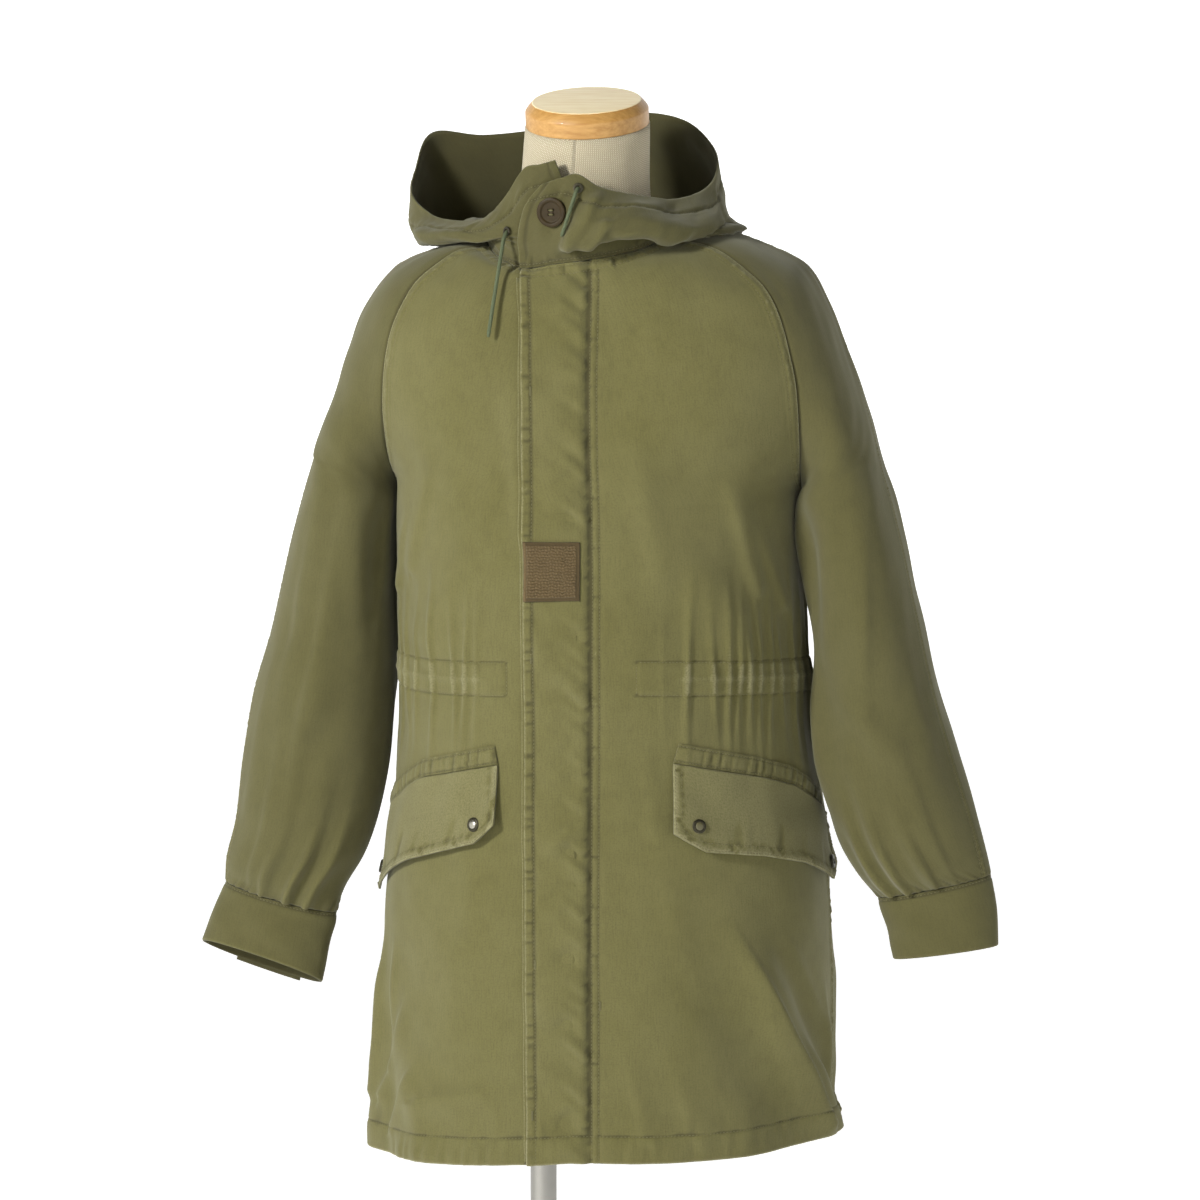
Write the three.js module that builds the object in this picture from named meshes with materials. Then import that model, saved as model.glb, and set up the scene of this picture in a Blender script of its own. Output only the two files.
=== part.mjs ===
import * as THREE from 'three';

// A hooded field jacket, buttoned at the throat, worn by a limbless dress form.
// Millimetres, +Z up, front towards -Y. Left and right are the wearer's: left is +X.
// The origin is the middle of the base's underside.

// Driving dimensions
const CLOTH = 1.6;
const SEAM_GAP = 0.3;
const RIM_BEVEL = 0.6;
const HOOD_CLOTH = 2.0;
const CUFF_CLOTH = 2.6;
const FLAP_CLOTH = 2.4;
const BODY_AXIS_X = 57;
const ARMPIT_HEIGHT = 1140;
const ARMPIT_HALF = 188.5;
const ARMPIT_SHIFT = -3.5;
const SIDE_SEAM_Y = 14;
const FLY_LIFT = 4;
const FLY_RAMP = 10;
const CHANNEL_TOP = 996;
const CHANNEL_BOTTOM = 966;
const GATHER_HEIGHT = 1.7;
const GATHER_REACH = 78;
const PLEAT_HEIGHT = 4.2;
const PATCH_SIZE = 53;
const BUTTON_DIAMETER = 27;
const SNAP_DIAMETER = 13;
const CORD_DIAMETER = 3.6;
const CORD_SIDES = 8;
const POLE_DIAMETER = 25;
const BASE_DIAMETER = 360;
const BASE_THICKNESS = 8;
const NECK_CENTRE = new THREE.Vector2(-13, -22);
const SHOULDER_RISE = 5.7;
const CAP_TILT = 13;
const TILT_START = 1402;

// The jacket below the armholes: half width, sideways shift, depth to front and back, and how far
// the left, right and back of a row lie above or below its level at the front.
const BODY_ROWS = [
  { level: 538, half: 221.5, shift: 0.5, front: 166, back: 160, leftRise: 6, rightRise: -22, backRise: -8 },
  { level: 566, half: 219, shift: 0.5, front: 165.5, back: 160, leftRise: 6, rightRise: -20, backRise: -8 },
  { level: 620, half: 214.5, shift: 2.5, front: 164, back: 160, leftRise: 5, rightRise: -14, backRise: -6 },
  { level: 700, half: 212, shift: 2, front: 162, back: 159, leftRise: 3, rightRise: -7, backRise: -3 },
  { level: 790, half: 207.5, shift: 3.5, front: 157, back: 156, leftRise: 0, rightRise: 0, backRise: 0 },
  { level: 875, half: 199, shift: 3, front: 151, back: 151, leftRise: 0, rightRise: 0, backRise: 0 },
  { level: 930, half: 193, shift: 1, front: 148, back: 148, leftRise: 0, rightRise: 0, backRise: 0 },
  { level: 981, half: 190.5, shift: 0, front: 146, back: 146, leftRise: 0, rightRise: 0, backRise: 0 },
  { level: 1030, half: 190, shift: -2, front: 146, back: 147, leftRise: 0, rightRise: 0, backRise: 0 },
  { level: 1100, half: 188, shift: -4.5, front: 142, back: 144, leftRise: 0, rightRise: 0, backRise: 0 },
  { level: 1140, half: 188.5, shift: -3.5, front: 138, back: 141, leftRise: 0, rightRise: 0, backRise: 0 },
];

// The front above the armholes: the middle's height and depth, and the raglan seam's point.
// turn is the way that the cloth crosses the seam, in degrees from straight sideways.
const FRONT_YOKE = [
  { middleX: 0, middle: 1140, depth: 138, seamX: 188.5, seamY: 0, seamZ: 1140, turn: 90 },
  { middleX: 0, middle: 1162, depth: 137.5, seamX: 190, seamY: -34, seamZ: 1157, turn: 66 },
  { middleX: 0, middle: 1186, depth: 136, seamX: 192, seamY: -58, seamZ: 1185, turn: 54 },
  { middleX: 0, middle: 1212, depth: 133, seamX: 191.5, seamY: -74, seamZ: 1218, turn: 46 },
  { middleX: 0, middle: 1242, depth: 129, seamX: 187.5, seamY: -82, seamZ: 1257, turn: 42 },
  { middleX: 0, middle: 1272, depth: 122.5, seamX: 178, seamY: -84, seamZ: 1298, turn: 38 },
  { middleX: 0, middle: 1301, depth: 115, seamX: 161, seamY: -80, seamZ: 1331, turn: 36 },
  { middleX: -1, middle: 1328, depth: 106, seamX: 130, seamY: -69, seamZ: 1357, turn: 38 },
];

// The back above the armholes, in the same way.
const BACK_YOKE = [
  { middleX: 0, middle: 1140, depth: 141, seamX: 188.5, seamY: 0, seamZ: 1140, turn: 90 },
  { middleX: 0, middle: 1168, depth: 141.5, seamX: 187, seamY: 38, seamZ: 1160, turn: 66 },
  { middleX: -1, middle: 1198, depth: 140.5, seamX: 184, seamY: 62, seamZ: 1190, turn: 54 },
  { middleX: -2, middle: 1230, depth: 137, seamX: 178, seamY: 80, seamZ: 1228, turn: 46 },
  { middleX: -4, middle: 1264, depth: 131, seamX: 168, seamY: 89, seamZ: 1268, turn: 42 },
  { middleX: -6, middle: 1298, depth: 121.5, seamX: 152, seamY: 91, seamZ: 1304, turn: 38 },
  { middleX: -8, middle: 1330, depth: 108, seamX: 130, seamY: 86, seamZ: 1336, turn: 36 },
  { middleX: -11, middle: 1361, depth: 90, seamX: 102, seamY: 72, seamZ: 1362, turn: 38 },
];
const YOKE_STEPS = FRONT_YOKE.length;

// The neck seam round the neck's middle, by the angle from the front towards the wearer's left.
const NECK_SEAM = [
  { angle: -180, radius: 80, height: 1394 },
  { angle: -135, radius: 83, height: 1390 },
  { angle: -93, radius: 88, height: 1377 },
  { angle: -62, radius: 88, height: 1359 },
  { angle: -33, radius: 83, height: 1346.5 },
  { angle: -7, radius: 75.5, height: 1351 },
  { angle: 20, radius: 77, height: 1356 },
  { angle: 46, radius: 83, height: 1363 },
  { angle: 66, radius: 87, height: 1372 },
  { angle: 93, radius: 88, height: 1383 },
  { angle: 135, radius: 83, height: 1392 },
  { angle: 180, radius: 80, height: 1394 },
];
const FRONT_NECK_ANGLE = 70;
const OVERARM_NECK_ANGLE = 95;
const BACK_NECK_ANGLE = 126;

// The fly's free edge and the stitching that holds it, by height.
const FLY_LINES = [
  { height: 538, edge: -41, stitch: 19 },
  { height: 958, edge: -47, stitch: 16 },
  { height: 1078, edge: -48.5, stitch: 15.5 },
  { height: 1220, edge: -51, stitch: 11 },
  { height: 1300, edge: -55, stitch: 9 },
  { height: 1352, edge: -60, stitch: 7 },
];

// Sleeve rings from cuff to armhole. inX and inZ are the ring's point nearest the body, outX and
// outZ the farthest; middleY and depth set it front to back; turn is how far in front of the
// outermost point the overarm seam runs.
const LEFT_SLEEVE = [
  { inX: 261, inZ: 765.5, outX: 366, outZ: 790.5, middleY: -22, depth: 27, turn: 24, full: 2 },
  { inX: 241, inZ: 789, outX: 361.5, outZ: 812, middleY: -20, depth: 40, turn: 24, full: 2 },
  { inX: 222, inZ: 823, outX: 352, outZ: 846, middleY: -16, depth: 52, turn: 23, full: 2 },
  { inX: 209, inZ: 876, outX: 334, outZ: 899, middleY: -10, depth: 61, turn: 22, full: 2 },
  { inX: 205, inZ: 935, outX: 315, outZ: 958, middleY: -4, depth: 67, turn: 20, full: 2 },
  { inX: 205, inZ: 995, outX: 299, outZ: 1018, middleY: 0, depth: 71, turn: 17, full: 2 },
  { inX: 202, inZ: 1055, outX: 284, outZ: 1079, middleY: 2, depth: 73, turn: 13, full: 2.1 },
  { inX: 194, inZ: 1108, outX: 270, outZ: 1133, middleY: 2, depth: 73, turn: 8, full: 2.4 },
  { inX: 185, inZ: 1140, outX: 259.5, outZ: 1161, middleY: 2, depth: 71, turn: 4, full: 2.7 },
];
const RIGHT_SLEEVE = [
  { inX: 250, inZ: 735, outX: 357, outZ: 762, middleY: -25, depth: 27, turn: 20, full: 2 },
  { inX: 243, inZ: 758, outX: 356.5, outZ: 785, middleY: -22, depth: 40, turn: 20, full: 2 },
  { inX: 222, inZ: 797, outX: 347.5, outZ: 824, middleY: -17, depth: 50, turn: 19, full: 2 },
  { inX: 206, inZ: 855, outX: 341.5, outZ: 882, middleY: -10, depth: 58, turn: 18, full: 2 },
  { inX: 200, inZ: 915, outX: 331.5, outZ: 943, middleY: -4, depth: 62, turn: 16, full: 2 },
  { inX: 199, inZ: 975, outX: 314.5, outZ: 1002, middleY: 0, depth: 65, turn: 14, full: 2 },
  { inX: 198.5, inZ: 1040, outX: 299.5, outZ: 1066, middleY: 2, depth: 68, turn: 11, full: 2.1 },
  { inX: 197, inZ: 1104, outX: 282.5, outZ: 1130, middleY: 2, depth: 70, turn: 7, full: 2.4 },
  { inX: 192, inZ: 1140, outX: 272, outZ: 1160, middleY: 2, depth: 70, turn: 4, full: 2.7 },
];
const SLEEVE_STEPS = LEFT_SLEEVE.length - 1;

// The overarm seam above the armhole: leave is the way the sleeve leaves the raglan seam, in
// degrees from straight sideways, and near and far are the lengths of its curve's two handles.
const LEFT_SHOULDER = [
  { topX: 259.5, topY: 2, topZ: 1161, leave: -90, near: 94, far: 94 },
  { topX: 254, topY: 4, topZ: 1183, leave: -62, near: 62, far: 82 },
  { topX: 247, topY: 6, topZ: 1207, leave: -32, near: 46, far: 74 },
  { topX: 237, topY: 8, topZ: 1238, leave: -6, near: 33, far: 60 },
  { topX: 225, topY: 9, topZ: 1272, leave: 12, near: 30, far: 50 },
  { topX: 209, topY: 10, topZ: 1310, leave: 24, near: 32, far: 44 },
  { topX: 184, topY: 9, topZ: 1349, leave: 30, near: 34, far: 42 },
  { topX: 139, topY: 5, topZ: 1371, leave: 32, near: 32, far: 34 },
];
const RIGHT_SHOULDER = [
  { topX: 272, topY: 2, topZ: 1160, leave: -90, near: 94, far: 94 },
  { topX: 266.5, topY: 4, topZ: 1182, leave: -58, near: 64, far: 82 },
  { topX: 259.5, topY: 6, topZ: 1206, leave: -28, near: 49, far: 74 },
  { topX: 250, topY: 8, topZ: 1236, leave: -4, near: 36, far: 60 },
  { topX: 238, topY: 9, topZ: 1270, leave: 13, near: 34, far: 50 },
  { topX: 221, topY: 10, topZ: 1309, leave: 24, near: 34, far: 44 },
  { topX: 193, topY: 9, topZ: 1344, leave: 30, near: 36, far: 42 },
  { topX: 141, topY: 5, topZ: 1364, leave: 32, near: 32, far: 34 },
];

// Hood sections by their angle round the neck. sweep turns the rim past the seam; over, low and
// out are where the cloth leaves the neck, sags lowest and bellies out, and rim is the opening.
const LEFT_HOOD = [
  {
    angle: -33, sweep: 15.6, overR: 89, overZ: 1358, lowR: 91.7,
    lowZ: 1372, outR: 90.4, outZ: 1404, rimR: 87, rimZ: 1422,
  },
  {
    angle: -22, sweep: 17, overR: 85, overZ: 1358, lowR: 89,
    lowZ: 1372, outR: 88, outZ: 1405, rimR: 84.5, rimZ: 1428.5,
  },
  {
    angle: -9, sweep: 15, overR: 83, overZ: 1360, lowR: 87,
    lowZ: 1372, outR: 88, outZ: 1404, rimR: 85.5, rimZ: 1432,
  },
  {
    angle: 5, sweep: 14, overR: 83, overZ: 1365, lowR: 91,
    lowZ: 1363.5, outR: 95, outZ: 1384, rimR: 85.8, rimZ: 1421.3,
  },
  {
    angle: 22, sweep: 13, overR: 84, overZ: 1373, lowR: 97,
    lowZ: 1367, outR: 101, outZ: 1384, rimR: 85.6, rimZ: 1415.6,
  },
  {
    angle: 38, sweep: 14.6, overR: 89, overZ: 1379, lowR: 106,
    lowZ: 1372, outR: 110, outZ: 1385, rimR: 87.2, rimZ: 1411.4,
  },
  {
    angle: 55, sweep: 17.4, overR: 94, overZ: 1385, lowR: 110,
    lowZ: 1370, outR: 117, outZ: 1382, rimR: 92.5, rimZ: 1408.7,
  },
  {
    angle: 75, sweep: 20, overR: 98, overZ: 1390, lowR: 126,
    lowZ: 1374, outR: 130, outZ: 1382, rimR: 108, rimZ: 1415,
  },
  {
    angle: 95, sweep: 18, overR: 101, overZ: 1391, lowR: 147,
    lowZ: 1379, outR: 130, outZ: 1394, rimR: 125, rimZ: 1429,
  },
  {
    angle: 118, sweep: 14, overR: 108, overZ: 1391, lowR: 152,
    lowZ: 1373, outR: 144, outZ: 1395, rimR: 141, rimZ: 1452,
  },
  {
    angle: 140, sweep: 9, overR: 118, overZ: 1380, lowR: 165,
    lowZ: 1346, outR: 174, outZ: 1376, rimR: 149, rimZ: 1473,
  },
  {
    angle: 160, sweep: 4, overR: 128, overZ: 1370, lowR: 171,
    lowZ: 1306, outR: 190, outZ: 1342, rimR: 150, rimZ: 1481,
  },
  {
    angle: 180, sweep: 0, overR: 124, overZ: 1371, lowR: 170,
    lowZ: 1290, outR: 197, outZ: 1335, rimR: 150, rimZ: 1480,
  },
];
const RIGHT_HOOD = [
  {
    angle: -5, sweep: 17, overR: 75, overZ: 1368, lowR: 74,
    lowZ: 1385, outR: 72.5, outZ: 1415, rimR: 71.5, rimZ: 1444,
  },
  {
    angle: 10, sweep: 13, overR: 77, overZ: 1366, lowR: 76.5,
    lowZ: 1384, outR: 75, outZ: 1412, rimR: 74, rimZ: 1440,
  },
  {
    angle: 24, sweep: 10, overR: 82, overZ: 1364, lowR: 82.5,
    lowZ: 1382, outR: 82, outZ: 1410, rimR: 80, rimZ: 1436,
  },
  {
    angle: 40, sweep: 7, overR: 88, overZ: 1368, lowR: 90,
    lowZ: 1377, outR: 91, outZ: 1392, rimR: 85.7, rimZ: 1411.5,
  },
  {
    angle: 55, sweep: 4, overR: 93, overZ: 1375, lowR: 101,
    lowZ: 1371, outR: 104, outZ: 1381, rimR: 92.4, rimZ: 1394.7,
  },
  {
    angle: 70, sweep: -1, overR: 98, overZ: 1381, lowR: 118,
    lowZ: 1368, outR: 124, outZ: 1375, rimR: 101, rimZ: 1388,
  },
  {
    angle: 87, sweep: 0, overR: 104, overZ: 1385, lowR: 148,
    lowZ: 1364, outR: 156, outZ: 1373, rimR: 126, rimZ: 1387,
  },
  {
    angle: 97, sweep: 0, overR: 106, overZ: 1385, lowR: 156,
    lowZ: 1362, outR: 167, outZ: 1376, rimR: 150, rimZ: 1391,
  },
  {
    angle: 106, sweep: 0, overR: 108, overZ: 1384, lowR: 163,
    lowZ: 1359, outR: 182, outZ: 1381, rimR: 181, rimZ: 1407,
  },
  {
    angle: 116, sweep: 0, overR: 110, overZ: 1383, lowR: 167,
    lowZ: 1354, outR: 191, outZ: 1383, rimR: 198, rimZ: 1430,
  },
  {
    angle: 127, sweep: 0, overR: 114, overZ: 1380, lowR: 171,
    lowZ: 1347, outR: 198, outZ: 1380, rimR: 213, rimZ: 1462,
  },
  {
    angle: 140, sweep: 0, overR: 119, overZ: 1376, lowR: 174,
    lowZ: 1336, outR: 195, outZ: 1368, rimR: 189, rimZ: 1459.5,
  },
  {
    angle: 160, sweep: 0, overR: 128, overZ: 1370, lowR: 173,
    lowZ: 1302, outR: 197, outZ: 1340, rimR: 156, rimZ: 1468,
  },
  {
    angle: 180, sweep: 0, overR: 124, overZ: 1371, lowR: 170,
    lowZ: 1290, outR: 197, outZ: 1335, rimR: 150, rimZ: 1480,
  },
];
const HOOD_SHARES = { over: 0.04, low: 0.08, out: 0.42 };

// Largest folds of the body: a soft ridge (or trough, with a negative height) from one end to the
// other, by the angle round the body from the front towards the wearer's left, and by height.
const BODY_FOLDS = [
  { name: 'left hip ridge', angleA: 44, heightA: 800, angleB: 82, heightB: 540, width: 17, lift: 8 },
  { name: 'left hip hollow', angleA: 38, heightA: 740, angleB: 66, heightB: 540, width: 22, lift: -5 },
  { name: 'right side ridge', angleA: -80, heightA: 735, angleB: -76, heightB: 510, width: 12, lift: 6 },
  { name: 'right side hollow', angleA: -70, heightA: 700, angleB: -66, heightB: 515, width: 12, lift: -5 },
  { name: 'right hem fold', angleA: -60, heightA: 640, angleB: -50, heightB: 530, width: 13, lift: 4 },
  { name: 'left breast ridge', angleA: 34, heightA: 1120, angleB: 58, heightB: 1000, width: 20, lift: 3.5 },
  {
    name: 'right breast ridge', angleA: -34, heightA: 1130, angleB: -56,
    heightB: 1010, width: 20, lift: 3.5,
  },
  { name: 'back left ridge', angleA: 128, heightA: 900, angleB: 122, heightB: 520, width: 22, lift: 7 },
  { name: 'back left hollow', angleA: 144, heightA: 860, angleB: 146, heightB: 520, width: 22, lift: -5 },
  { name: 'back middle ridge', angleA: 168, heightA: 910, angleB: 164, heightB: 520, width: 26, lift: 6 },
  { name: 'back middle hollow', angleA: 186, heightA: 800, angleB: 188, heightB: 520, width: 22, lift: -4 },
  { name: 'back right ridge', angleA: 208, heightA: 900, angleB: 214, heightB: 515, width: 24, lift: 7 },
  { name: 'back right hollow', angleA: 228, heightA: 820, angleB: 234, heightB: 515, width: 20, lift: -4 },
  { name: 'back blade fold', angleA: 150, heightA: 1120, angleB: 138, heightB: 1010, width: 22, lift: 4 },
  {
    name: 'back far blade fold', angleA: 210, heightA: 1125, angleB: 222,
    heightB: 1015, width: 22, lift: 4,
  },
];

// Pleats and folds of a sleeve, by the angle round its ring (90 is the front, 180 the underarm)
// and by ring number from the cuff.
const LEFT_SLEEVE_FOLDS = [
  { name: 'front pleat', angleA: 118, ringA: 0, angleB: 112, ringB: 2.6, width: 5, lift: 1.0 },
  { name: 'inner pleat', angleA: 140, ringA: 0, angleB: 134, ringB: 2.9, width: 5.5, lift: 1.0 },
  { name: 'outer pleat', angleA: 84, ringA: 0, angleB: 86, ringB: 2.2, width: 5, lift: 0.7 },
  { name: 'back pleat', angleA: -70, ringA: 0, angleB: -72, ringB: 2.4, width: 6, lift: 1.0 },
  { name: 'back inner pleat', angleA: -104, ringA: 0, angleB: -100, ringB: 2.8, width: 6, lift: 0.9 },
  { name: 'elbow fold', angleA: 80, ringA: 3.2, angleB: 112, ringB: 4.4, width: 15, lift: 1.2 },
  { name: 'upper fold', angleA: 128, ringA: 5, angleB: 105, ringB: 7.6, width: 14, lift: 1.1 },
];
const RIGHT_SLEEVE_FOLDS = [
  { name: 'front pleat', angleA: 104, ringA: 0, angleB: 112, ringB: 2.4, width: 5, lift: 1.0 },
  { name: 'inner pleat', angleA: 128, ringA: 0, angleB: 138, ringB: 2.8, width: 5.5, lift: 1.0 },
  { name: 'outer pleat', angleA: 74, ringA: 0, angleB: 80, ringB: 2.0, width: 5, lift: 0.6 },
  { name: 'back pleat', angleA: -70, ringA: 0, angleB: -72, ringB: 2.4, width: 6, lift: 1.0 },
  { name: 'back inner pleat', angleA: -104, ringA: 0, angleB: -100, ringB: 2.8, width: 6, lift: 0.9 },
  { name: 'elbow fold', angleA: 78, ringA: 3.4, angleB: 108, ringB: 4.8, width: 15, lift: 1.2 },
  { name: 'upper fold', angleA: 126, ringA: 5.2, angleB: 100, ringB: 7.8, width: 14, lift: 1.1 },
];

// Pocket flaps along the body from their inner end to the side. reach is the share of the flap's
// width; top and bottom are heights of its edges.
const LEFT_FLAP = [
  { reach: 0, top: 904, bottom: 842 },
  { reach: 0.06, top: 902, bottom: 833 },
  { reach: 0.13, top: 899, bottom: 824 },
  { reach: 0.42, top: 888, bottom: 815 },
  { reach: 0.66, top: 875, bottom: 803 },
  { reach: 0.84, top: 857, bottom: 788 },
  { reach: 0.94, top: 846, bottom: 777 },
  { reach: 1, top: 838, bottom: 792 },
];
const RIGHT_FLAP = [
  { reach: 0, top: 901, bottom: 846 },
  { reach: 0.045, top: 899, bottom: 836 },
  { reach: 0.085, top: 897, bottom: 827 },
  { reach: 0.43, top: 880, bottom: 803 },
  { reach: 0.68, top: 853, bottom: 781 },
  { reach: 0.86, top: 836, bottom: 764 },
  { reach: 0.95, top: 830, bottom: 755 },
  { reach: 1, top: 827, bottom: 766 },
];
const LEFT_FLAP_INNER_X = 88;
const RIGHT_FLAP_INNER_X = 70;
const BAND_WIDTH = 18;

// Free ends of the hood's drawcord, from the eyelet down.
const RIGHT_CORD_POINTS = [
  [-72, -91.35, 1379], [-72.8, -95.8, 1376.6], [-73.8, -100, 1371], [-74.6, -103.5, 1362],
  [-75.8, -108, 1350], [-77, -112.5, 1338], [-78.2, -117.5, 1325], [-79.4, -121.5, 1313],
  [-80.6, -125, 1301], [-81.6, -127.5, 1292], [-82.2, -128.5, 1286],
];
const LEFT_CORD_POINTS = [
  [-3.2, -110, 1419.6], [-4.2, -114, 1417], [-5.8, -117, 1411], [-8.2, -118.3, 1403], [-10.8, -119, 1395],
  [-13.4, -119.2, 1387], [-15.6, -119, 1380.5], [-17, -118.6, 1376.5],
];

// The form's padded torso and neck, by height: middle, half width and depth.
const TORSO_ROWS = [
  { height: 740, x: -40, y: -2, half: 138, depth: 100 },
  { height: 800, x: -37, y: -2, half: 146, depth: 108 },
  { height: 880, x: -31, y: -2, half: 143, depth: 106 },
  { height: 980, x: -25, y: -2, half: 132, depth: 98 },
  { height: 1080, x: -18, y: -2, half: 146, depth: 112 },
  { height: 1180, x: -12, y: -2, half: 160, depth: 118 },
  { height: 1250, x: -9, y: 0, half: 172, depth: 108 },
  { height: 1300, x: -5, y: 2, half: 176, depth: 92 },
  { height: 1332, x: -4, y: 4, half: 169, depth: 76 },
  { height: 1352, x: -4, y: 4, half: 146, depth: 62 },
  { height: 1363, x: -3, y: -2, half: 110, depth: 58 },
  { height: 1378, x: -12, y: -16, half: 75, depth: 58 },
  { height: 1404, x: -13, y: -22, half: 61, depth: 60 },
  { height: 1474, x: -10.5, y: -22, half: 57, depth: 57 },
];

const COLOUR = {
  cloth: 0x7b764c,
  clothShade: 0x716c45,
  patch: 0x7a6548,
  button: 0x3c3522,
  steel: 0x8d8674,
  darkRing: 0x3a3526,
  cord: 0x6b7350,
  linen: 0xc9c2b0,
  wood: 0xd8a85c,
  chrome: 0xcfd2d4,
  base: 0xd9d6cd,
};

// Curves through the rows of a table

function clampIndex(value, last) {
  return Math.max(0, Math.min(last, value));
}

// A smooth curve through every column of a table, at a fractional row number.
function rowAt(table, position) {
  const last = table.length - 1;
  const start = clampIndex(Math.floor(position), last - 1);
  const t = position - start;
  const before = table[clampIndex(start - 1, last)];
  const here = table[start];
  const next = table[start + 1];
  const after = table[clampIndex(start + 2, last)];
  const result = {};
  for (const key of Object.keys(here)) {
    if (typeof here[key] !== 'number') continue;
    const slopeHere = (next[key] - before[key]) / (start === 0 ? 1 : 2);
    const slopeNext = (after[key] - here[key]) / (start + 1 === last ? 1 : 2);
    const square = t * t;
    const cube = square * t;
    result[key] = here[key] * (2 * cube - 3 * square + 1) + slopeHere * (cube - 2 * square + t)
      + next[key] * (3 * square - 2 * cube) + slopeNext * (cube - square);
  }
  return result;
}

// The same, where one column is the place along the curve.
function rowBy(table, column, value) {
  const last = table.length - 1;
  let start = 0;
  while (start < last - 1 && table[start + 1][column] <= value) start += 1;
  const span = table[start + 1][column] - table[start][column];
  const share = (value - table[start][column]) / span;
  return rowAt(table, start + Math.max(0, Math.min(1, share)));
}

// From 0 at one edge to 1 at the other, whichever of the two is greater.
function smoothStep(zeroAt, oneAt, value) {
  const t = THREE.MathUtils.clamp((value - zeroAt) / (oneAt - zeroAt), 0, 1);
  return t * t * (3 - 2 * t);
}

function radians(degrees) {
  return THREE.MathUtils.degToRad(degrees);
}

// Walls: a grid of points on the outside, and the same grid moved in by the cloth's thickness

function rowNormals(rows, closed) {
  const normals = [];
  for (let r = 0; r < rows.length; r += 1) {
    const line = [];
    const count = rows[r].length;
    for (let c = 0; c < count; c += 1) {
      const left = closed ? rows[r][(c + count - 1) % count] : rows[r][Math.max(0, c - 1)];
      const right = closed ? rows[r][(c + 1) % count] : rows[r][Math.min(count - 1, c + 1)];
      const down = rows[Math.max(0, r - 1)][c];
      const up = rows[Math.min(rows.length - 1, r + 1)][c];
      const along = right.p.clone().sub(left.p);
      const rise = up.p.clone().sub(down.p);
      line.push(along.cross(rise).normalize());
    }
    normals.push(line);
  }
  return normals;
}

// The way from an edge point into its panel, square to the edge.
function inwardFrom(point, neighbour, before, after) {
  const edge = after.clone().sub(before).normalize();
  const inward = neighbour.clone().sub(point);
  inward.addScaledVector(edge, -inward.dot(edge));
  return inward.normalize();
}

// How far each point of a row moves when the panel's edges are drawn in by one unit.
function edgePull(rows, r, c, closed) {
  const pull = new THREE.Vector3();
  const line = rows[r];
  const last = line.length - 1;
  const p = line[c].p;
  if (!closed && (c === 0 || c === last)) {
    const neighbour = line[c === 0 ? 1 : last - 1].p;
    const lower = rows[Math.max(0, r - 1)];
    const upper = rows[Math.min(rows.length - 1, r + 1)];
    const before = lower[c === 0 ? 0 : lower.length - 1].p;
    const after = upper[c === 0 ? 0 : upper.length - 1].p;
    pull.add(inwardFrom(p, neighbour, before, after));
  }
  if (r === 0 || r === rows.length - 1) {
    const next = rows[r === 0 ? 1 : rows.length - 2];
    const share = line[c].u;
    const neighbour = pointOnLine(next, share);
    const before = line[closed ? (c + last) % (last + 1) : Math.max(0, c - 1)].p;
    const after = line[closed ? (c + 1) % (last + 1) : Math.min(last, c + 1)].p;
    pull.add(inwardFrom(p, neighbour, before, after));
  }
  return pull;
}

function pointOnLine(line, u) {
  let c = 0;
  while (c < line.length - 2 && line[c + 1].u < u) c += 1;
  const share = (u - line[c].u) / (line[c + 1].u - line[c].u);
  return line[c].p.clone().lerp(line[c + 1].p, Math.max(0, Math.min(1, share)));
}

// Triangles between two lines of numbered points, lower then upper, seen with u to the right.
function stitch(lower, upper, triangles) {
  let a = 0;
  let b = 0;
  while (a < lower.length - 1 || b < upper.length - 1) {
    const nextA = a < lower.length - 1 ? lower[a + 1].u : Infinity;
    const nextB = b < upper.length - 1 ? upper[b + 1].u : Infinity;
    if (nextA <= nextB + 1e-9) {
      triangles.push([lower[a].i, lower[a + 1].i, upper[b].i]);
      a += 1;
    } else {
      triangles.push([lower[a].i, upper[b + 1].i, upper[b].i]);
      b += 1;
    }
  }
}

function signedVolume(positions, triangles) {
  let sum = 0;
  for (const [a, b, c] of triangles) {
    sum += positions[a].dot(positions[b].clone().cross(positions[c]));
  }
  return sum / 6;
}

function closedGeometry(positions, triangles) {
  const flip = signedVolume(positions, triangles) < 0;
  const geometry = new THREE.BufferGeometry();
  const numbers = new Float32Array(positions.length * 3);
  positions.forEach((p, i) => p.toArray(numbers, i * 3));
  geometry.setAttribute('position', new THREE.BufferAttribute(numbers, 3));
  geometry.setIndex(triangles.flatMap(([a, b, c]) => (flip ? [a, c, b] : [a, b, c])));
  geometry.computeVertexNormals();
  return geometry;
}

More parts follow.
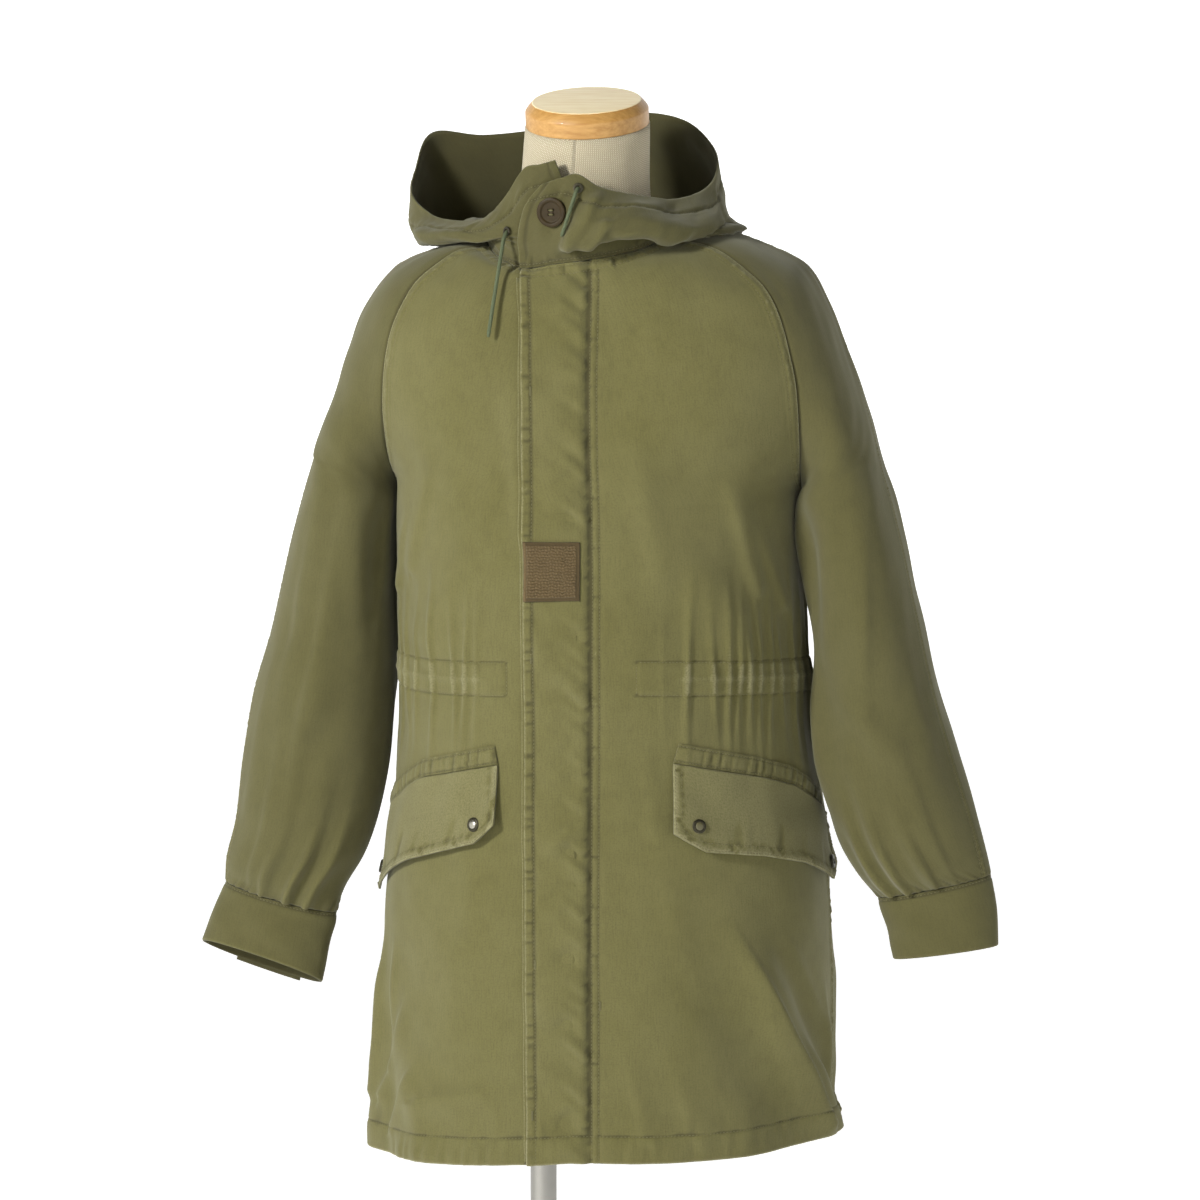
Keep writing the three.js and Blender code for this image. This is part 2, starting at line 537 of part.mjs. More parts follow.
// A cloth wall. base is the plain grid; outer is the grid that shows, finer where it is gathered.
function wall(base, { outer = base, thickness = CLOTH, closed = false, gap = SEAM_GAP } = {}) {
  const positions = [];
  const triangles = [];
  const normals = rowNormals(base, closed);
  const inset = gap / 2;
  const number = (p, u) => {
    positions.push(p);
    return { i: positions.length - 1, u };
  };
  const outside = outer.map((line, r) => line.map(({ u, p }, c) => {
    const moved = p.clone().addScaledVector(edgePull(outer, r, c, closed), inset);
    return number(moved, u);
  }));
  const inside = base.map((line, r) => line.map(({ u, p }, c) => {
    const pull = edgePull(base, r, c, closed);
    const moved = p.clone().addScaledVector(pull, inset + RIM_BEVEL * pull.length());
    return number(moved.addScaledVector(normals[r][c], -thickness), u);
  }));
  if (closed) {
    for (const line of [...outside, ...inside]) line.push({ i: line[0].i, u: 1 });
  }
  const last = base.length - 1;
  for (let r = 0; r < last; r += 1) {
    stitch(outside[r], outside[r + 1], triangles);
    const innerTriangles = [];
    stitch(inside[r], inside[r + 1], innerTriangles);
    innerTriangles.forEach(([a, b, c]) => triangles.push([a, c, b]));
  }
  if (!closed) {
    for (let r = 0; r < last; r += 1) {
      const left = [outside[r][0].i, outside[r + 1][0].i, inside[r][0].i, inside[r + 1][0].i];
      triangles.push([left[2], left[0], left[1]], [left[2], left[1], left[3]]);
      const right = [outside[r], outside[r + 1], inside[r], inside[r + 1]].map((line) => line.at(-1).i);
      triangles.push([right[0], right[2], right[1]], [right[2], right[3], right[1]]);
    }
  }
  stitch(inside[0], outside[0], triangles);
  stitch(outside[last], inside[last], triangles);
  return closedGeometry(positions, triangles);
}

function shares(count) {
  return Array.from({ length: count + 1 }, (_, i) => i / count);
}

// The surface of the jacket's body

function bodyLevel(level) {
  return rowBy(BODY_ROWS, 'level', level);
}

// A quarter of the body's outline at one level: side is 1 for the left and -1 for the right.
function lowerCurve(level, side, facing) {
  const row = bodyLevel(level);
  const depth = facing < 0 ? row.front : row.back;
  const middleZ = level + (facing < 0 ? 0 : row.backRise);
  const sideZ = level + (side > 0 ? row.leftRise : row.rightRise);
  const sideX = side * row.half + row.shift;
  const seamY = SIDE_SEAM_Y * smoothStep(ARMPIT_HEIGHT, ARMPIT_HEIGHT - 120, level);
  const middle = new THREE.Vector3(0, facing * depth, middleZ);
  const end = new THREE.Vector3(sideX, seamY, sideZ);
  const bow = facing < 0 ? side : 0;
  const nearZ = THREE.MathUtils.lerp(middleZ, sideZ, (1 - bow) / 3);
  const farZ = THREE.MathUtils.lerp(middleZ, sideZ, (2 - bow) / 3);
  const near = new THREE.Vector3(sideX * 0.62, facing * depth, nearZ);
  const far = new THREE.Vector3(sideX, seamY + 0.58 * (facing * depth - seamY), farZ);
  return new THREE.CubicBezierCurve3(middle, near, far, end);
}

function armpitX(side) {
  return side * ARMPIT_HALF + ARMPIT_SHIFT;
}

// A raglan seam's point. The seam moves with the armhole, which the shift sets off to one side.
function raglanPoint(yoke, step, side) {
  const row = rowAt(yoke, step);
  const shiftShare = Math.max(0, 1 - step / 3);
  const x = side * row.seamX + ARMPIT_SHIFT * shiftShare;
  return new THREE.Vector3(x, row.seamY, row.seamZ);
}

function upperCurve(yoke, step, side, facing) {
  const row = rowAt(yoke, step);
  const middle = new THREE.Vector3(row.middleX, facing * row.depth, row.middle);
  const end = raglanPoint(yoke, step, side);
  const reach = middle.distanceTo(end);
  const turn = radians(row.turn);
  const rise = end.z - middle.z;
  const near = new THREE.Vector3(middle.x + side * 0.5 * reach, middle.y, middle.z + rise / 3);
  const back = 0.34 * reach;
  const far = new THREE.Vector3(
    end.x - side * back * Math.cos(turn),
    end.y + facing * back * Math.sin(turn),
    middle.z + rise * 2 / 3,
  );
  return new THREE.CubicBezierCurve3(middle, near, far, end);
}

// A point of the neck seam.
function neckPoint(angle, lift = 0) {
  const row = rowBy(NECK_SEAM, 'angle', angle);
  const radius = row.radius + lift;
  const turn = radians(angle);
  return new THREE.Vector3(
    NECK_CENTRE.x + radius * Math.sin(turn),
    NECK_CENTRE.y - radius * Math.cos(turn),
    row.height,
  );
}

// Where a curve crosses a given x, as a share of its length in its own parameter.
function shareAtX(curve, x) {
  let low = 0;
  let high = 1;
  const rising = curve.v3.x > curve.v0.x;
  for (let i = 0; i < 40; i += 1) {
    const middle = (low + high) / 2;
    const here = curve.getPoint(middle).x;
    if ((here < x) === rising) low = middle;
    else high = middle;
  }
  return (low + high) / 2;
}

// Rows of the body from hem to neck: first by level, then by step of the yoke.
const COARSE_LEVELS = [538, 566, 620, 680, 740, 800, 855];
const FINE_LEVELS = [903, 938, 962, 968, 981, 994, 1000, 1024, 1058];
const UPPER_LEVELS = [1100];
const YOKE_ROWS = [0, 1, 2, 3, 4, 5, 6, 7];

function bodyRows() {
  const rows = [];
  for (const level of COARSE_LEVELS) rows.push({ level, fine: false });
  for (const level of FINE_LEVELS) rows.push({ level, fine: true });
  for (const level of UPPER_LEVELS) rows.push({ level, fine: false });
  for (const step of YOKE_ROWS) rows.push({ step, fine: false });
  rows.push({ neck: true, fine: false });
  return rows;
}

function bodyCurve(row, side, facing) {
  if (row.level !== undefined) return lowerCurve(row.level, side, facing);
  const yoke = facing < 0 ? FRONT_YOKE : BACK_YOKE;
  return upperCurve(yoke, row.step, side, facing);
}

// Folds move the cloth away from the body's axis, level with the floor.
function distanceToFold(angle, height, fold) {
  const perDegree = 2.9;
  const ax = fold.angleA * perDegree;
  const bx = fold.angleB * perDegree;
  const px = angle * perDegree;
  const dx = bx - ax;
  const dz = fold.heightB - fold.heightA;
  const along = ((px - ax) * dx + (height - fold.heightA) * dz) / (dx * dx + dz * dz);
  const held = Math.max(0, Math.min(1, along));
  const away = Math.hypot(px - ax - held * dx, height - fold.heightA - held * dz);
  return { away, along: held };
}

function bodyAngle(p) {
  return THREE.MathUtils.radToDeg(Math.atan2(p.x, -p.y));
}

function bodyFoldLift(p) {
  const angle = bodyAngle(p);
  let lift = 0;
  for (const fold of BODY_FOLDS) {
    for (const turn of [0, 360]) {
      const { away, along } = distanceToFold(angle + turn, p.z, fold);
      const start = smoothStep(-0.02, 0.5, along);
      lift += fold.lift * start * Math.exp(-((away / fold.width) ** 2));
    }
  }
  return lift;
}

// Gathers of the waist cord: uneven crests round the sides and back, none near the front opening.
function gatherCrests() {
  const crests = [];
  let angle = 29;
  let number = 0;
  while (angle < 331) {
    const uneven = Math.sin(number * 2.4) * 0.9 + Math.sin(number * 5.1 + 1) * 0.6;
    const strength = 0.72 + 0.28 * Math.sin(number * 3.3 + 0.7);
    crests.push({ angle: angle + uneven, strength });
    angle += angle > 100 && angle < 260 ? 6.3 : 4.9;
    number += 1;
  }
  return crests;
}
const GATHER_CRESTS = gatherCrests();
const GATHER_WIDTH = 1.15;

function gatherLift(p) {
  const angle = (bodyAngle(p) + 360) % 360;
  const middle = (CHANNEL_TOP + CHANNEL_BOTTOM) / 2;
  const half = (CHANNEL_TOP - CHANNEL_BOTTOM) / 2;
  const outside = Math.max(0, Math.abs(p.z - middle) - half);
  const fade = Math.max(0, 1 - outside / GATHER_REACH);
  const inChannel = outside === 0 ? 0.35 * (1 - Math.abs(p.z - middle) / half) : 0;
  let lift = 0;
  for (const crest of GATHER_CRESTS) {
    const away = Math.abs(angle - crest.angle) / GATHER_WIDTH;
    if (away < 3) lift = Math.max(lift, crest.strength * Math.exp(-away * away));
  }
  const tapered = smoothStep(24, 34, angle) * smoothStep(336, 326, angle);
  return (GATHER_HEIGHT * lift * fade + inChannel * 2) * tapered;
}

function pushOut(p, amount) {
  const flat = Math.hypot(p.x, p.y);
  return new THREE.Vector3(p.x + amount * p.x / flat, p.y + amount * p.y / flat, p.z);
}

function folded(p) {
  return pushOut(p, bodyFoldLift(p));
}

function flyLine(height) {
  return rowBy(FLY_LINES, 'height', height);
}

// Front rows: each column's place is an x near the fly and a share of the curve beyond it.
function frontLine(row, places, lifted) {
  const line = places.map((place, c) => {
    const side = place.side;
    const curve = row.neck ? null : bodyCurve(row, side, -1);
    let p;
    if (row.neck) {
      p = neckPoint(place.neckAngle);
    } else {
      const from = place.fromX === undefined ? 0 : shareAtX(curve, place.fromX(flyLine(curve.v0.z)));
      const share = from + (1 - from) * place.share;
      p = folded(curve.getPoint(share));
    }
    const lift = lifted && place.lift ? place.lift : 0;
    return { u: c / (places.length - 1), p: p.clone().add(new THREE.Vector3(0, -lift, 0)) };
  });
  return line;
}

// Places across a front beyond the fly, to the side seam or raglan seam.
function sidePlaces(side, count, start, fromX) {
  return shares(count).map((share) => {
    const neckAngle = side * (start + (FRONT_NECK_ANGLE - start) * share);
    return { side, share, fromX, neckAngle };
  });
}

const FRONT_COLUMNS = 11;
const FLY_EDGE_ANGLE = -33;
const FLY_MIDDLE = -22;
const FLY_MIDDLE_ANGLE = -14;
const FLY_RIDGE_ANGLE = 6;

function leftFrontPlaces(fineShare = 1) {
  const lift = FLY_LIFT;
  const edge = { side: -1, share: 0, fromX: (f) => f.edge, neckAngle: FLY_EDGE_ANGLE, lift };
  const middle = { side: -1, share: 0, fromX: () => FLY_MIDDLE, neckAngle: FLY_MIDDLE_ANGLE, lift };
  const ridge = { side: 1, share: 0, fromX: flyRidge, neckAngle: FLY_RIDGE_ANGLE, lift };
  const beyond = sidePlaces(1, FRONT_COLUMNS * fineShare, 14, (f) => f.stitch);
  return [edge, middle, ridge, ...beyond];
}

function rightFrontPlaces(fineShare = 1) {
  const edge = { side: 1, share: 0, fromX: flyRidge, neckAngle: FLY_RIDGE_ANGLE };
  const middle = { side: -1, share: 0, fromX: () => FLY_MIDDLE, neckAngle: FLY_MIDDLE_ANGLE };
  const beyond = sidePlaces(-1, FRONT_COLUMNS * fineShare, -FLY_EDGE_ANGLE, (f) => f.edge);
  return [edge, middle, ...beyond];
}

// Where the fly starts to come down to its stitching.
function flyRidge(line) {
  return line.stitch - FLY_RAMP;
}

function gathered(line) {
  return line.map(({ u, p }) => ({ u, p: pushOut(p, gatherLift(p)) }));
}

function frontPanel(places, finePlaces, lifted) {
  const rows = bodyRows();
  const base = rows.map((row) => frontLine(row, places, lifted));
  const outer = rows.map((row, r) => (
    row.fine ? gathered(frontLine(row, finePlaces, lifted)) : base[r]
  ));
  return { base, outer };
}

const FINE_FACTOR = 4;
const BACK_FINE_FACTOR = 3;

// Columns of a fine row have the same shares as the plain row's where the two meet.
function alignShares(coarse, fine, plainCount, factor) {
  return fine.map((line, r) => {
    if (line === coarse[r]) return line;
    const firstFine = plainCount;
    return line.map((point, c) => {
      if (c <= firstFine) return { u: coarse[r][c].u, p: point.p };
      const plain = firstFine + (c - firstFine) / factor;
      return { u: plain / (coarse[r].length - 1), p: point.p };
    });
  });
}

const leftFront = frontPanel(leftFrontPlaces(), leftFrontPlaces(FINE_FACTOR), true);
leftFront.outer = alignShares(leftFront.base, leftFront.outer, 3, FINE_FACTOR);
const rightFront = frontPanel(rightFrontPlaces(), rightFrontPlaces(FINE_FACTOR), false);
rightFront.outer = alignShares(rightFront.base, rightFront.outer, 2, FINE_FACTOR);

// The back runs from the left seam, round the middle, to the right seam.
const BACK_HALF_COLUMNS = 11;

function backLine(row, halfCount) {
  const line = [];
  for (const side of [1, -1]) {
    const curve = row.neck ? null : bodyCurve(row, side, 1);
    for (const share of shares(halfCount)) {
      if (side < 0 && share === 0) continue;
      const fromMiddle = side > 0 ? 1 - share : share;
      let p;
      if (row.neck) {
        p = neckPoint(side * (180 - (180 - BACK_NECK_ANGLE) * fromMiddle));
      } else {
        p = folded(curve.getPoint(fromMiddle));
      }
      line.push(p);
    }
  }
  return line.map((p, c) => ({ u: c / (line.length - 1), p }));
}

function backPanel() {
  const rows = bodyRows();
  const base = rows.map((row) => backLine(row, BACK_HALF_COLUMNS));
  const fineHalf = BACK_HALF_COLUMNS * BACK_FINE_FACTOR;
  const outer = rows.map((row, r) => (row.fine ? gathered(backLine(row, fineHalf)) : base[r]));
  return { base, outer };
}

// Mirror a grid across the body's middle, and keep its outside out.
function mirrored(rows) {
  return rows.map((line) => line.map(({ u, p }) => ({
    u: 1 - u,
    p: new THREE.Vector3(-p.x, p.y, p.z),
  })).reverse());
}

// Sleeves, worked out for the left arm; the right arm's own tables are mirrored afterwards

function sleeveRing(table, ring, angle) {
  const row = rowAt(table, ring);
  const middle = new THREE.Vector3((row.inX + row.outX) / 2, row.middleY, (row.inZ + row.outZ) / 2);
  const across = new THREE.Vector3((row.outX - row.inX) / 2, 0, (row.outZ - row.inZ) / 2);
  const turn = radians(angle);
  const armhole = smoothStep(SLEEVE_STEPS - 1, SLEEVE_STEPS, ring);
  const bend = 2 / row.full;
  const c = Math.cos(turn);
  const s = Math.sin(turn);
  const p = middle.clone().addScaledVector(across, Math.sign(c) * Math.abs(c) ** bend);
  p.y -= row.depth * Math.sign(s) * Math.abs(s) ** bend;
  p.y -= armhole * row.middleY * (1 - Math.cos(turn)) / 2;
  return { p, middle, turn: row.turn };
}

function sleeveFoldLift(folds, ring, angle) {
  let lift = 0;
  for (const fold of folds) {
    const share = (ring - fold.ringA) / (fold.ringB - fold.ringA);
    const at = THREE.MathUtils.lerp(fold.angleA, fold.angleB, Math.max(0, Math.min(1, share)));
    const past = Math.max(0, -share, share - 1) * (fold.ringB - fold.ringA);
    const start = fold.ringA === 0 ? smoothStep(0, 0.12, ring) : smoothStep(-0.4, 0.35, share);
    const end = smoothStep(1.15, 0.4, share);
    lift += fold.lift * start * end * Math.exp(-(((angle - at) / fold.width) ** 2) - past * past);
  }
  return lift * PLEAT_HEIGHT;
}

function sleeveLowerLine(table, folds, ring, facing, columns) {
  const overarm = rowAt(table, ring).turn;
  const from = facing < 0 ? 180 : overarm;
  const to = facing < 0 ? overarm : -180;
  return columns.map((u) => {
    const angle = from + (to - from) * u;
    const { p, middle } = sleeveRing(table, ring, angle);
    const edge = Math.min(1, 8 * u, 8 * (1 - u));
    const lift = sleeveFoldLift(folds, ring, angle) * edge;
    const away = p.clone().sub(middle).normalize();
    return { u, p: p.addScaledVector(away, lift) };
  });
}

function sleeveUpperLine(shoulder, side, step, facing, columns) {
  const last = step >= YOKE_STEPS;
  if (last) {
    const seam = facing < 0 ? FRONT_NECK_ANGLE : BACK_NECK_ANGLE;
    const from = facing < 0 ? seam : OVERARM_NECK_ANGLE;
    const to = facing < 0 ? OVERARM_NECK_ANGLE : seam;
    return columns.map((u) => {
      const p = neckPoint(side * (from + (to - from) * u));
      return { u, p: new THREE.Vector3(side * p.x, p.y, p.z) };
    });
  }
  const yoke = facing < 0 ? FRONT_YOKE : BACK_YOKE;
  const row = rowAt(shoulder, step);
  const seam = raglanPoint(yoke, step, side);
  seam.x *= side;
  const top = new THREE.Vector3(row.topX, row.topY, row.topZ);
  const leave = radians(row.leave);
  const nearSeam = seam.clone().add(new THREE.Vector3(
    Math.cos(leave) * row.near,
    -facing * Math.sin(leave) * row.near,
    (top.z - seam.z) / 3,
  ));
  const nearTop = top.clone().add(new THREE.Vector3(0, facing * row.far, (seam.z - top.z) / 3));
  const curve = facing < 0
    ? new THREE.CubicBezierCurve3(seam, nearSeam, nearTop, top)
    : new THREE.CubicBezierCurve3(top, nearTop, nearSeam, seam);
  return columns.map((u) => ({ u, p: curve.getPoint(u) }));
}

const SLEEVE_COLUMNS = 8;
const PLEAT_COLUMNS = 24;
const PLEAT_RINGS = [0, 0.15, 0.6, 1.2, 2];
const PLAIN_RINGS = [3, 4, 5, 6, 7, 8];

function sleeveHalf(table, shoulder, folds, side, facing) {
  const base = [];
  const outer = [];
  for (const ring of PLEAT_RINGS) {
    base.push(sleeveLowerLine(table, [], ring, facing, shares(SLEEVE_COLUMNS)));
    outer.push(sleeveLowerLine(table, folds, ring, facing, shares(PLEAT_COLUMNS)));
  }
  outer[0] = base[0];
  for (const ring of PLAIN_RINGS) {
    base.push(sleeveLowerLine(table, folds, ring, facing, shares(SLEEVE_COLUMNS)));
    outer.push(base.at(-1));
  }
  for (let step = 1; step <= YOKE_STEPS; step += 1) {
    base.push(sleeveUpperLine(shoulder, side, step, facing, shares(SLEEVE_COLUMNS)));
    outer.push(base.at(-1));
  }
  return side > 0 ? { base, outer } : { base: mirrored(base), outer: mirrored(outer) };
}

// Cuffs: a ring of doubled cloth below each sleeve. dip is how far the ring's back hangs down.
const CUFF_SIDES = 24;
const LEFT_CUFF = [
  { inX: 261, inZ: 765.4, outX: 366, outZ: 790.4, middleY: -22, depth: 27, dip: 0 },
  { inX: 270, inZ: 737, outX: 372, outZ: 759, middleY: -25, depth: 25.5, dip: 1 },
  { inX: 277, inZ: 709, outX: 374, outZ: 725, middleY: -28, depth: 25, dip: 2 },
];
const RIGHT_CUFF = [
  { inX: 250, inZ: 734.9, outX: 357, outZ: 761.9, middleY: -25, depth: 27, dip: 0 },
  { inX: 257, inZ: 701, outX: 369, outZ: 733, middleY: -29, depth: 26.5, dip: 5 },
  { inX: 263, inZ: 669, outX: 379, outZ: 704, middleY: -33, depth: 26, dip: 11 },
];

function cuffPoint(table, position, angle, out = 0) {
  const row = rowAt(table, position);
  const turn = radians(angle);
  const middle = new THREE.Vector3((row.inX + row.outX) / 2, row.middleY, (row.inZ + row.outZ) / 2);
  const across = new THREE.Vector3((row.outX - row.inX) / 2, 0, (row.outZ - row.inZ) / 2);
  const wide = across.length();
  const p = middle.clone().addScaledVector(across, Math.cos(turn) * (wide + out) / wide);
  p.y -= (row.depth + out) * Math.sin(turn);
  p.z += row.dip * Math.sin(turn);
  return p;
}

function cuffRows(table, side) {
  const rows = [2, 1, 0].map((position) => Array.from({ length: CUFF_SIDES }, (_, c) => {
    const share = c / CUFF_SIDES;
    return { u: share, p: cuffPoint(table, position, -360 * share) };
  }));
  if (side > 0) return rows;
  return mirrored(rows).map((line) => line.map(({ p }, c) => ({ u: c / CUFF_SIDES, p })));
}

// The cuff's end laps over it at the back, and reaches a little below its edge.
function cuffTabRows(table, side) {
  const rows = [2.1, 1.2, 0.3].map((position) => shares(5).map((share) => {
    const angle = -60 - 62 * share;
    return { u: share, p: cuffPoint(table, position, angle, 0.5 + CLOTH) };
  }));
  return side > 0 ? rows : mirrored(rows);
}

// Hood halves

function polar(angle, radius, height) {
  const turn = radians(angle);
  return new THREE.Vector3(
    NECK_CENTRE.x + radius * Math.sin(turn),
    NECK_CENTRE.y - radius * Math.cos(turn),
    height,
  );
}

const HOOD_PROFILE_STEPS = 10;

function hoodSection(row, side, lift) {
  const at = (share) => side * (row.angle + row.sweep * share);
  const seam = neckPoint(at(0), lift);
  seam.z += 0.3;
  const points = [
    seam,
    polar(at(HOOD_SHARES.over), row.overR, row.overZ),
    polar(at(HOOD_SHARES.low), row.lowR, row.lowZ),
    polar(at(HOOD_SHARES.out), row.outR, row.outZ),
    polar(at(1), row.rimR, row.rimZ),
  ];
  return new THREE.CatmullRomCurve3(points, false, 'centripetal');
}

function hoodHalf(table, side, sections, liftOf) {
  const columns = shares(sections).map((share) => {
    const row = rowAt(table, share * (table.length - 1));
    return { u: share, curve: hoodSection(row, side, liftOf(row.angle)) };
  });
  const rows = shares(HOOD_PROFILE_STEPS).map((v) => columns.map(({ u, curve }) => ({
    u,
    p: curve.getPoint(v),
  })));
  if (side > 0) return rows;
  return rows.map((line) => line.map(({ u, p }) => ({ u: 1 - u, p })).reverse());
}

const leftHood = hoodHalf(LEFT_HOOD, 1, 21, (angle) => FLY_LIFT * smoothStep(14, 8, angle));
const rightHood = hoodHalf(RIGHT_HOOD, -1, 21, () => 0);

// Points of a finished grid, for what lies on it

function gridPoint(rows, u, v) {
  const place = v * (rows.length - 1);
  const r = clampIndex(Math.floor(place), rows.length - 2);
  const low = pointOnLine(rows[r], u);
  const high = pointOnLine(rows[r + 1], u);
  return low.lerp(high, place - r);
}

function gridNormal(rows, u, v) {
  const step = 0.02;
  const later = Math.min(1, u + step);
  const earlier = Math.max(0, u - step);
  const higher = Math.min(1, v + step);
  const lower = Math.max(0, v - step);
  const along = gridPoint(rows, later, v).sub(gridPoint(rows, earlier, v));
  const rise = gridPoint(rows, u, higher).sub(gridPoint(rows, u, lower));
  return along.cross(rise).normalize();
}

// The place on a grid's front whose x and z are nearest to those given.
function frontPlace(rows, x, z) {
  const steps = 120;
  let best = { miss: Infinity };
  for (const u of shares(steps)) {
    for (const v of shares(steps)) {
      const here = gridPoint(rows, u, v);
      const miss = here.y < NECK_CENTRE.y ? Math.hypot(here.x - x, here.z - z) : Infinity;
      if (miss < best.miss) best = { miss, u, v };
    }
  }
  return best;
}

// Pocket flaps and bands lie on the body from their inner end to just short of the side seam

const FLAP_COLUMNS = 14;
const FLAP_END = 0.985;

function onBody(side, share, height, out) {
  const curve = lowerCurve(height, side, -1);
  const p = folded(curve.getPoint(share));
  const tangent = curve.getTangent(share);
  const normal = new THREE.Vector3(side * tangent.y, -side * tangent.x, 0).normalize();
  return p.addScaledVector(normal, out);
}

function flapShare(side, innerX, reach, height) {
  const curve = lowerCurve(height, side, -1);
  const start = shareAtX(curve, side * innerX);
  return start + (FLAP_END - start) * reach;
}

function flapRows(table, side, innerX) {
  const between = [0.25, 0.34, 0.5, 0.58, 0.75];
  const reaches = [...new Set([...table.map((row) => row.reach), ...between])].sort((a, b) => a - b);
  const rows = shares(5).map((v) => reaches.map((reach) => {
    const row = straightRow(table, reach);
    const height = THREE.MathUtils.lerp(row.bottom, row.top, v);
    const out = 1.1 + FLAP_CLOTH + 3.4 * (1 - v) * (1 - v);
    return { u: reach, p: onBody(side, flapShare(side, innerX, reach, height), height, out) };
  }));
  return side > 0 ? rows : rows.map((line) => line.map(({ u, p }) => ({ u: 1 - u, p })).reverse());
}

// A table's row at a given reach, with straight edges between its rows.
function straightRow(table, reach) {
  let start = 0;
  while (start < table.length - 2 && table[start + 1].reach < reach) start += 1;
  const a = table[start];
  const b = table[start + 1];
  const t = (reach - a.reach) / (b.reach - a.reach);
  return {
    top: THREE.MathUtils.lerp(a.top, b.top, t),
    bottom: THREE.MathUtils.lerp(a.bottom, b.bottom, t),
  };
}

function bandRows(table, side, innerX) {
  const rows = shares(2).map((v) => shares(FLAP_COLUMNS).map((reach) => {
    const row = straightRow(table, reach);
    const height = row.top + 0.5 + BAND_WIDTH * v;
    const slant = 4 * v * (1 - reach);
    const share = flapShare(side, innerX + slant, reach, height);
    return { u: reach, p: onBody(side, share, height, 1.1 + CLOTH) };
  }));
  return side > 0 ? rows : rows.map((line) => line.map(({ u, p }) => ({ u: 1 - u, p })).reverse());
}

// The under-fly lies between the right front and the fly, and peeks out past the fly's edge.
function underFlyRows() {
  const rows = bodyRows().filter((row) => !row.neck);
  return rows.map((row) => {
    const right = bodyCurve(row, -1, -1);
    const left = bodyCurve(row, 1, -1);
    const line = flyLine(right.v0.z);
    const places = [
      { curve: right, x: line.edge - 2.4 },
      { curve: right, x: FLY_MIDDLE },
      { curve: left, x: flyRidge(line) - 1 },
    ];
    return places.map(({ curve, x }, c) => {
      const p = folded(curve.getPoint(shareAtX(curve, x)));
      p.y -= 1.65;
      if (row === rows[0]) p.z += 2;
      return { u: c / 2, p };
    });
  });
}

function patchRows() {
  const low = 1051;
  const left = -48;
  return shares(5).map((v) => shares(5).map((u) => {
    const x = left + 1.2 + (PATCH_SIZE - 1.2) * u;
    const z = low + PATCH_SIZE * v;
    const curve = lowerCurve(z, x < 0 ? -1 : 1, -1);
    const p = folded(curve.getPoint(shareAtX(curve, x)));
    const line = flyLine(z);
    const ramp = Math.max(0, (x - flyRidge(line)) / FLY_RAMP);
    p.y -= FLY_LIFT * (1 - ramp) + 0.5 + CLOTH;
    return { u, p };
  }));
}

// Small hard pieces

function turned(profile, segments) {
  const geometry = new THREE.LatheGeometry(profile.map(([r, y]) => new THREE.Vector2(r, y)), segments);
  geometry.rotateX(Math.PI / 2);
  return geometry;
}

function snapGeometry(hollow) {
  const r = SNAP_DIAMETER / 2;
  const crown = hollow
    ? [[0, 0.9], [r * 0.42, 0.9], [r * 0.5, 2], [r * 0.8, 2.1], [r, 1]]
    : [[0, 2.2], [r * 0.5, 2], [r * 0.85, 1.4], [r, 0.7]];
  return turned([[0, 0], [r, 0], ...crown.reverse()], 12);
}

function buttonGeometry() {
  const radius = BUTTON_DIAMETER / 2;
  const outline = new THREE.Shape().absarc(0, 0, radius, 0, Math.PI * 2);
  const holeOffset = 2.6;
  for (let i = 0; i < 4; i += 1) {
    const angle = Math.PI / 4 + (i * Math.PI) / 2;
    const holeX = holeOffset * Math.cos(angle);
    const holeY = holeOffset * Math.sin(angle);
    const hole = new THREE.Path().absarc(holeX, holeY, 1.1, 0, Math.PI * 2);
    outline.holes.push(hole);
  }
  return new THREE.ExtrudeGeometry(outline, { depth: 3.6, bevelEnabled: false, curveSegments: 8 });
}

function cordGeometry(points) {
  const path = new THREE.CatmullRomCurve3(points.map(([x, y, z]) => new THREE.Vector3(x, y, z)));
  const section = new THREE.Shape();
  for (let i = 0; i < CORD_SIDES; i += 1) {
    const angle = (i / CORD_SIDES) * Math.PI * 2;
    const x = (CORD_DIAMETER / 2) * Math.cos(angle);
    const y = (CORD_DIAMETER / 2) * Math.sin(angle);
    if (i === 0) section.moveTo(x, y);
    else section.lineTo(x, y);
  }
  section.closePath();
  const steps = Math.round(path.getLength() / (2.5 * CORD_DIAMETER));
  return new THREE.ExtrudeGeometry(section, { steps, extrudePath: path, bevelEnabled: false });
}

// Dress form

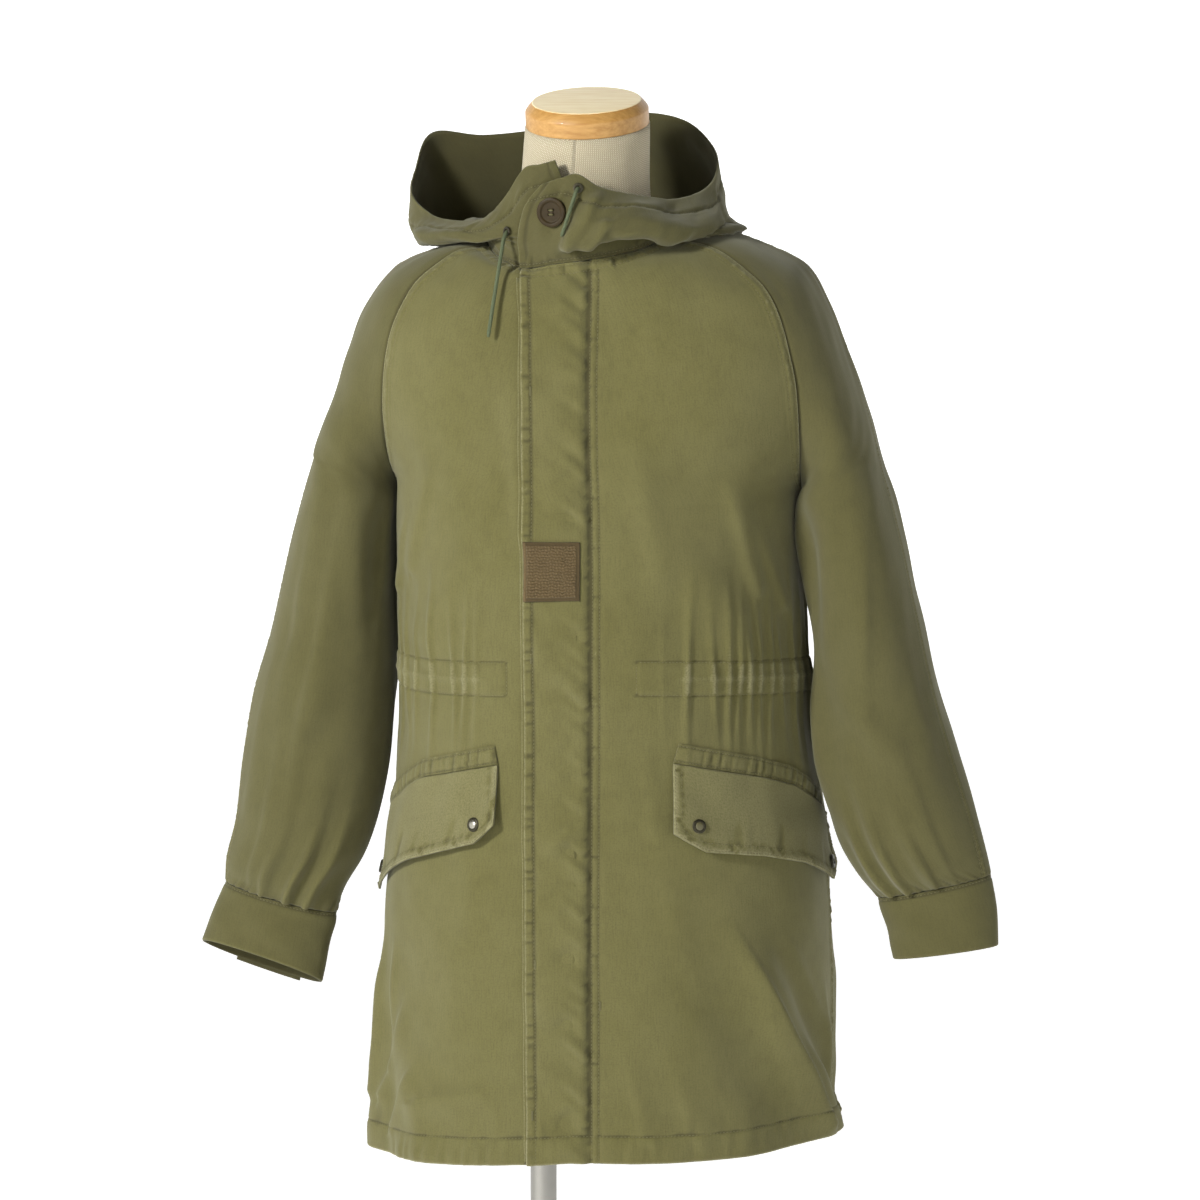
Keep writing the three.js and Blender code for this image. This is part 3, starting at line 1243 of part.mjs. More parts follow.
function torsoGeometry() {
  const around = 22;
  const power = 2.3;
  const positions = [];
  const triangles = [];
  const rings = [];
  for (let step = 0; step <= (TORSO_ROWS.length - 1) * 2; step += 1) {
    const row = rowAt(TORSO_ROWS, step / 2);
    const ring = [];
    const tilted = smoothStep(TILT_START, TORSO_ROWS.at(-1).height, row.height);
    const raised = SHOULDER_RISE * smoothStep(1250, 1332, row.height) * smoothStep(1404, 1363, row.height);
    for (let i = 0; i < around; i += 1) {
      const angle = (i / around) * Math.PI * 2;
      const c = Math.cos(angle);
      const s = Math.sin(angle);
      const round = smoothStep(1360, 1395, row.height);
      const bend = THREE.MathUtils.lerp(2 / power, 1, round);
      const x = row.x + row.half * Math.sign(c) * Math.abs(c) ** bend;
      const y = row.y + row.depth * Math.sign(s) * Math.abs(s) ** bend;
      const height = row.height + raised + (y - row.y) * Math.tan(radians(CAP_TILT)) * tilted;
      positions.push(new THREE.Vector3(x, y, height));
      ring.push({ i: positions.length - 1, u: i / around });
    }
    ring.push({ i: ring[0].i, u: 1 });
    rings.push(ring);
  }
  for (let r = 0; r < rings.length - 1; r += 1) stitch(rings[r], rings[r + 1], triangles);
  const cap = (ring, row, top) => {
    positions.push(new THREE.Vector3(row.x, row.y, row.height));
    const middle = positions.length - 1;
    for (let i = 0; i < around; i += 1) {
      const edge = [ring[i].i, ring[i + 1].i];
      triangles.push(top ? [edge[0], edge[1], middle] : [edge[1], edge[0], middle]);
    }
  };
  cap(rings[0], TORSO_ROWS[0], false);
  cap(rings.at(-1), TORSO_ROWS.at(-1), true);
  return closedGeometry(positions, triangles);
}

function capGeometry() {
  const full = 56.5;
  const top = 49.5;
  return turned([[0, 0], [full, 0], [full, 14], [full - 2, 17], [top, 22.5], [0, 22.5]], 34);
}

// The scene graph

function material(colour, roughness = 0.9, metalness = 0) {
  return new THREE.MeshStandardMaterial({ color: colour, roughness, metalness });
}

const part = new THREE.Group();
const dressed = new THREE.Group();
dressed.position.x = BODY_AXIS_X;
part.add(dressed);

function addPiece(name, geometry, finish, parent = dressed) {
  const mesh = new THREE.Mesh(geometry, finish);
  mesh.name = name;
  parent.add(mesh);
  return mesh;
}

const cloth = material(COLOUR.cloth);
const clothShade = material(COLOUR.clothShade);

const back = backPanel();
addPiece('front_left', wall(leftFront.base, { outer: leftFront.outer }), cloth);
const rightBase = rightFront.base.map(reversedLine);
const rightOuter = rightFront.outer.map(reversedLine);
addPiece('front_right', wall(rightBase, { outer: rightOuter }), cloth);
addPiece('back', wall(back.base, { outer: back.outer }), cloth);
addPiece('under_fly', wall(underFlyRows(), { thickness: 1.2 }), clothShade);

function reversedLine(line) {
  return line.map(({ u, p }) => ({ u: 1 - u, p })).reverse();
}

const ARMS = [
  {
    name: 'left',
    side: 1,
    table: LEFT_SLEEVE,
    shoulder: LEFT_SHOULDER,
    folds: LEFT_SLEEVE_FOLDS,
    cuff: LEFT_CUFF,
  },
  {
    name: 'right',
    side: -1,
    table: RIGHT_SLEEVE,
    shoulder: RIGHT_SHOULDER,
    folds: RIGHT_SLEEVE_FOLDS,
    cuff: RIGHT_CUFF,
  },
];
for (const arm of ARMS) {
  const front = sleeveHalf(arm.table, arm.shoulder, arm.folds, arm.side, -1);
  const rear = sleeveHalf(arm.table, arm.shoulder, arm.folds, arm.side, 1);
  addPiece(`sleeve_front_${arm.name}`, wall(front.base, { outer: front.outer }), cloth);
  addPiece(`sleeve_back_${arm.name}`, wall(rear.base, { outer: rear.outer }), cloth);
  const cuff = cuffRows(arm.cuff, arm.side);
  addPiece(`cuff_${arm.name}`, wall(cuff, { thickness: CUFF_CLOTH, closed: true }), cloth);
  addPiece(`cuff_end_${arm.name}`, wall(cuffTabRows(arm.cuff, arm.side)), clothShade);
}

addPiece('hood_left', wall(leftHood, { thickness: HOOD_CLOTH }), cloth);
addPiece('hood_right', wall(rightHood, { thickness: HOOD_CLOTH }), cloth);

const POCKETS = [
  {
    name: 'left',
    side: 1,
    table: LEFT_FLAP,
    innerX: LEFT_FLAP_INNER_X,
    caps: [{ reach: 0.1, height: 0.27, hollow: false }, { reach: 0.93, height: 0.24, hollow: true }],
  },
  {
    name: 'right',
    side: -1,
    table: RIGHT_FLAP,
    innerX: RIGHT_FLAP_INNER_X,
    caps: [{ reach: 0.09, height: 0.25, hollow: false }, { reach: 0.92, height: 0.26, hollow: true }],
  },
];
for (const pocket of POCKETS) {
  const rows = flapRows(pocket.table, pocket.side, pocket.innerX);
  const band = bandRows(pocket.table, pocket.side, pocket.innerX);
  addPiece(`pocket_band_${pocket.name}`, wall(band), clothShade);
  addPiece(`pocket_flap_${pocket.name}`, wall(rows, { thickness: FLAP_CLOTH }), cloth);
  pocket.caps.forEach(({ reach, height, hollow }) => {
    const u = pocket.side > 0 ? reach : 1 - reach;
    const seat = gridPoint(rows, u, height);
    const normal = gridNormal(rows, u, height);
    const snap = addPiece(
      `snap_${pocket.name}_${hollow ? 'side' : 'front'}`,
      snapGeometry(hollow),
      hollow ? material(COLOUR.darkRing, 0.4, 0.6) : material(COLOUR.steel, 0.35, 0.8),
    );
    snap.position.copy(seat.addScaledVector(normal, 0.45));
    snap.quaternion.setFromUnitVectors(new THREE.Vector3(0, 0, 1), normal);
  });
}

addPiece('loop_patch', wall(patchRows()), material(COLOUR.patch));

const buttonPlace = frontPlace(leftHood, -28, 1397);
const buttonNormal = gridNormal(leftHood, buttonPlace.u, buttonPlace.v);
const button = addPiece('throat_button', buttonGeometry(), material(COLOUR.button, 0.4));
button.position.copy(gridPoint(leftHood, buttonPlace.u, buttonPlace.v).addScaledVector(buttonNormal, 1.2));
button.quaternion.setFromUnitVectors(new THREE.Vector3(0, 0, 1), buttonNormal);

addPiece('drawcord_right', cordGeometry(RIGHT_CORD_POINTS), material(COLOUR.cord));
addPiece('drawcord_left', cordGeometry(LEFT_CORD_POINTS), material(COLOUR.cord));

addPiece('form_torso', torsoGeometry(), material(COLOUR.linen));
const cap = addPiece('form_cap', capGeometry(), material(COLOUR.wood, 0.45));
cap.position.set(TORSO_ROWS.at(-1).x, NECK_CENTRE.y, TORSO_ROWS.at(-1).height + SEAM_GAP);
cap.rotation.x = radians(CAP_TILT);

const poleTop = TORSO_ROWS[0].height - SEAM_GAP;
const poleBottom = BASE_THICKNESS + SEAM_GAP;
const pole = addPiece(
  'form_pole',
  new THREE.CylinderGeometry(POLE_DIAMETER / 2, POLE_DIAMETER / 2, poleTop - poleBottom, 28),
  material(COLOUR.chrome, 0.15, 1),
  part,
);
pole.rotation.x = Math.PI / 2;
pole.position.z = (poleTop + poleBottom) / 2;

const base = turned([
  [0, 0], [BASE_DIAMETER / 2 - 1, 0], [BASE_DIAMETER / 2, 1], [BASE_DIAMETER / 2, BASE_THICKNESS - 1.5],
  [BASE_DIAMETER / 2 - 1.5, BASE_THICKNESS], [0, BASE_THICKNESS],
], 40);
addPiece('form_base', base, material(COLOUR.base, 0.4, 0.2), part);

export default part;
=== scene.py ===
"""A hooded field jacket of olive cotton, buttoned at the throat, on a limbless dress form.

Left and right are the wearer's: left is +X, and the front faces -Y. Sizes in the tables are
millimetres from the jacket's own middle line, which stands 57 mm to the side of the pole.
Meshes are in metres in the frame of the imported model.
"""

import logging
import math
from dataclasses import dataclass, field
from enum import Enum
from typing import Callable

import bpy
import numpy as np
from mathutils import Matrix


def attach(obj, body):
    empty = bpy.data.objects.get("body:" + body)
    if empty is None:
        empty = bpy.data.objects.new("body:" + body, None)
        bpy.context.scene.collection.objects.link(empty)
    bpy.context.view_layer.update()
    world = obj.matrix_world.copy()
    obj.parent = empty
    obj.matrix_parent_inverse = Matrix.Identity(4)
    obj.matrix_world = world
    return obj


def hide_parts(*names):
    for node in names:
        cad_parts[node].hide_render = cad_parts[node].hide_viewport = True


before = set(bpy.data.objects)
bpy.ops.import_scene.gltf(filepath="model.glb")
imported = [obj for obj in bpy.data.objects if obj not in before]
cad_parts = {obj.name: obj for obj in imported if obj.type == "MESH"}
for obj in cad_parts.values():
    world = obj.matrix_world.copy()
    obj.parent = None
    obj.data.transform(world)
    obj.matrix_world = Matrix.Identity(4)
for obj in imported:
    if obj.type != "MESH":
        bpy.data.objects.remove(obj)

Array = np.ndarray
log = logging.getLogger("field_jacket")

MM = 0.001
BODY_AXIS_X = 57.0
ARMPIT_HEIGHT = 1140.0
ARMPIT_SHIFT = -3.5
HEM_HEIGHT = 538.0
NECK_CENTRE = np.array([-13.0, -22.0])
# How far over the neck seam the hood is sewn.
HOOD_SEAM_STITCH = 3.0
# Where the waist channel stops beside the fly, in degrees from the front.
CHANNEL_ENDS = (21.7, -25.2)


class Table:
    """Rows of sizes with named columns, read between rows on a smooth curve."""

    def __init__(self, columns: str, *rows: tuple) -> None:
        """Keep the rows under their columns' names."""
        self.names, self.rows = columns.split(), np.array(rows, float)

    def at(self, place: Array) -> dict[str, Array]:
        """Read all columns at fractional row numbers.

        Between two rows the value is the cubic that leaves each row at half the step from the
        row before it to the row after it.

        Args:
            place: row numbers, of any shape.
        Returns:
            One array of that shape for each column.
        """
        last = len(self.rows) - 1
        place = np.asarray(place, float)
        start = np.clip(np.floor(place), 0, last - 1).astype(int)
        t = (place - start)[..., None]
        here, after = self.rows[start], self.rows[start + 1]
        before = self.rows[np.maximum(start - 1, 0)]
        beyond = self.rows[np.minimum(start + 2, last)]
        leave = (after - before) / np.where(start == 0, 1, 2)[..., None]
        arrive = (beyond - here) / np.where(start + 1 == last, 1, 2)[..., None]
        read = cubic(here, leave, after, arrive, t)
        return {name: read[..., k] for k, name in enumerate(self.names)}

    def by(self, column: str, value: Array) -> dict[str, Array]:
        """Read all columns where one of them has the given values.

        Args:
            column: the column that rises from row to row.
            value: its values, of any shape.
        Returns:
            One array of that shape for each column.
        """
        last = len(self.rows) - 1
        marks = self.rows[:, self.names.index(column)]
        value = np.asarray(value, float)
        start = np.clip(np.searchsorted(marks, value, side="right") - 1, 0, last - 1)
        share = (value - marks[start]) / (marks[start + 1] - marks[start])
        return self.at(start + np.clip(share, 0, 1))


def cubic(here: Array, leave: Array, after: Array, arrive: Array, t: Array) -> Array:
    """Give the cubic from here to after with those slopes at its two ends, at shares t."""
    square, cube = t * t, t * t * t
    return (
        here * (2 * cube - 3 * square + 1)
        + leave * (cube - 2 * square + t)
        + after * (3 * square - 2 * cube)
        + arrive * (cube - square)
    )


def smooth_step(zero_at: float, one_at: float, value: Array) -> Array:
    """Rise from 0 at one value to 1 at the other as 3 t squared minus 2 t cubed."""
    t = np.clip((np.asarray(value, float) - zero_at) / (one_at - zero_at), 0, 1)
    return t * t * (3 - 2 * t)


def bell(away: Array, width: float) -> Array:
    """Give the bell curve exp(-(away / width) squared)."""
    return np.exp(-((away / width) ** 2))


def vectors(x: Array, y: Array, z: Array) -> Array:
    """Join three coordinates, broadcast to one shape, into points."""
    return np.stack(np.broadcast_arrays(x, y, z), axis=-1).astype(float)


def unit(v: Array) -> Array:
    """Scale vectors to length 1."""
    return v / np.maximum(np.linalg.norm(v, axis=-1, keepdims=True), 1e-9)


def mix(a: Array, b: Array, share: Array) -> Array:
    """Go in a straight line from a to b."""
    return a + (b - a) * share


def bezier(a: Array, b: Array, c: Array, d: Array, t: Array) -> Array:
    """Give the cubic Bezier curve of four points at shares t, all broadcast together."""
    t = np.asarray(t, float)[..., None]
    s = 1 - t
    return s * s * s * a + 3 * s * s * t * b + 3 * s * t * t * c + t * t * t * d


def ripple(place: Array, length: float, seed: float) -> Array:
    """Give an uneven wave between about -1 and 1.

    It is the sum of four sines whose lengths aren't multiples of each other, the strongest
    of the given length, and its strength swells and fades over about five waves.
    """
    turn = place * (2 * math.pi / length)
    wave = (
        0.5 * np.sin(turn + seed)
        + 0.28 * np.sin(turn * 1.63 + seed * 2.1)
        + 0.22 * np.sin(turn * 0.61 + seed * 3.7)
        + 0.15 * np.sin(turn * 2.37 + seed * 1.3)
    )
    return wave * (0.75 + 0.35 * np.sin(turn * 0.19 + seed * 5.1))


def undulation(x: Array, y: Array, length: float, seed: float) -> Array:
    """Give an uneven surface of soft hollows between about -1 and 1.

    It is the sum of seven sines across the surface, turned by the golden angle from one to
    the next, whose lengths go from 0.7 to 1.6 of the given one.
    """
    total = np.zeros(np.broadcast(x, y).shape)
    for k in range(7):
        turn = 2.39996 * k + seed
        wave = 2 * math.pi / (length * (0.7 + 0.15 * k))
        across = x * math.cos(turn) + y * math.sin(turn)
        total += np.sin(across * wave + seed * (k + 1.7)) / 2.6
    return total


def axis(start: float, stop: float, step: float, lines: tuple = (), reach: float = 2.4) -> Array:
    """Space places evenly, with closer ones beside each line that is sewn there.

    Args:
        start: the first place.
        stop: the last place.
        step: the widest spacing.
        lines: places of sewn lines.
        reach: how far the closer places reach to each side of a line.
    Returns:
        Rising places, an odd number of them.
    """
    even = np.linspace(start, stop, max(2, math.ceil((stop - start) / step) + 1))
    close = [line + d for line in lines for d in (-reach, -reach * 0.42, 0.0, reach * 0.42, reach)]
    close = np.array([c for c in close if start < c < stop])
    if len(close):
        away = np.abs(even[:, None] - close[None, :]).min(1)
        even = even[(away > 0.45 * reach) | (even == start) | (even == stop)]
    places = np.unique(np.round(np.concatenate([even, close]), 4))
    if len(places) % 2 == 0:
        widest = int(np.diff(places).argmax())
        places = np.insert(places, widest + 1, places[widest : widest + 2].mean())
    return places


def lengths_along(points: Array) -> Array:
    """Measure along each row of points from its first one."""
    steps = np.linalg.norm(np.diff(points, axis=-2), axis=-1)
    start = np.zeros(steps.shape[:-1] + (1,))
    return np.concatenate([start, np.cumsum(steps, axis=-1)], axis=-1)


def lengths_up(points: Array) -> Array:
    """Give the lengths along a grid's columns, from its lowest row."""
    return lengths_along(points.transpose(1, 0, 2)).T


def at_length(points: Array, along: Array, wanted: Array) -> Array:
    """Take the points of rows that lie at wanted lengths along them.

    Args:
        points: rows of points, R x K x 3.
        along: their lengths along, R x K.
        wanted: the lengths asked for, R x C.
    Returns:
        The points there on straight lines between neighbours, R x C x 3.
    """
    place = (along[:, None, :] <= wanted[:, :, None]).sum(2) - 1
    place = np.clip(place, 0, along.shape[1] - 2)
    rows = np.arange(len(points))[:, None]
    low, high = along[rows, place], along[rows, place + 1]
    share = np.clip((wanted - low) / np.maximum(high - low, 1e-9), 0, 1)[..., None]
    return mix(points[rows, place], points[rows, place + 1], share)


def length_at_x(points: Array, along: Array, x: Array) -> Array:
    """Find how far along each row it reaches a given x, where x rises along the row."""
    place = np.clip((points[..., 0] < x[:, None]).sum(1), 1, points.shape[1] - 1)
    rows = np.arange(len(points))
    x0, x1 = points[rows, place - 1, 0], points[rows, place, 0]
    share = np.clip((x - x0) / (x1 - x0), 0, 1)
    return mix(along[rows, place - 1], along[rows, place], share)


def normals_of(grid: Array, closed: bool = False) -> Array:
    """Give the outward normals of a grid whose rows run to the right and stack upwards."""
    if closed:
        wide = np.concatenate([grid[:, -1:], grid, grid[:, :1]], axis=1)
        along = wide[:, 2:] - wide[:, :-2]
    else:
        along = np.gradient(grid, axis=1)
    rise = np.gradient(grid, axis=0)
    return unit(np.cross(along, rise))


def soften_rows(grid: Array, weight: Array, times: int) -> Array:
    """Even out a grid from row to row: each pass moves a point by its row's weight towards
    the middle of the points above and below it."""
    for _ in range(times):
        middle = (grid[:-2] + grid[2:]) / 2
        grid = grid.copy()
        grid[1:-1] += (middle - grid[1:-1]) * weight[1:-1, None, None]
    return grid


SLEEVE_HOOD_DARKENING = 0.52  # how much darker the sleeves, cuffs and hood are drawn than the fronts
INSIDE_PAINTED_SHADE = -1.0  # how dark every wall's inside is drawn: painted shade


class Wall:
    """A cloth wall: a fine outside, a plain inside with half as many lines, and its rim."""

    def __init__(
        self,
        form: Array,
        broad: Array | float = 0.0,
        fine: Array | float = 0.0,
        thickness: float = 1.6,
        closed: bool = False,
        wear_and_shade: Array | float = 0.0,
    ) -> None:
        """Work out the wall's points.

        The outside is the form moved along its normals by the broad and the fine relief, and
        the inside is the form moved by the broad relief alone, less the thickness.

        Args:
            form: R x C x 3 points, both counts odd (C even where the rows close).
            broad: how far large folds stand out, R x C.
            fine: how far seams and puckers stand out, R x C.
            thickness: the cloth's thickness.
            closed: whether each row goes right round.
            wear_and_shade: from -1, drawn darkest, to 1, rubbed pale, R x C; dents lower it, a
                painted shade in them.
        """
        self.closed = closed
        shape = form.shape[:2]
        normals = normals_of(form, closed)
        smooth = form + normals * np.broadcast_to(broad, shape)[..., None]
        self.outside = smooth + normals * np.broadcast_to(fine, shape)[..., None]
        self.normals = normals_of(self.outside, closed)
        inner_normals = normals_of(smooth, closed)
        self.inside = (smooth - inner_normals * thickness)[::2, ::2]
        # Dents of the fine relief are drawn darker: painted shade in the grooves.
        dent = smooth_step(-0.12, -0.9, np.broadcast_to(fine, shape))
        self.wear_and_shade = np.broadcast_to(wear_and_shade, shape) - 0.9 * dent
        across = lengths_along(form)
        self.grain = (across - across[:, shape[1] // 2][:, None], lengths_up(form))

    def faces(self) -> tuple[Array, Array]:
        """List the outside's four-cornered faces and all three-cornered ones."""
        rows, count = self.outside.shape[:2]
        inner_rows, inner_count = self.inside.shape[:2]
        outer = np.arange(rows * count).reshape(rows, count)
        inner = rows * count + np.arange(inner_rows * inner_count).reshape(inner_rows, inner_count)
        if self.closed:
            outer = np.concatenate([outer, outer[:, :1]], axis=1)
            inner = np.concatenate([inner, inner[:, :1]], axis=1)
        quads = [
            corners(outer[:-1, :-1], outer[:-1, 1:], outer[1:, 1:], outer[1:, :-1]),
            corners(inner[:-1, :-1], inner[1:, :-1], inner[1:, 1:], inner[:-1, 1:]),
        ]
        rims = [(outer[0], inner[0]), (outer[-1][::-1], inner[-1][::-1])]
        if not self.closed:
            rims += [(outer[::-1, 0], inner[::-1, 0]), (outer[:, -1], inner[:, -1])]
        triangles = []
        for edge, back in rims:
            a, m, b = edge[:-2:2], edge[1::2], edge[2::2]
            p, q = back[:-1], back[1:]
            triangles += [corners(a, p, m), corners(m, p, q), corners(m, q, b)]
        return np.concatenate(quads), np.concatenate(triangles)

    def points(self) -> Array:
        """List all points, the outside's first."""
        return np.concatenate([self.outside.reshape(-1, 3), self.inside.reshape(-1, 3)])

    def values(self, grid: Array, inside: Array | None = None) -> Array:
        """List a value of the grid for all points in the order of points()."""
        within = grid[::2, ::2] if inside is None else inside
        return np.concatenate([grid.reshape(-1), within.reshape(-1)])

    def build(self, name: str, material: bpy.types.Material) -> bpy.types.Object:
        """Make the wall's object: its grain as UV in metres, and rubbing and painted shade as an
        attribute.
        """
        quads, triangles = self.faces()
        place = np.stack([self.values(self.grain[0]), self.values(self.grain[1])], axis=-1) * MM
        return make_piece(
            name,
            self.points(),
            [quads, triangles],
            material,
            uv=place,
            values={"wear_and_shade": self.values(self.wear_and_shade, np.full(self.inside.shape[:2], INSIDE_PAINTED_SHADE))},
        )


def corners(*columns: Array) -> Array:
    """List faces from arrays of their corners' numbers."""
    return np.stack([column.reshape(-1) for column in columns], axis=-1)


def make_piece(
    name: str,
    points: Array,
    faces: list[Array],
    material: bpy.types.Material,
    uv: Array | None = None,
    values: dict[str, Array] | None = None,
    axis_x: float = BODY_AXIS_X,
) -> bpy.types.Object:
    """Put points and faces into a mesh, and the mesh into the scene on the root body.

    Args:
        name: the piece's name.
        points: N x 3 points in millimetres from the jacket's middle line.
        faces: arrays of faces, each array with one number of corners.
        material: the piece's finish.
        uv: N x 2 places on the cloth in metres.
        values: further numbers for each point.
        axis_x: how far the middle line stands from the pole.
    Returns:
        The piece's object.
    """
    mesh = bpy.data.meshes.new(name)
    place = (points + np.array([axis_x, 0, 0])) * MM
    loops = np.concatenate([f.reshape(-1) for f in faces]).astype(np.int32)
    sizes = np.concatenate([np.full(len(f), f.shape[1]) for f in faces]).astype(np.int32)
    starts = np.concatenate([[0], np.cumsum(sizes)[:-1]]).astype(np.int32)
    mesh.vertices.add(len(place))
    mesh.vertices.foreach_set("co", place.astype(np.float32).reshape(-1))
    mesh.loops.add(len(loops))
    mesh.loops.foreach_set("vertex_index", loops)
    mesh.polygons.add(len(sizes))
    mesh.polygons.foreach_set("loop_start", starts)
    mesh.update(calc_edges=True)
    mesh.polygons.foreach_set("use_smooth", np.ones(len(sizes), bool))
    if uv is not None:
        layer = mesh.uv_layers.new(name="UVMap")
        layer.data.foreach_set("uv", uv[loops].astype(np.float32).reshape(-1))
    for key, numbers in (values or {}).items():
        layer = mesh.attributes.new(key, "FLOAT", "POINT")
        layer.data.foreach_set("value", numbers.astype(np.float32))
    mesh.materials.append(material)
    mesh.validate()
    piece = bpy.data.objects.new(name, mesh)
    bpy.context.scene.collection.objects.link(piece)
    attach(piece, "root")
    log.info("%s: %d faces", name, len(sizes))
    return piece


# The jacket's body: half width, sideways shift, depth to front and back, and how far the left,
# right and back of a row lie above or below its level at the front.
BODY_ROWS = Table(
    "level half shift front back left_rise right_rise back_rise",
    (538, 221.5, 0.5, 166, 160, 6, -22, -8),
    (566, 219, 0.5, 165.5, 160, 6, -20, -8),
    (620, 214.5, 2.5, 164, 160, 5, -14, -6),
    (700, 212, 2, 162, 159, 3, -7, -3),
    (790, 207.5, 3.5, 157, 156, 0, 0, 0),
    (875, 199, 3, 151, 151, -3, -3, -3),
    (930, 193, 1, 148, 148, -10, -9, -10),
    (981, 190.5, 0, 146, 146, -14, -12, -14),
    (1030, 190, -2, 146, 147, -12, -10, -12),
    (1100, 188, -4.5, 142, 144, -4, -4, -4),
    (1140, 188.5, -3.5, 138, 141, 0, 0, 0),
)
YOKE_COLUMNS = "middle_x middle depth seam_x seam_y seam_z turn"
FRONT_YOKE = Table(
    YOKE_COLUMNS,
    (0, 1140, 138, 188.5, 0, 1140, 90),
    (0, 1162, 137.5, 190, -34, 1157, 66),
    (0, 1186, 136, 192, -58, 1185, 54),
    (0, 1212, 133, 191.5, -74, 1218, 46),
    (0, 1242, 129, 187.5, -82, 1257, 42),
    (0, 1272, 122.5, 178, -84, 1298, 38),
    (0, 1301, 115, 161, -80, 1331, 36),
    (-1, 1328, 106, 130, -69, 1357, 38),
)
BACK_YOKE = Table(
    YOKE_COLUMNS,
    (0, 1140, 141, 188.5, 0, 1140, 90),
    (0, 1168, 141.5, 187, 38, 1160, 66),
    (-1, 1198, 140.5, 184, 62, 1190, 54),
    (-2, 1230, 137, 178, 80, 1228, 46),
    (-4, 1264, 131, 168, 89, 1268, 42),
    (-6, 1298, 121.5, 152, 91, 1304, 38),
    (-8, 1330, 108, 130, 86, 1336, 36),
    (-11, 1361, 90, 102, 72, 1362, 38),
)
NECK_SEAM = Table(
    "angle radius height",
    (-180, 80, 1394),
    (-135, 83, 1390),
    (-93, 88, 1377),
    (-62, 88, 1359),
    (-33, 83, 1346.5),
    (-7, 75.5, 1351),
    (20, 77, 1356),
    (46, 83, 1363),
    (66, 87, 1372),
    (93, 88, 1383),
    (135, 83, 1392),
    (180, 80, 1394),
)
FLY_LINES = Table(
    "height edge stitch",
    (538, -41, 19),
    (958, -47, 16),
    (1078, -48.5, 15.5),
    (1220, -51, 11),
    (1300, -55, 9),
    (1352, -60, 7),
)
FRONT_NECK_ANGLE = 70.0
OVERARM_NECK_ANGLE = 95.0
BACK_NECK_ANGLE = 126.0
FLY_EDGE_ANGLE = -33.0
FLY_STITCH_ANGLE = 14.0
FLY_RIDGE_ANGLE = 6.0
SIDE_SEAM_Y = 14.0
FLY_LIFT = 4.0
FLY_RAMP = 10.0
CHANNEL_BOTTOM = 966.0
CHANNEL_TOP = 996.0


@dataclass(frozen=True)
class Fold:
    """A soft ridge, or a hollow where its lift is negative, from one place to another.

    On the body a place is an angle from the front towards the wearer's left, in degrees, and
    a height. On a sleeve it is an angle round the ring and the height along it in rings.
    """

    start: tuple[float, float]
    end: tuple[float, float]
    width: float
    lift: float
    lean: float = 0.0

    def relief(self, across: Array, up: Array, fade_in: float = 0.5) -> Array:
        """Give how far the cloth stands out at places in millimetres.

        It is a bell curve of the distance to the fold's line, narrower on the side that the
        fold leans to, which fades in from the fold's start.
        """
        dx, dz = self.end[0] - self.start[0], self.end[1] - self.start[1]
        long = dx * dx + dz * dz
        along = ((across - self.start[0]) * dx + (up - self.start[1]) * dz) / long
        held = np.clip(along, 0, 1)
        off_x = across - self.start[0] - held * dx
        off_z = up - self.start[1] - held * dz
        side = np.sign(dx * off_z - dz * off_x)
        wide = self.width * (1 + self.lean * side)
        return self.lift * smooth_step(-0.02, fade_in, along) * bell(np.hypot(off_x, off_z), wide)


MM_PER_DEGREE = 2.9


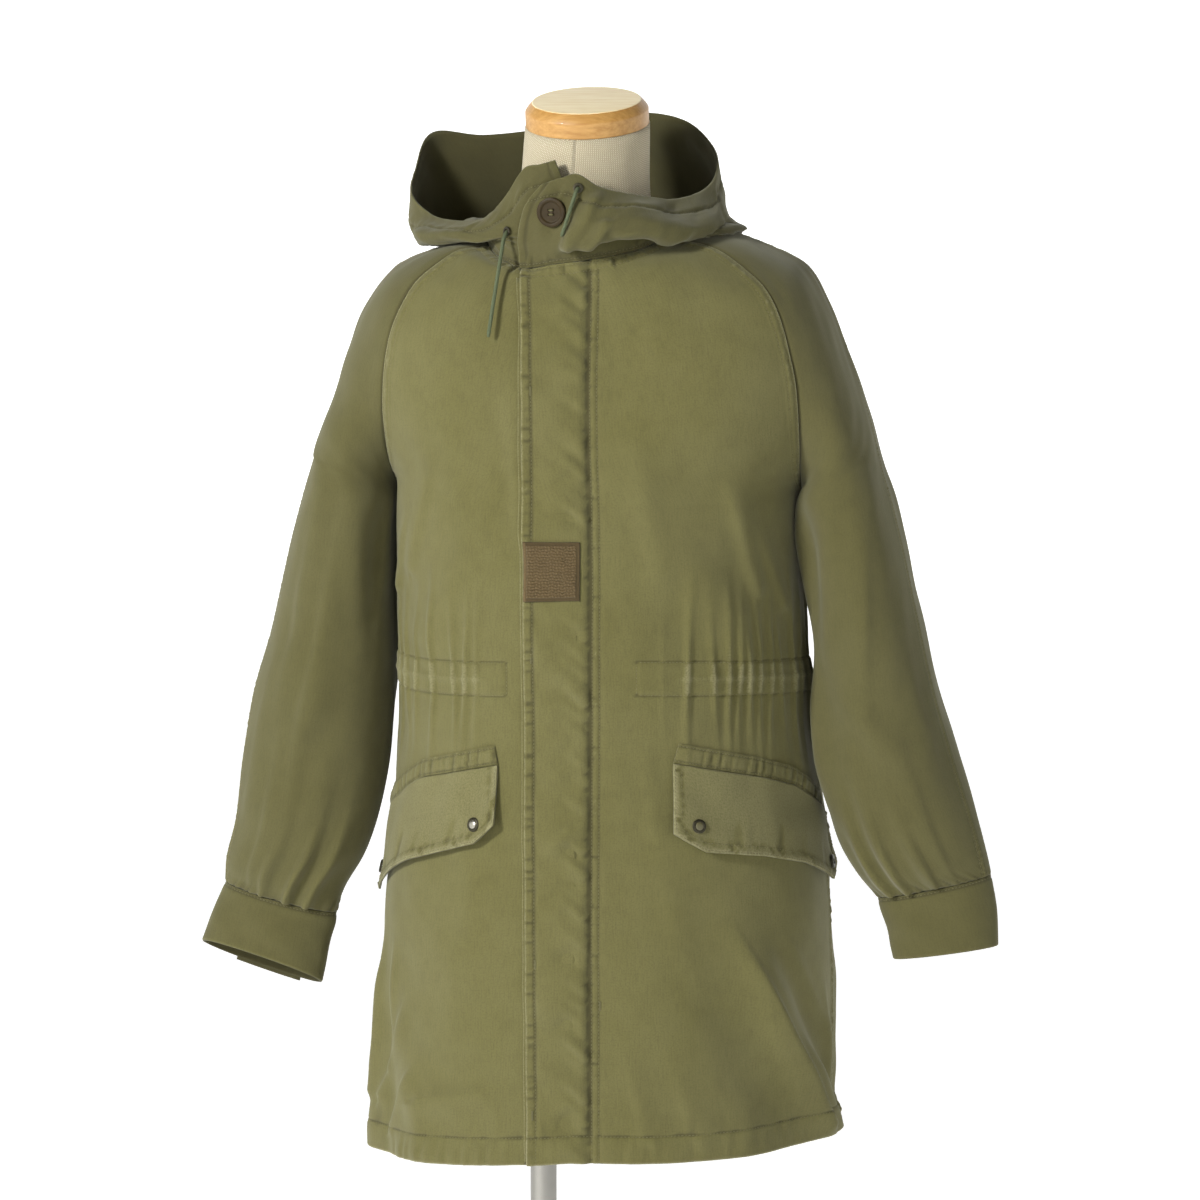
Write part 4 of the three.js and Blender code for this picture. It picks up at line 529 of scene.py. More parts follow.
class BodyForm:
    """The plain surface that the fronts and the back are cut to.

    A place up the body is a row number: below 0 it is millimetres under the armpits, and from
    0 to 7 it is a step of the yoke, with 8 at the neck seam.
    """

    @staticmethod
    def lower(level: Array, side: int, facing: int, t: Array) -> Array:
        """Give points of the outline below the armpits.

        A quarter of the outline is the Bezier curve from the middle of the front or back,
        square to it, to the side seam, where it runs straight back.

        Args:
            level: heights at the front's middle.
            side: 1 for the left and -1 for the right.
            facing: -1 for the front and 1 for the back.
            t: shares of the curve, broadcast with the levels.
        Returns:
            The points.
        """
        row = BODY_ROWS.by("level", level)
        depth = facing * (row["front"] if facing < 0 else row["back"])
        middle_z = level + (0 if facing < 0 else row["back_rise"])
        side_z = level + (row["left_rise"] if side > 0 else row["right_rise"])
        side_x = side * row["half"] + row["shift"]
        seam_y = SIDE_SEAM_Y * smooth_step(ARMPIT_HEIGHT, ARMPIT_HEIGHT - 120, level)
        bow = side if facing < 0 else 0
        near_z = mix(middle_z, side_z, (1 - bow) / 3)
        far_z = mix(middle_z, side_z, (2 - bow) / 3)
        return bezier(
            vectors(0.0, depth, middle_z),
            vectors(side_x * 0.62, depth, near_z),
            vectors(side_x, seam_y + 0.58 * (depth - seam_y), far_z),
            vectors(side_x, seam_y, side_z),
            t,
        )

    @staticmethod
    def raglan(step: Array, side: int, facing: int) -> Array:
        """Give points of a raglan seam at steps of the yoke."""
        row = (FRONT_YOKE if facing < 0 else BACK_YOKE).at(step)
        x = side * row["seam_x"] + ARMPIT_SHIFT * np.maximum(0, 1 - np.asarray(step) / 3)
        return vectors(x, row["seam_y"], row["seam_z"])

    @staticmethod
    def upper(step: Array, side: int, facing: int, t: Array) -> Array:
        """Give points of the yoke: Bezier curves from its middle to the raglan seam, which
        they cross at the table's turn. Arguments are those of lower()."""
        row = (FRONT_YOKE if facing < 0 else BACK_YOKE).at(step)
        middle = vectors(row["middle_x"], facing * row["depth"], row["middle"])
        end = BodyForm.raglan(step, side, facing)
        reach = np.linalg.norm(end - middle, axis=-1)
        turn = np.radians(row["turn"])
        rise = end[..., 2] - middle[..., 2]
        near_x = middle[..., 0] + side * 0.5 * reach
        near = vectors(near_x, middle[..., 1], middle[..., 2] + rise / 3)
        far = vectors(
            end[..., 0] - side * 0.34 * reach * np.cos(turn),
            end[..., 1] + facing * 0.34 * reach * np.sin(turn),
            middle[..., 2] + rise * 2 / 3,
        )
        return bezier(middle, near, far, end, t)

    @classmethod
    def at(cls, place: Array, side: int, facing: int, t: Array) -> Array:
        """Give points of rows at places up the body, R, and shares of them, R x K."""
        t = np.broadcast_to(t, (len(place), np.shape(t)[-1]))
        low = place < 0
        points = np.zeros(t.shape + (3,))
        level = (ARMPIT_HEIGHT + place[low])[:, None]
        points[low] = cls.lower(level, side, facing, t[low])
        points[~low] = cls.upper(place[~low][:, None], side, facing, t[~low])
        return points

    @classmethod
    def share_at_x(cls, place: Array, side: int, facing: int, x: Array) -> Array:
        """Halve the curve forty times to find the share of it where it reaches x."""
        low, high = np.zeros(len(place)), np.ones(len(place))
        for _ in range(40):
            middle = (low + high) / 2
            short = side * (cls.at(place, side, facing, middle[:, None])[:, 0, 0] - x) < 0
            low, high = np.where(short, middle, low), np.where(short, high, middle)
        return (low + high) / 2

    @staticmethod
    def neck(angle: Array, lift: Array | float = 0.0) -> Array:
        """Give points of the neck seam by angle from the front towards the wearer's left."""
        row = NECK_SEAM.by("angle", angle)
        radius, turn = row["radius"] + lift, np.radians(angle)
        return vectors(
            NECK_CENTRE[0] + radius * np.sin(turn),
            NECK_CENTRE[1] - radius * np.cos(turn),
            row["height"],
        )

    @staticmethod
    def height(place: Array) -> Array:
        """Give the height of rows at the front's middle."""
        yoke = FRONT_YOKE.at(np.clip(place, 0, 7))["middle"]
        return np.where(place < 0, ARMPIT_HEIGHT + place, yoke)


@dataclass(frozen=True)
class Columns:
    """Places across a panel: each lies at share of the row's whole length, plus fly times the
    length to the row's marked line, plus some millimetres."""

    share: Array
    fly: Array
    off: Array

    @classmethod
    def joined(cls, *groups: tuple[Array, Array, Array]) -> "Columns":
        """Join groups of places, in rising order, into an odd number of them."""
        share, fly, off = (np.concatenate([np.atleast_1d(g[k]) for g in groups]) for k in range(3))
        if len(share) % 2 == 0:
            at = len(share) // 2
            share, fly, off = (
                np.insert(a, at, (a[at - 1] + a[at]) / 2) for a in (share, fly, off)
            )
        return cls(share, fly, off)

    def lengths(self, whole: Array, marked: Array) -> Array:
        """Work out the places in millimetres for rows of those lengths."""
        return self.share * whole[:, None] + self.fly * marked[:, None] + self.off

    def take(self, points: Array, marked: Array) -> tuple[Array, Array]:
        """Take the points at these places of dense rows, and give their lengths along too."""
        along = lengths_along(points)
        wanted = self.lengths(along[:, -1], marked)
        return at_length(points, along, wanted), wanted


def group(share: float, fly: float, offs: tuple) -> tuple[Array, Array, Array]:
    """Make a group of places that differ in millimetres only."""
    off = np.array(offs, float)
    return np.full(len(off), float(share)), np.full(len(off), float(fly)), off


def between(
    low: tuple[float, float, float], high: tuple[float, float, float], count: int
) -> tuple[Array, Array, Array]:
    """Make a group of places spaced evenly between two, without the two themselves."""
    t = np.arange(1, count) / count
    return tuple(mix(a, b, t) for a, b in zip(low, high))


EDGE_OFFS = (0.0, 0.5, 1.3, 2.2, 3.2, 4.9, 6.8, 8.2, 9.2, 10.2, 11.8)
FLY_EDGE_OFFS = (0.0, 0.5, 1.3, 2.8, 4.6, 6.4, 7.9, 9.0, 10.1, 12.0)
FLY_STITCH_OFFS = (-12.0, -9.5, -7.0, -4.8, -3.0, -1.4, 0.0, 1.4, 3.2, 5.1, 6.5, 7.9, 9.8)
SEAM_STITCHES = (2.2, 9.2)
FLY_EDGE_STITCH = 9.0
FLY_SECOND_STITCH = 6.5
HEM_STITCH = 25.0
PANEL_STEP = 2.2


def mirrored(offs: tuple) -> tuple:
    """Turn millimetres from a row's start into millimetres back from its end."""
    return tuple(-off for off in reversed(offs))


def body_places() -> Array:
    """Space the rows of the body from hem to neck, closer beside its sewn lines."""
    hem = (HEM_HEIGHT + 1.2, HEM_HEIGHT + HEM_STITCH)
    channel = (CHANNEL_BOTTOM, CHANNEL_TOP)
    lower = axis(HEM_HEIGHT, ARMPIT_HEIGHT, PANEL_STEP, hem + channel) - ARMPIT_HEIGHT
    upper = np.linspace(0, 7, 71)[1:]
    neck = 7 + np.linspace(0, 1, 27)[1:]
    places = np.concatenate([lower, upper, neck])
    return places if len(places) % 2 else np.delete(places, len(lower) // 2)


def angle_round(points: Array) -> Array:
    """Give the angle of points round the body from the front towards the wearer's left."""
    return np.degrees(np.arctan2(points[..., 0], -points[..., 1]))


def pushed_out(points: Array, amount: Array) -> Array:
    """Move points level with the floor, away from the body's middle line."""
    flat = points * np.array([1, 1, 0])
    return points + unit(flat) * np.asarray(amount)[..., None]


def body_fold(angle_a: float, height_a: float, angle_b: float, height_b: float, width: float,
              lift: float, lean: float = 0.0) -> Fold:
    """Make a fold of the body from angles in degrees and heights."""
    start = (angle_a * MM_PER_DEGREE, height_a)
    return Fold(start, (angle_b * MM_PER_DEGREE, height_b), width, lift, lean)


# The body's largest folds, which its solids have as well.
LARGE_FOLDS = (
    body_fold(44, 800, 82, 540, 17, 8),
    body_fold(38, 740, 66, 540, 22, -5),
    body_fold(-80, 735, -76, 510, 12, 6),
    body_fold(-70, 700, -66, 515, 12, -5),
    body_fold(-60, 640, -50, 530, 13, 4),
    body_fold(34, 1120, 58, 1000, 20, 3.5),
    body_fold(-34, 1130, -56, 1010, 20, 3.5),
    body_fold(128, 900, 122, 520, 22, 7),
    body_fold(144, 860, 146, 520, 22, -5),
    body_fold(168, 910, 164, 520, 26, 6),
    body_fold(186, 800, 188, 520, 22, -4),
    body_fold(208, 900, 214, 515, 24, 7),
    body_fold(228, 820, 234, 515, 20, -4),
    body_fold(150, 1120, 138, 1010, 22, 4),
    body_fold(210, 1125, 222, 1015, 22, 4),
)

# Smaller creases, uneven as on the real cloth: by the hips, over the chest, under the arms and
# down the back.
SMALL_FOLDS = (
    body_fold(47, 770, 80, 555, 7, 7.0, -0.6),
    body_fold(58, 750, 91, 570, 13, -6.5, 0.2),
    body_fold(54, 700, 70, 590, 5, 1.2, -0.4),
    body_fold(62, 760, 86, 640, 7, 1.4, -0.4),
    body_fold(70, 650, 88, 545, 7, 6.5, -0.5),
    body_fold(84, 690, 92, 560, 5, 4.6, -0.4),
    body_fold(30, 650, 38, 560, 10, 2.6, 0.3),
    body_fold(16, 650, 24, 560, 9, 2.2, 0.3),
    body_fold(-52, 620, -66, 545, 7, 4.4, 0.4),
    body_fold(-58, 680, -72, 570, 8, 4.6, 0.4),
    body_fold(-18, 606, -50, 580, 12, 4.2, 0.4),
    body_fold(-76, 740, -78, 570, 5, 5.0, 0.4),
    body_fold(-67, 735, -69, 600, 5, 2.6, 0.4),
    body_fold(-84, 720, -84, 550, 6, 3.2, 0.3),
    body_fold(-66, 720, -68, 640, 4.5, 1.2, 0.3),
    body_fold(-30, 820, -40, 700, 16, 1.5, 0.2),
    body_fold(26, 820, 36, 720, 15, 1.6, 0.2),
    body_fold(24, 930, 27, 840, 9, 1.4, 0.2),
    body_fold(-25, 930, -28, 850, 9, 1.4, 0.2),
    body_fold(50, 1180, 62, 1060, 11, 4.2, 0.3),
    body_fold(62, 1120, 74, 1040, 8, 3.8, 0.3),
    body_fold(-52, 1190, -66, 1070, 11, 4.0, -0.3),
    body_fold(-66, 1130, -76, 1050, 8, 3.8, -0.3),
    body_fold(20, 1210, 30, 1080, 16, 3.2, 0.1),
    body_fold(-26, 1250, -20, 1110, 13, 3.6, 0.2),
    body_fold(112, 1120, 98, 1040, 9, 2.0, 0.3),
    body_fold(246, 1120, 262, 1045, 9, 2.0, -0.3),
    body_fold(124, 850, 116, 640, 7, 1.8, 0.4),
    body_fold(136, 820, 134, 600, 6, 1.4, 0.3),
    body_fold(156, 860, 152, 660, 7, 1.6, -0.4),
    body_fold(176, 820, 178, 620, 8, 1.5, 0.4),
    body_fold(198, 880, 202, 650, 7, 1.7, -0.4),
    body_fold(220, 840, 226, 600, 6, 1.6, 0.4),
    body_fold(242, 860, 250, 610, 8, 1.9, 0.3),
    body_fold(262, 760, 266, 560, 6, 1.8, 0.3),
    body_fold(100, 760, 96, 560, 6, 1.8, -0.3),
    body_fold(160, 1260, 150, 1160, 14, 1.8, 0.3),
    body_fold(200, 1260, 212, 1160, 14, 1.8, -0.3),
    body_fold(180, 1180, 181, 1060, 18, 1.6, 0.2),
)


def folds_relief(folds: tuple[Fold, ...], points: Array) -> Array:
    """Add up the folds of the body at points, once for each way round it."""
    across = angle_round(points) * MM_PER_DEGREE
    relief = np.zeros(points.shape[:-1])
    for fold in folds:
        for turn in (0.0, 360.0 * MM_PER_DEGREE):
            relief += fold.relief(across + turn, points[..., 2])
    return relief


# Crests of the waist's gathers by angle, as they lie at the front, with their strengths.
FRONT_CRESTS = (
    (30.3, 0.35), (38.2, 0.9), (46.6, 0.8), (51.6, 1.0), (55.2, 0.75), (58.5, 1.0), (62.4, 0.9),
    (66.9, 1.0), (71.3, 0.8), (78.4, 1.0), (84.5, 0.8), (90.5, 0.9),
    (-36.0, 0.4), (-40.2, 0.9), (-44.7, 1.0), (-54.1, 0.95), (-63.0, 0.8), (-69.9, 1.0),
    (-77.0, 0.8), (-85.0, 0.9), (-91.0, 0.8),
)


def waist_crests() -> Array:
    """List all the waist's crests: those at the front, and uneven ones round the back, whose
    spacing and strength swing with sines of their number."""
    number = np.arange(27)
    angle = 96 + 6.3 * number + 0.9 * np.sin(number * 2.4) + 0.6 * np.sin(number * 5.1 + 1)
    strength = 0.8 + 0.2 * np.sin(number * 3.3 + 0.7)
    return np.concatenate([np.array(FRONT_CRESTS), np.stack([angle, strength], axis=-1)])


WAIST_CRESTS = waist_crests()
GATHER_REACH = 88.0


def gather_relief(points: Array, level: Array | None = None) -> Array:
    """Give the relief of the waist's gathers.

    Each crest is a bell curve of the angle, a little slanted, full between the channel's two
    stitched lines and fading above and below; the cord inside lifts the channel's middle.

    Args:
        points: ... x 3 points of the body.
        level: heights to use in place of the points' own.
    Returns:
        How far each point stands out.
    """
    angle, height = angle_round(points), points[..., 2] if level is None else level
    middle, half = (CHANNEL_TOP + CHANNEL_BOTTOM) / 2, (CHANNEL_TOP - CHANNEL_BOTTOM) / 2
    off = height - middle
    outside = np.maximum(0, np.abs(off) - half)
    reach = np.maximum(0, 1 - outside / GATHER_REACH)
    relief = np.zeros(angle.shape)
    for number, (crest, strength) in enumerate(WAIST_CRESTS):
        slant = 0.018 * math.sin(number * 2.1)
        width = 0.75 + 0.014 * outside + 0.15 * math.sin(number * 1.7)
        away = (angle - crest - slant * off + 180) % 360 - 180
        own = reach ** (1.3 + 0.6 * math.sin(number * 4.1))
        relief = np.maximum(relief, strength * own * np.exp(-((away / width) ** 2)))
    turn = angle % 360
    taper = smooth_step(25, 33, turn) * smooth_step(335, 327, turn)
    cord = bell(off, 3.2) * smooth_step(30, 37, turn) * smooth_step(330, 325, turn)
    return (4.2 * relief + 1.3 * cord) * taper


def groove(away: Array, depth: float = 0.45) -> Array:
    """Give the dent that a line of stitches pulls into the cloth: a bell curve 1.5 mm wide."""
    return -depth * bell(away, 1.5)


def rounded(away: Array, drop: float = 0.8) -> Array:
    """Give the roll of a folded edge, which falls by drop over its last millimetre and a half."""
    return -drop * np.clip(1 - away / 1.5, 0, 1) ** 2


def puckers(
    along: Array, away: Array, length: float, height: float, reach: float, seed: float
) -> Array:
    """Give the puckers beside a sewn line: an uneven wave along it that dies out with the
    distance from it."""
    return height * ripple(along, length, seed) * bell(away, reach)


def body_relief(points: Array, soft: float = 0.9) -> Array:
    """Give the relief of the body's folds and of the soft hollows between them."""
    across = angle_round(points) * MM_PER_DEGREE
    relief = folds_relief(LARGE_FOLDS, points) + folds_relief(SMALL_FOLDS, points)
    relief += soft * undulation(across, points[..., 2], 95, 1.3)
    return relief + 0.35 * soft * undulation(across, points[..., 2] * 0.7, 38, 4.1)


@dataclass
class BodyPanels:
    """The two fronts, the strip under the fly and the back, from hem to neck seam."""

    cloth: float = 1.6
    places: Array = field(default_factory=body_places)

    def grid(
        self,
        columns: Columns,
        dense: Callable[[Array], tuple[Array, Array]],
        neck: tuple[Array, Array],
    ) -> tuple[Array, Array, Array, Array]:
        """Work out a panel's form.

        Up to the yoke's last step, rows are taken from the dense rows. From there to the neck
        seam each column is a cubic that leaves the yoke in its own direction.

        Args:
            columns: the places across the panel.
            dense: gives dense rows, and lengths to their marked line, at places up the body.
            neck: the neck seam's dense row, and its length to the marked line.
        Returns:
            The form's points, the lengths across it, the lengths from its other end, and the
            lengths past its marked line.
        """
        low = self.places[self.places <= 7]
        rows, marked = dense(low)
        points, across = columns.take(rows, marked)
        last, _ = columns.take(*dense(np.array([6.9, 7.0])))
        top, top_across = columns.take(neck[0][None], neck[1][None])
        reach = np.linalg.norm(top[0] - last[1], axis=-1, keepdims=True)
        leave = unit(last[1] - last[0]) * reach
        t = (self.places[self.places > 7] - 7)[:, None, None]
        rise = cubic(last[1], leave, top[0], top[0] - last[1], t)
        form = np.concatenate([points, rise])
        across = np.concatenate([across, np.repeat(top_across, len(rise), axis=0)])
        weight = bell(self.places * 30, 40) * 0.9 + bell((self.places - 7) * 30, 14) * 0.6
        form = soften_rows(form, np.clip(weight, 0, 0.9), 30)
        marked = np.append(marked, np.full(len(rise), neck[1]))[:, None]
        return form, across, across[:, -1:] - across, across - marked

    def up(self, form: Array) -> tuple[Array, Array]:
        """Measure up a panel's columns from the hem, and down them from the neck."""
        up = lengths_up(form)
        return up, up[-1:] - up

    def broad(self, form: Array, soft: float) -> Array:
        """Give the relief of the folds, with soft hollows all over, less at seams and neck."""
        relief = body_relief(form, soft) * smooth_step(8, 7, self.places)[:, None]
        return relief + 0.55 * gather_relief(form, self.level(form))

    def seam_band(self, away: Array, up: Array, seed: float) -> Array:
        """Give the relief of a flat-felled seam's band: raised, sewn down along two lines, with
        puckers between them, and rolled over at the edge."""
        raised = 1.1 * smooth_step(12, 10, away)
        lines = sum(groove(away - line, 0.85) for line in SEAM_STITCHES)
        return raised + lines + puckers(up, away - 5.7, 9.5, 1.4, 4.0, seed) + rounded(away)

    def hem(self, form: Array, up: Array) -> Array:
        """Give the relief of the turned hem: doubled cloth below its stitches, pulled into
        uneven puckers, and gathered by its cord near the wearer's right."""
        across = angle_round(form) * MM_PER_DEGREE
        fold = 0.5 * smooth_step(HEM_STITCH + 1, HEM_STITCH - 1, up)
        soft = puckers(across, up - 11, 19, 0.8, 13, 2.2) + puckers(across, up - 20, 9, 0.4, 7, 0.4)
        drawn = smooth_step(-3, -20, angle_round(form)) * smooth_step(-78, -55, angle_round(form))
        bunched = 3.2 * drawn * (0.5 + 0.5 * ripple(across, 12.5, 0.9)) * bell(up - 7, 9)
        lift = 0.7 * ripple(across, 31, 3.1) * smooth_step(70, 15, up)
        return fold + soft + bunched + lift + groove(up - HEM_STITCH, 0.8) + rounded(up)

    def neck_band(self, form: Array, down: Array) -> Array:
        """Give the relief below the neck seam: two sewn lines with puckers between them."""
        across = angle_round(form - np.append(NECK_CENTRE, 0)) * 1.45
        lines = groove(down - 2.5, 0.7) + groove(down - 10, 0.8)
        band = 0.8 * smooth_step(12, 10, down)
        return lines + band + puckers(across, down - 6, 9.5, 1.5, 4.2, 1.7) + rounded(down, 0.8)

    def worn(self, relief: Array, edges: Array) -> Array:
        """Give how worn the cloth is: at folded edges, and on the crests of small relief."""
        return np.clip(0.8 * bell(edges, 1.3) + 0.45 * smooth_step(0.9, 2.4, relief), 0, 1)

    def level(self, form: Array) -> Array:
        """Give each row's height at the front's middle; the waist's rows dip to the sides."""
        level = np.where(self.places < 0, ARMPIT_HEIGHT + self.places, ARMPIT_HEIGHT)
        level = level + 30 * np.maximum(0, self.places)
        return np.broadcast_to(level[:, None], form.shape[:2])

    def waist(self, form: Array) -> Array:
        """Give the fine part of the gathers' relief, with the waist channel's."""
        return 0.45 * gather_relief(form, self.level(form)) + self.channel(form)

    def channel(self, form: Array) -> Array:
        """Give the dents of the waist channel's two sewn lines and of its closed ends."""
        angle, height = angle_round(form), self.level(form)
        inside = smooth_step(20.8, 21.6, angle % 360) * smooth_step(335.4, 334.6, angle % 360)
        lines = sum(groove(height - z, 1.0) for z in (CHANNEL_BOTTOM, CHANNEL_TOP)) * inside
        level = smooth_step(CHANNEL_BOTTOM - 1, CHANNEL_BOTTOM, height)
        level = level * smooth_step(CHANNEL_TOP + 1, CHANNEL_TOP, height)
        across = angle * MM_PER_DEGREE
        ends = sum(groove(across - end * MM_PER_DEGREE, 1.0) for end in CHANNEL_ENDS)
        return lines + ends * level + 0.9 * level * inside

    def left_front(self) -> tuple[Wall, dict[str, Array]]:
        """Make the left front, whose fly laps over the right front."""
        columns = Columns.joined(
            group(0, 0, FLY_EDGE_OFFS),
            between((0, 0, 12.0), (0, 1, -12.0), 17),
            group(0, 1, FLY_STITCH_OFFS),
            between((0, 1, 9.8), (1, 0, -11.8), 96),
            group(1, 0, mirrored(EDGE_OFFS)),
        )

        def dense(places: Array) -> tuple[Array, Array]:
            line = FLY_LINES.by("height", BodyForm.height(places))
            start = BodyForm.share_at_x(places, -1, -1, line["edge"])
            before = BodyForm.at(places, -1, -1, start[:, None] * np.linspace(1, 0, 36))
            beyond = BodyForm.at(places, 1, -1, np.linspace(0, 1, 150)[1:])
            points = np.concatenate([before, beyond], axis=1)
            return points, length_at_x(points, lengths_along(points), line["stitch"])

        angles = np.concatenate([np.linspace(FLY_EDGE_ANGLE, FLY_STITCH_ANGLE, 60),
                                 np.linspace(FLY_STITCH_ANGLE, FRONT_NECK_ANGLE, 60)[1:]])
        neck = BodyForm.neck(angles)
        form, across, left, past = self.grid(columns, dense, (neck, lengths_along(neck)[59]))
        up, down = self.up(form)
        lift = FLY_LIFT * smooth_step(0, -FLY_RAMP, past)
        on_fly = smooth_step(0, -6, past) * smooth_step(7, 14, across)
        sag = puckers(up + 0.7 * across, past + 13, 33, 2.6, 13, 0.6)
        sag += puckers(up - 0.5 * across, past + 22, 49, 2.2, 12, 2.6)
        sag += (
            puckers(up + 0.3 * across, past + 6, 21, 0.9, 6, 4.4)
            + 1.1 * undulation(across, up, 36, 2.2)
        )
        sag *= (1 - smooth_step(50, 28, np.abs(form[..., 2] - LoopPatch.MIDDLE_Z))) * on_fly
        broad = self.broad(form, 0.9) + sag
        edge = puckers(up, across - 4.6, 9.5, 1.6, 3.4, 1.1) + groove(across - FLY_EDGE_STITCH, 1.0)
        sewn = (
            groove(past, 0.8) - 1.1 * bell(past + 1.6, 2.3)
            + groove(past - FLY_SECOND_STITCH, 0.85)
        )
        sewn += puckers(up, past - 3.2, 9, 1.3, 3.0, 2.9) + 0.7 * bell(past - 3.2, 3)
        sewn += puckers(up, past + 4, 12, 0.8, 4, 0.9)
        fine = self.waist(form) + edge + sewn + rounded(across, 1.0)
        fine += self.neck_band(form, down) + self.seam_band(left, up, 0.3)
        shown = form - np.array([0, 1, 0]) * lift[..., None]
        edges = np.minimum(np.minimum(across, left), np.minimum(up, down + 4))
        hem = self.hem(form, up)
        wall = Wall(shown, broad, fine + hem, self.cloth, wear_and_shade=self.worn(fine, edges))
        return wall, {"across": across, "up": up, "past": past, "height": self.level(form)}

    def right_front(self) -> tuple[Wall, dict[str, Array]]:
        """Make the right front, which runs on under the fly."""
        columns = Columns.joined(
            group(0, 0, EDGE_OFFS),
            between((0, 0, 11.8), (1, -1, -3.0), 92),
            group(1, -1, (-3.0, -1.5, 0.0)),
            between((1, -1, 0.0), (1, 0, 0.0), 12),
            group(1, 0, (0.0,)),
        )

        def dense(places: Array) -> tuple[Array, Array]:
            line = FLY_LINES.by("height", BodyForm.height(places))
            stop = BodyForm.share_at_x(places, 1, -1, line["stitch"] - FLY_RAMP)
            before = BodyForm.at(places, -1, -1, np.linspace(1, 0, 150))
            beyond = BodyForm.at(places, 1, -1, stop[:, None] * np.linspace(0, 1, 12)[1:])
            points = np.concatenate([before, beyond], axis=1)
            along = lengths_along(points)
            return points, along[:, -1] - length_at_x(points, along, line["edge"])

        angles = np.concatenate([np.linspace(-FRONT_NECK_ANGLE, FLY_EDGE_ANGLE, 60),
                                 np.linspace(FLY_EDGE_ANGLE, FLY_RIDGE_ANGLE, 30)[1:]])
        neck = BodyForm.neck(angles)
        whole = lengths_along(neck)
        form, across, _, _ = self.grid(columns, dense, (neck, whole[-1] - whole[59]))
        up, down = self.up(form)
        under = np.zeros(form.shape[1], bool)
        under[int(np.argmax(columns.fly < -0.999)) + 2 :] = True
        broad = self.broad(form, 0.9)
        fine = self.waist(form)
        fine += self.neck_band(form, down) + self.seam_band(across, up, 1.9)
        edges = np.minimum(np.minimum(across, up), down + 4)
        wear_and_shade = self.worn(fine, edges)
        fine = fine + self.hem(form, up)
        fine = np.where(under[None, :], np.minimum(fine, 0) - 0.2, fine)
        wall = Wall(form, broad, fine, self.cloth, wear_and_shade=wear_and_shade)
        return wall, {"across": across, "up": up, "height": self.level(form)}

    def back(self) -> tuple[Wall, dict[str, Array]]:
        """Make the back, in one piece from side seam to side seam."""
        columns = Columns.joined(
            group(0, 0, EDGE_OFFS),
            between((0, 0, 11.8), (1, 0, -11.8), 158),
            group(1, 0, mirrored(EDGE_OFFS)),
        )

        def dense(places: Array) -> tuple[Array, Array]:
            before = BodyForm.at(places, 1, 1, np.linspace(1, 0, 150))
            beyond = BodyForm.at(places, -1, 1, np.linspace(0, 1, 150)[1:])
            return np.concatenate([before, beyond], axis=1), np.zeros(len(places))

        angles = np.linspace(BACK_NECK_ANGLE, 360 - BACK_NECK_ANGLE, 120)
        neck = BodyForm.neck(np.where(angles > 180, angles - 360, angles))
        form, across, left, _ = self.grid(columns, dense, (neck, np.array(0.0)))
        up, down = self.up(form)
        broad = self.broad(form, 1.2)
        away = np.minimum(across, left)
        yoke = smooth_step(-0.4, 0.2, self.places)[:, None]
        fine = self.waist(form)
        fine += self.neck_band(form, down) + self.seam_band(away, up, 2.7) * yoke
        fine += rounded(away, 0.5) * (1 - yoke)
        edges = np.minimum(np.minimum(away + 3 * (1 - yoke), up), down + 4)
        hem = self.hem(form, up)
        wall = Wall(form, broad, fine + hem, self.cloth, wear_and_shade=self.worn(fine, edges))
        return wall, {"across": across, "up": up, "height": self.level(form)}

    def under_fly(self) -> Wall:
        """Make the strip under the fly, whose edge peeps out past the fly's."""
        places = self.places[self.places <= 7][::2]
        if len(places) % 2 == 0:
            places = places[:-1]
        line = FLY_LINES.by("height", BodyForm.height(places))
        start = BodyForm.share_at_x(places, -1, -1, line["edge"] - 2.4)
        stop = BodyForm.share_at_x(places, 1, -1, line["stitch"] - FLY_RAMP - 1)
        t = np.array([1, 0.985, 0.96, 0.9, 0.75, 0.5, 0.25, 0])
        before = BodyForm.at(places, -1, -1, start[:, None] * t)
        beyond = BodyForm.at(places, 1, -1, stop[:, None] * np.array([0.5, 1.0]))
        form = np.concatenate([before, beyond], axis=1)[:, :-1]
        form = pushed_out(form, body_relief(form))
        form[..., 1] -= 1.65
        form[0, :, 2] += 2
        up = lengths_up(form)
        across = lengths_along(form)
        fine = puckers(up, across - 1, 21, 0.35, 3, 1.2)
        return Wall(form, 0.0, fine, 1.2, wear_and_shade=0.4 * bell(across, 0.9))


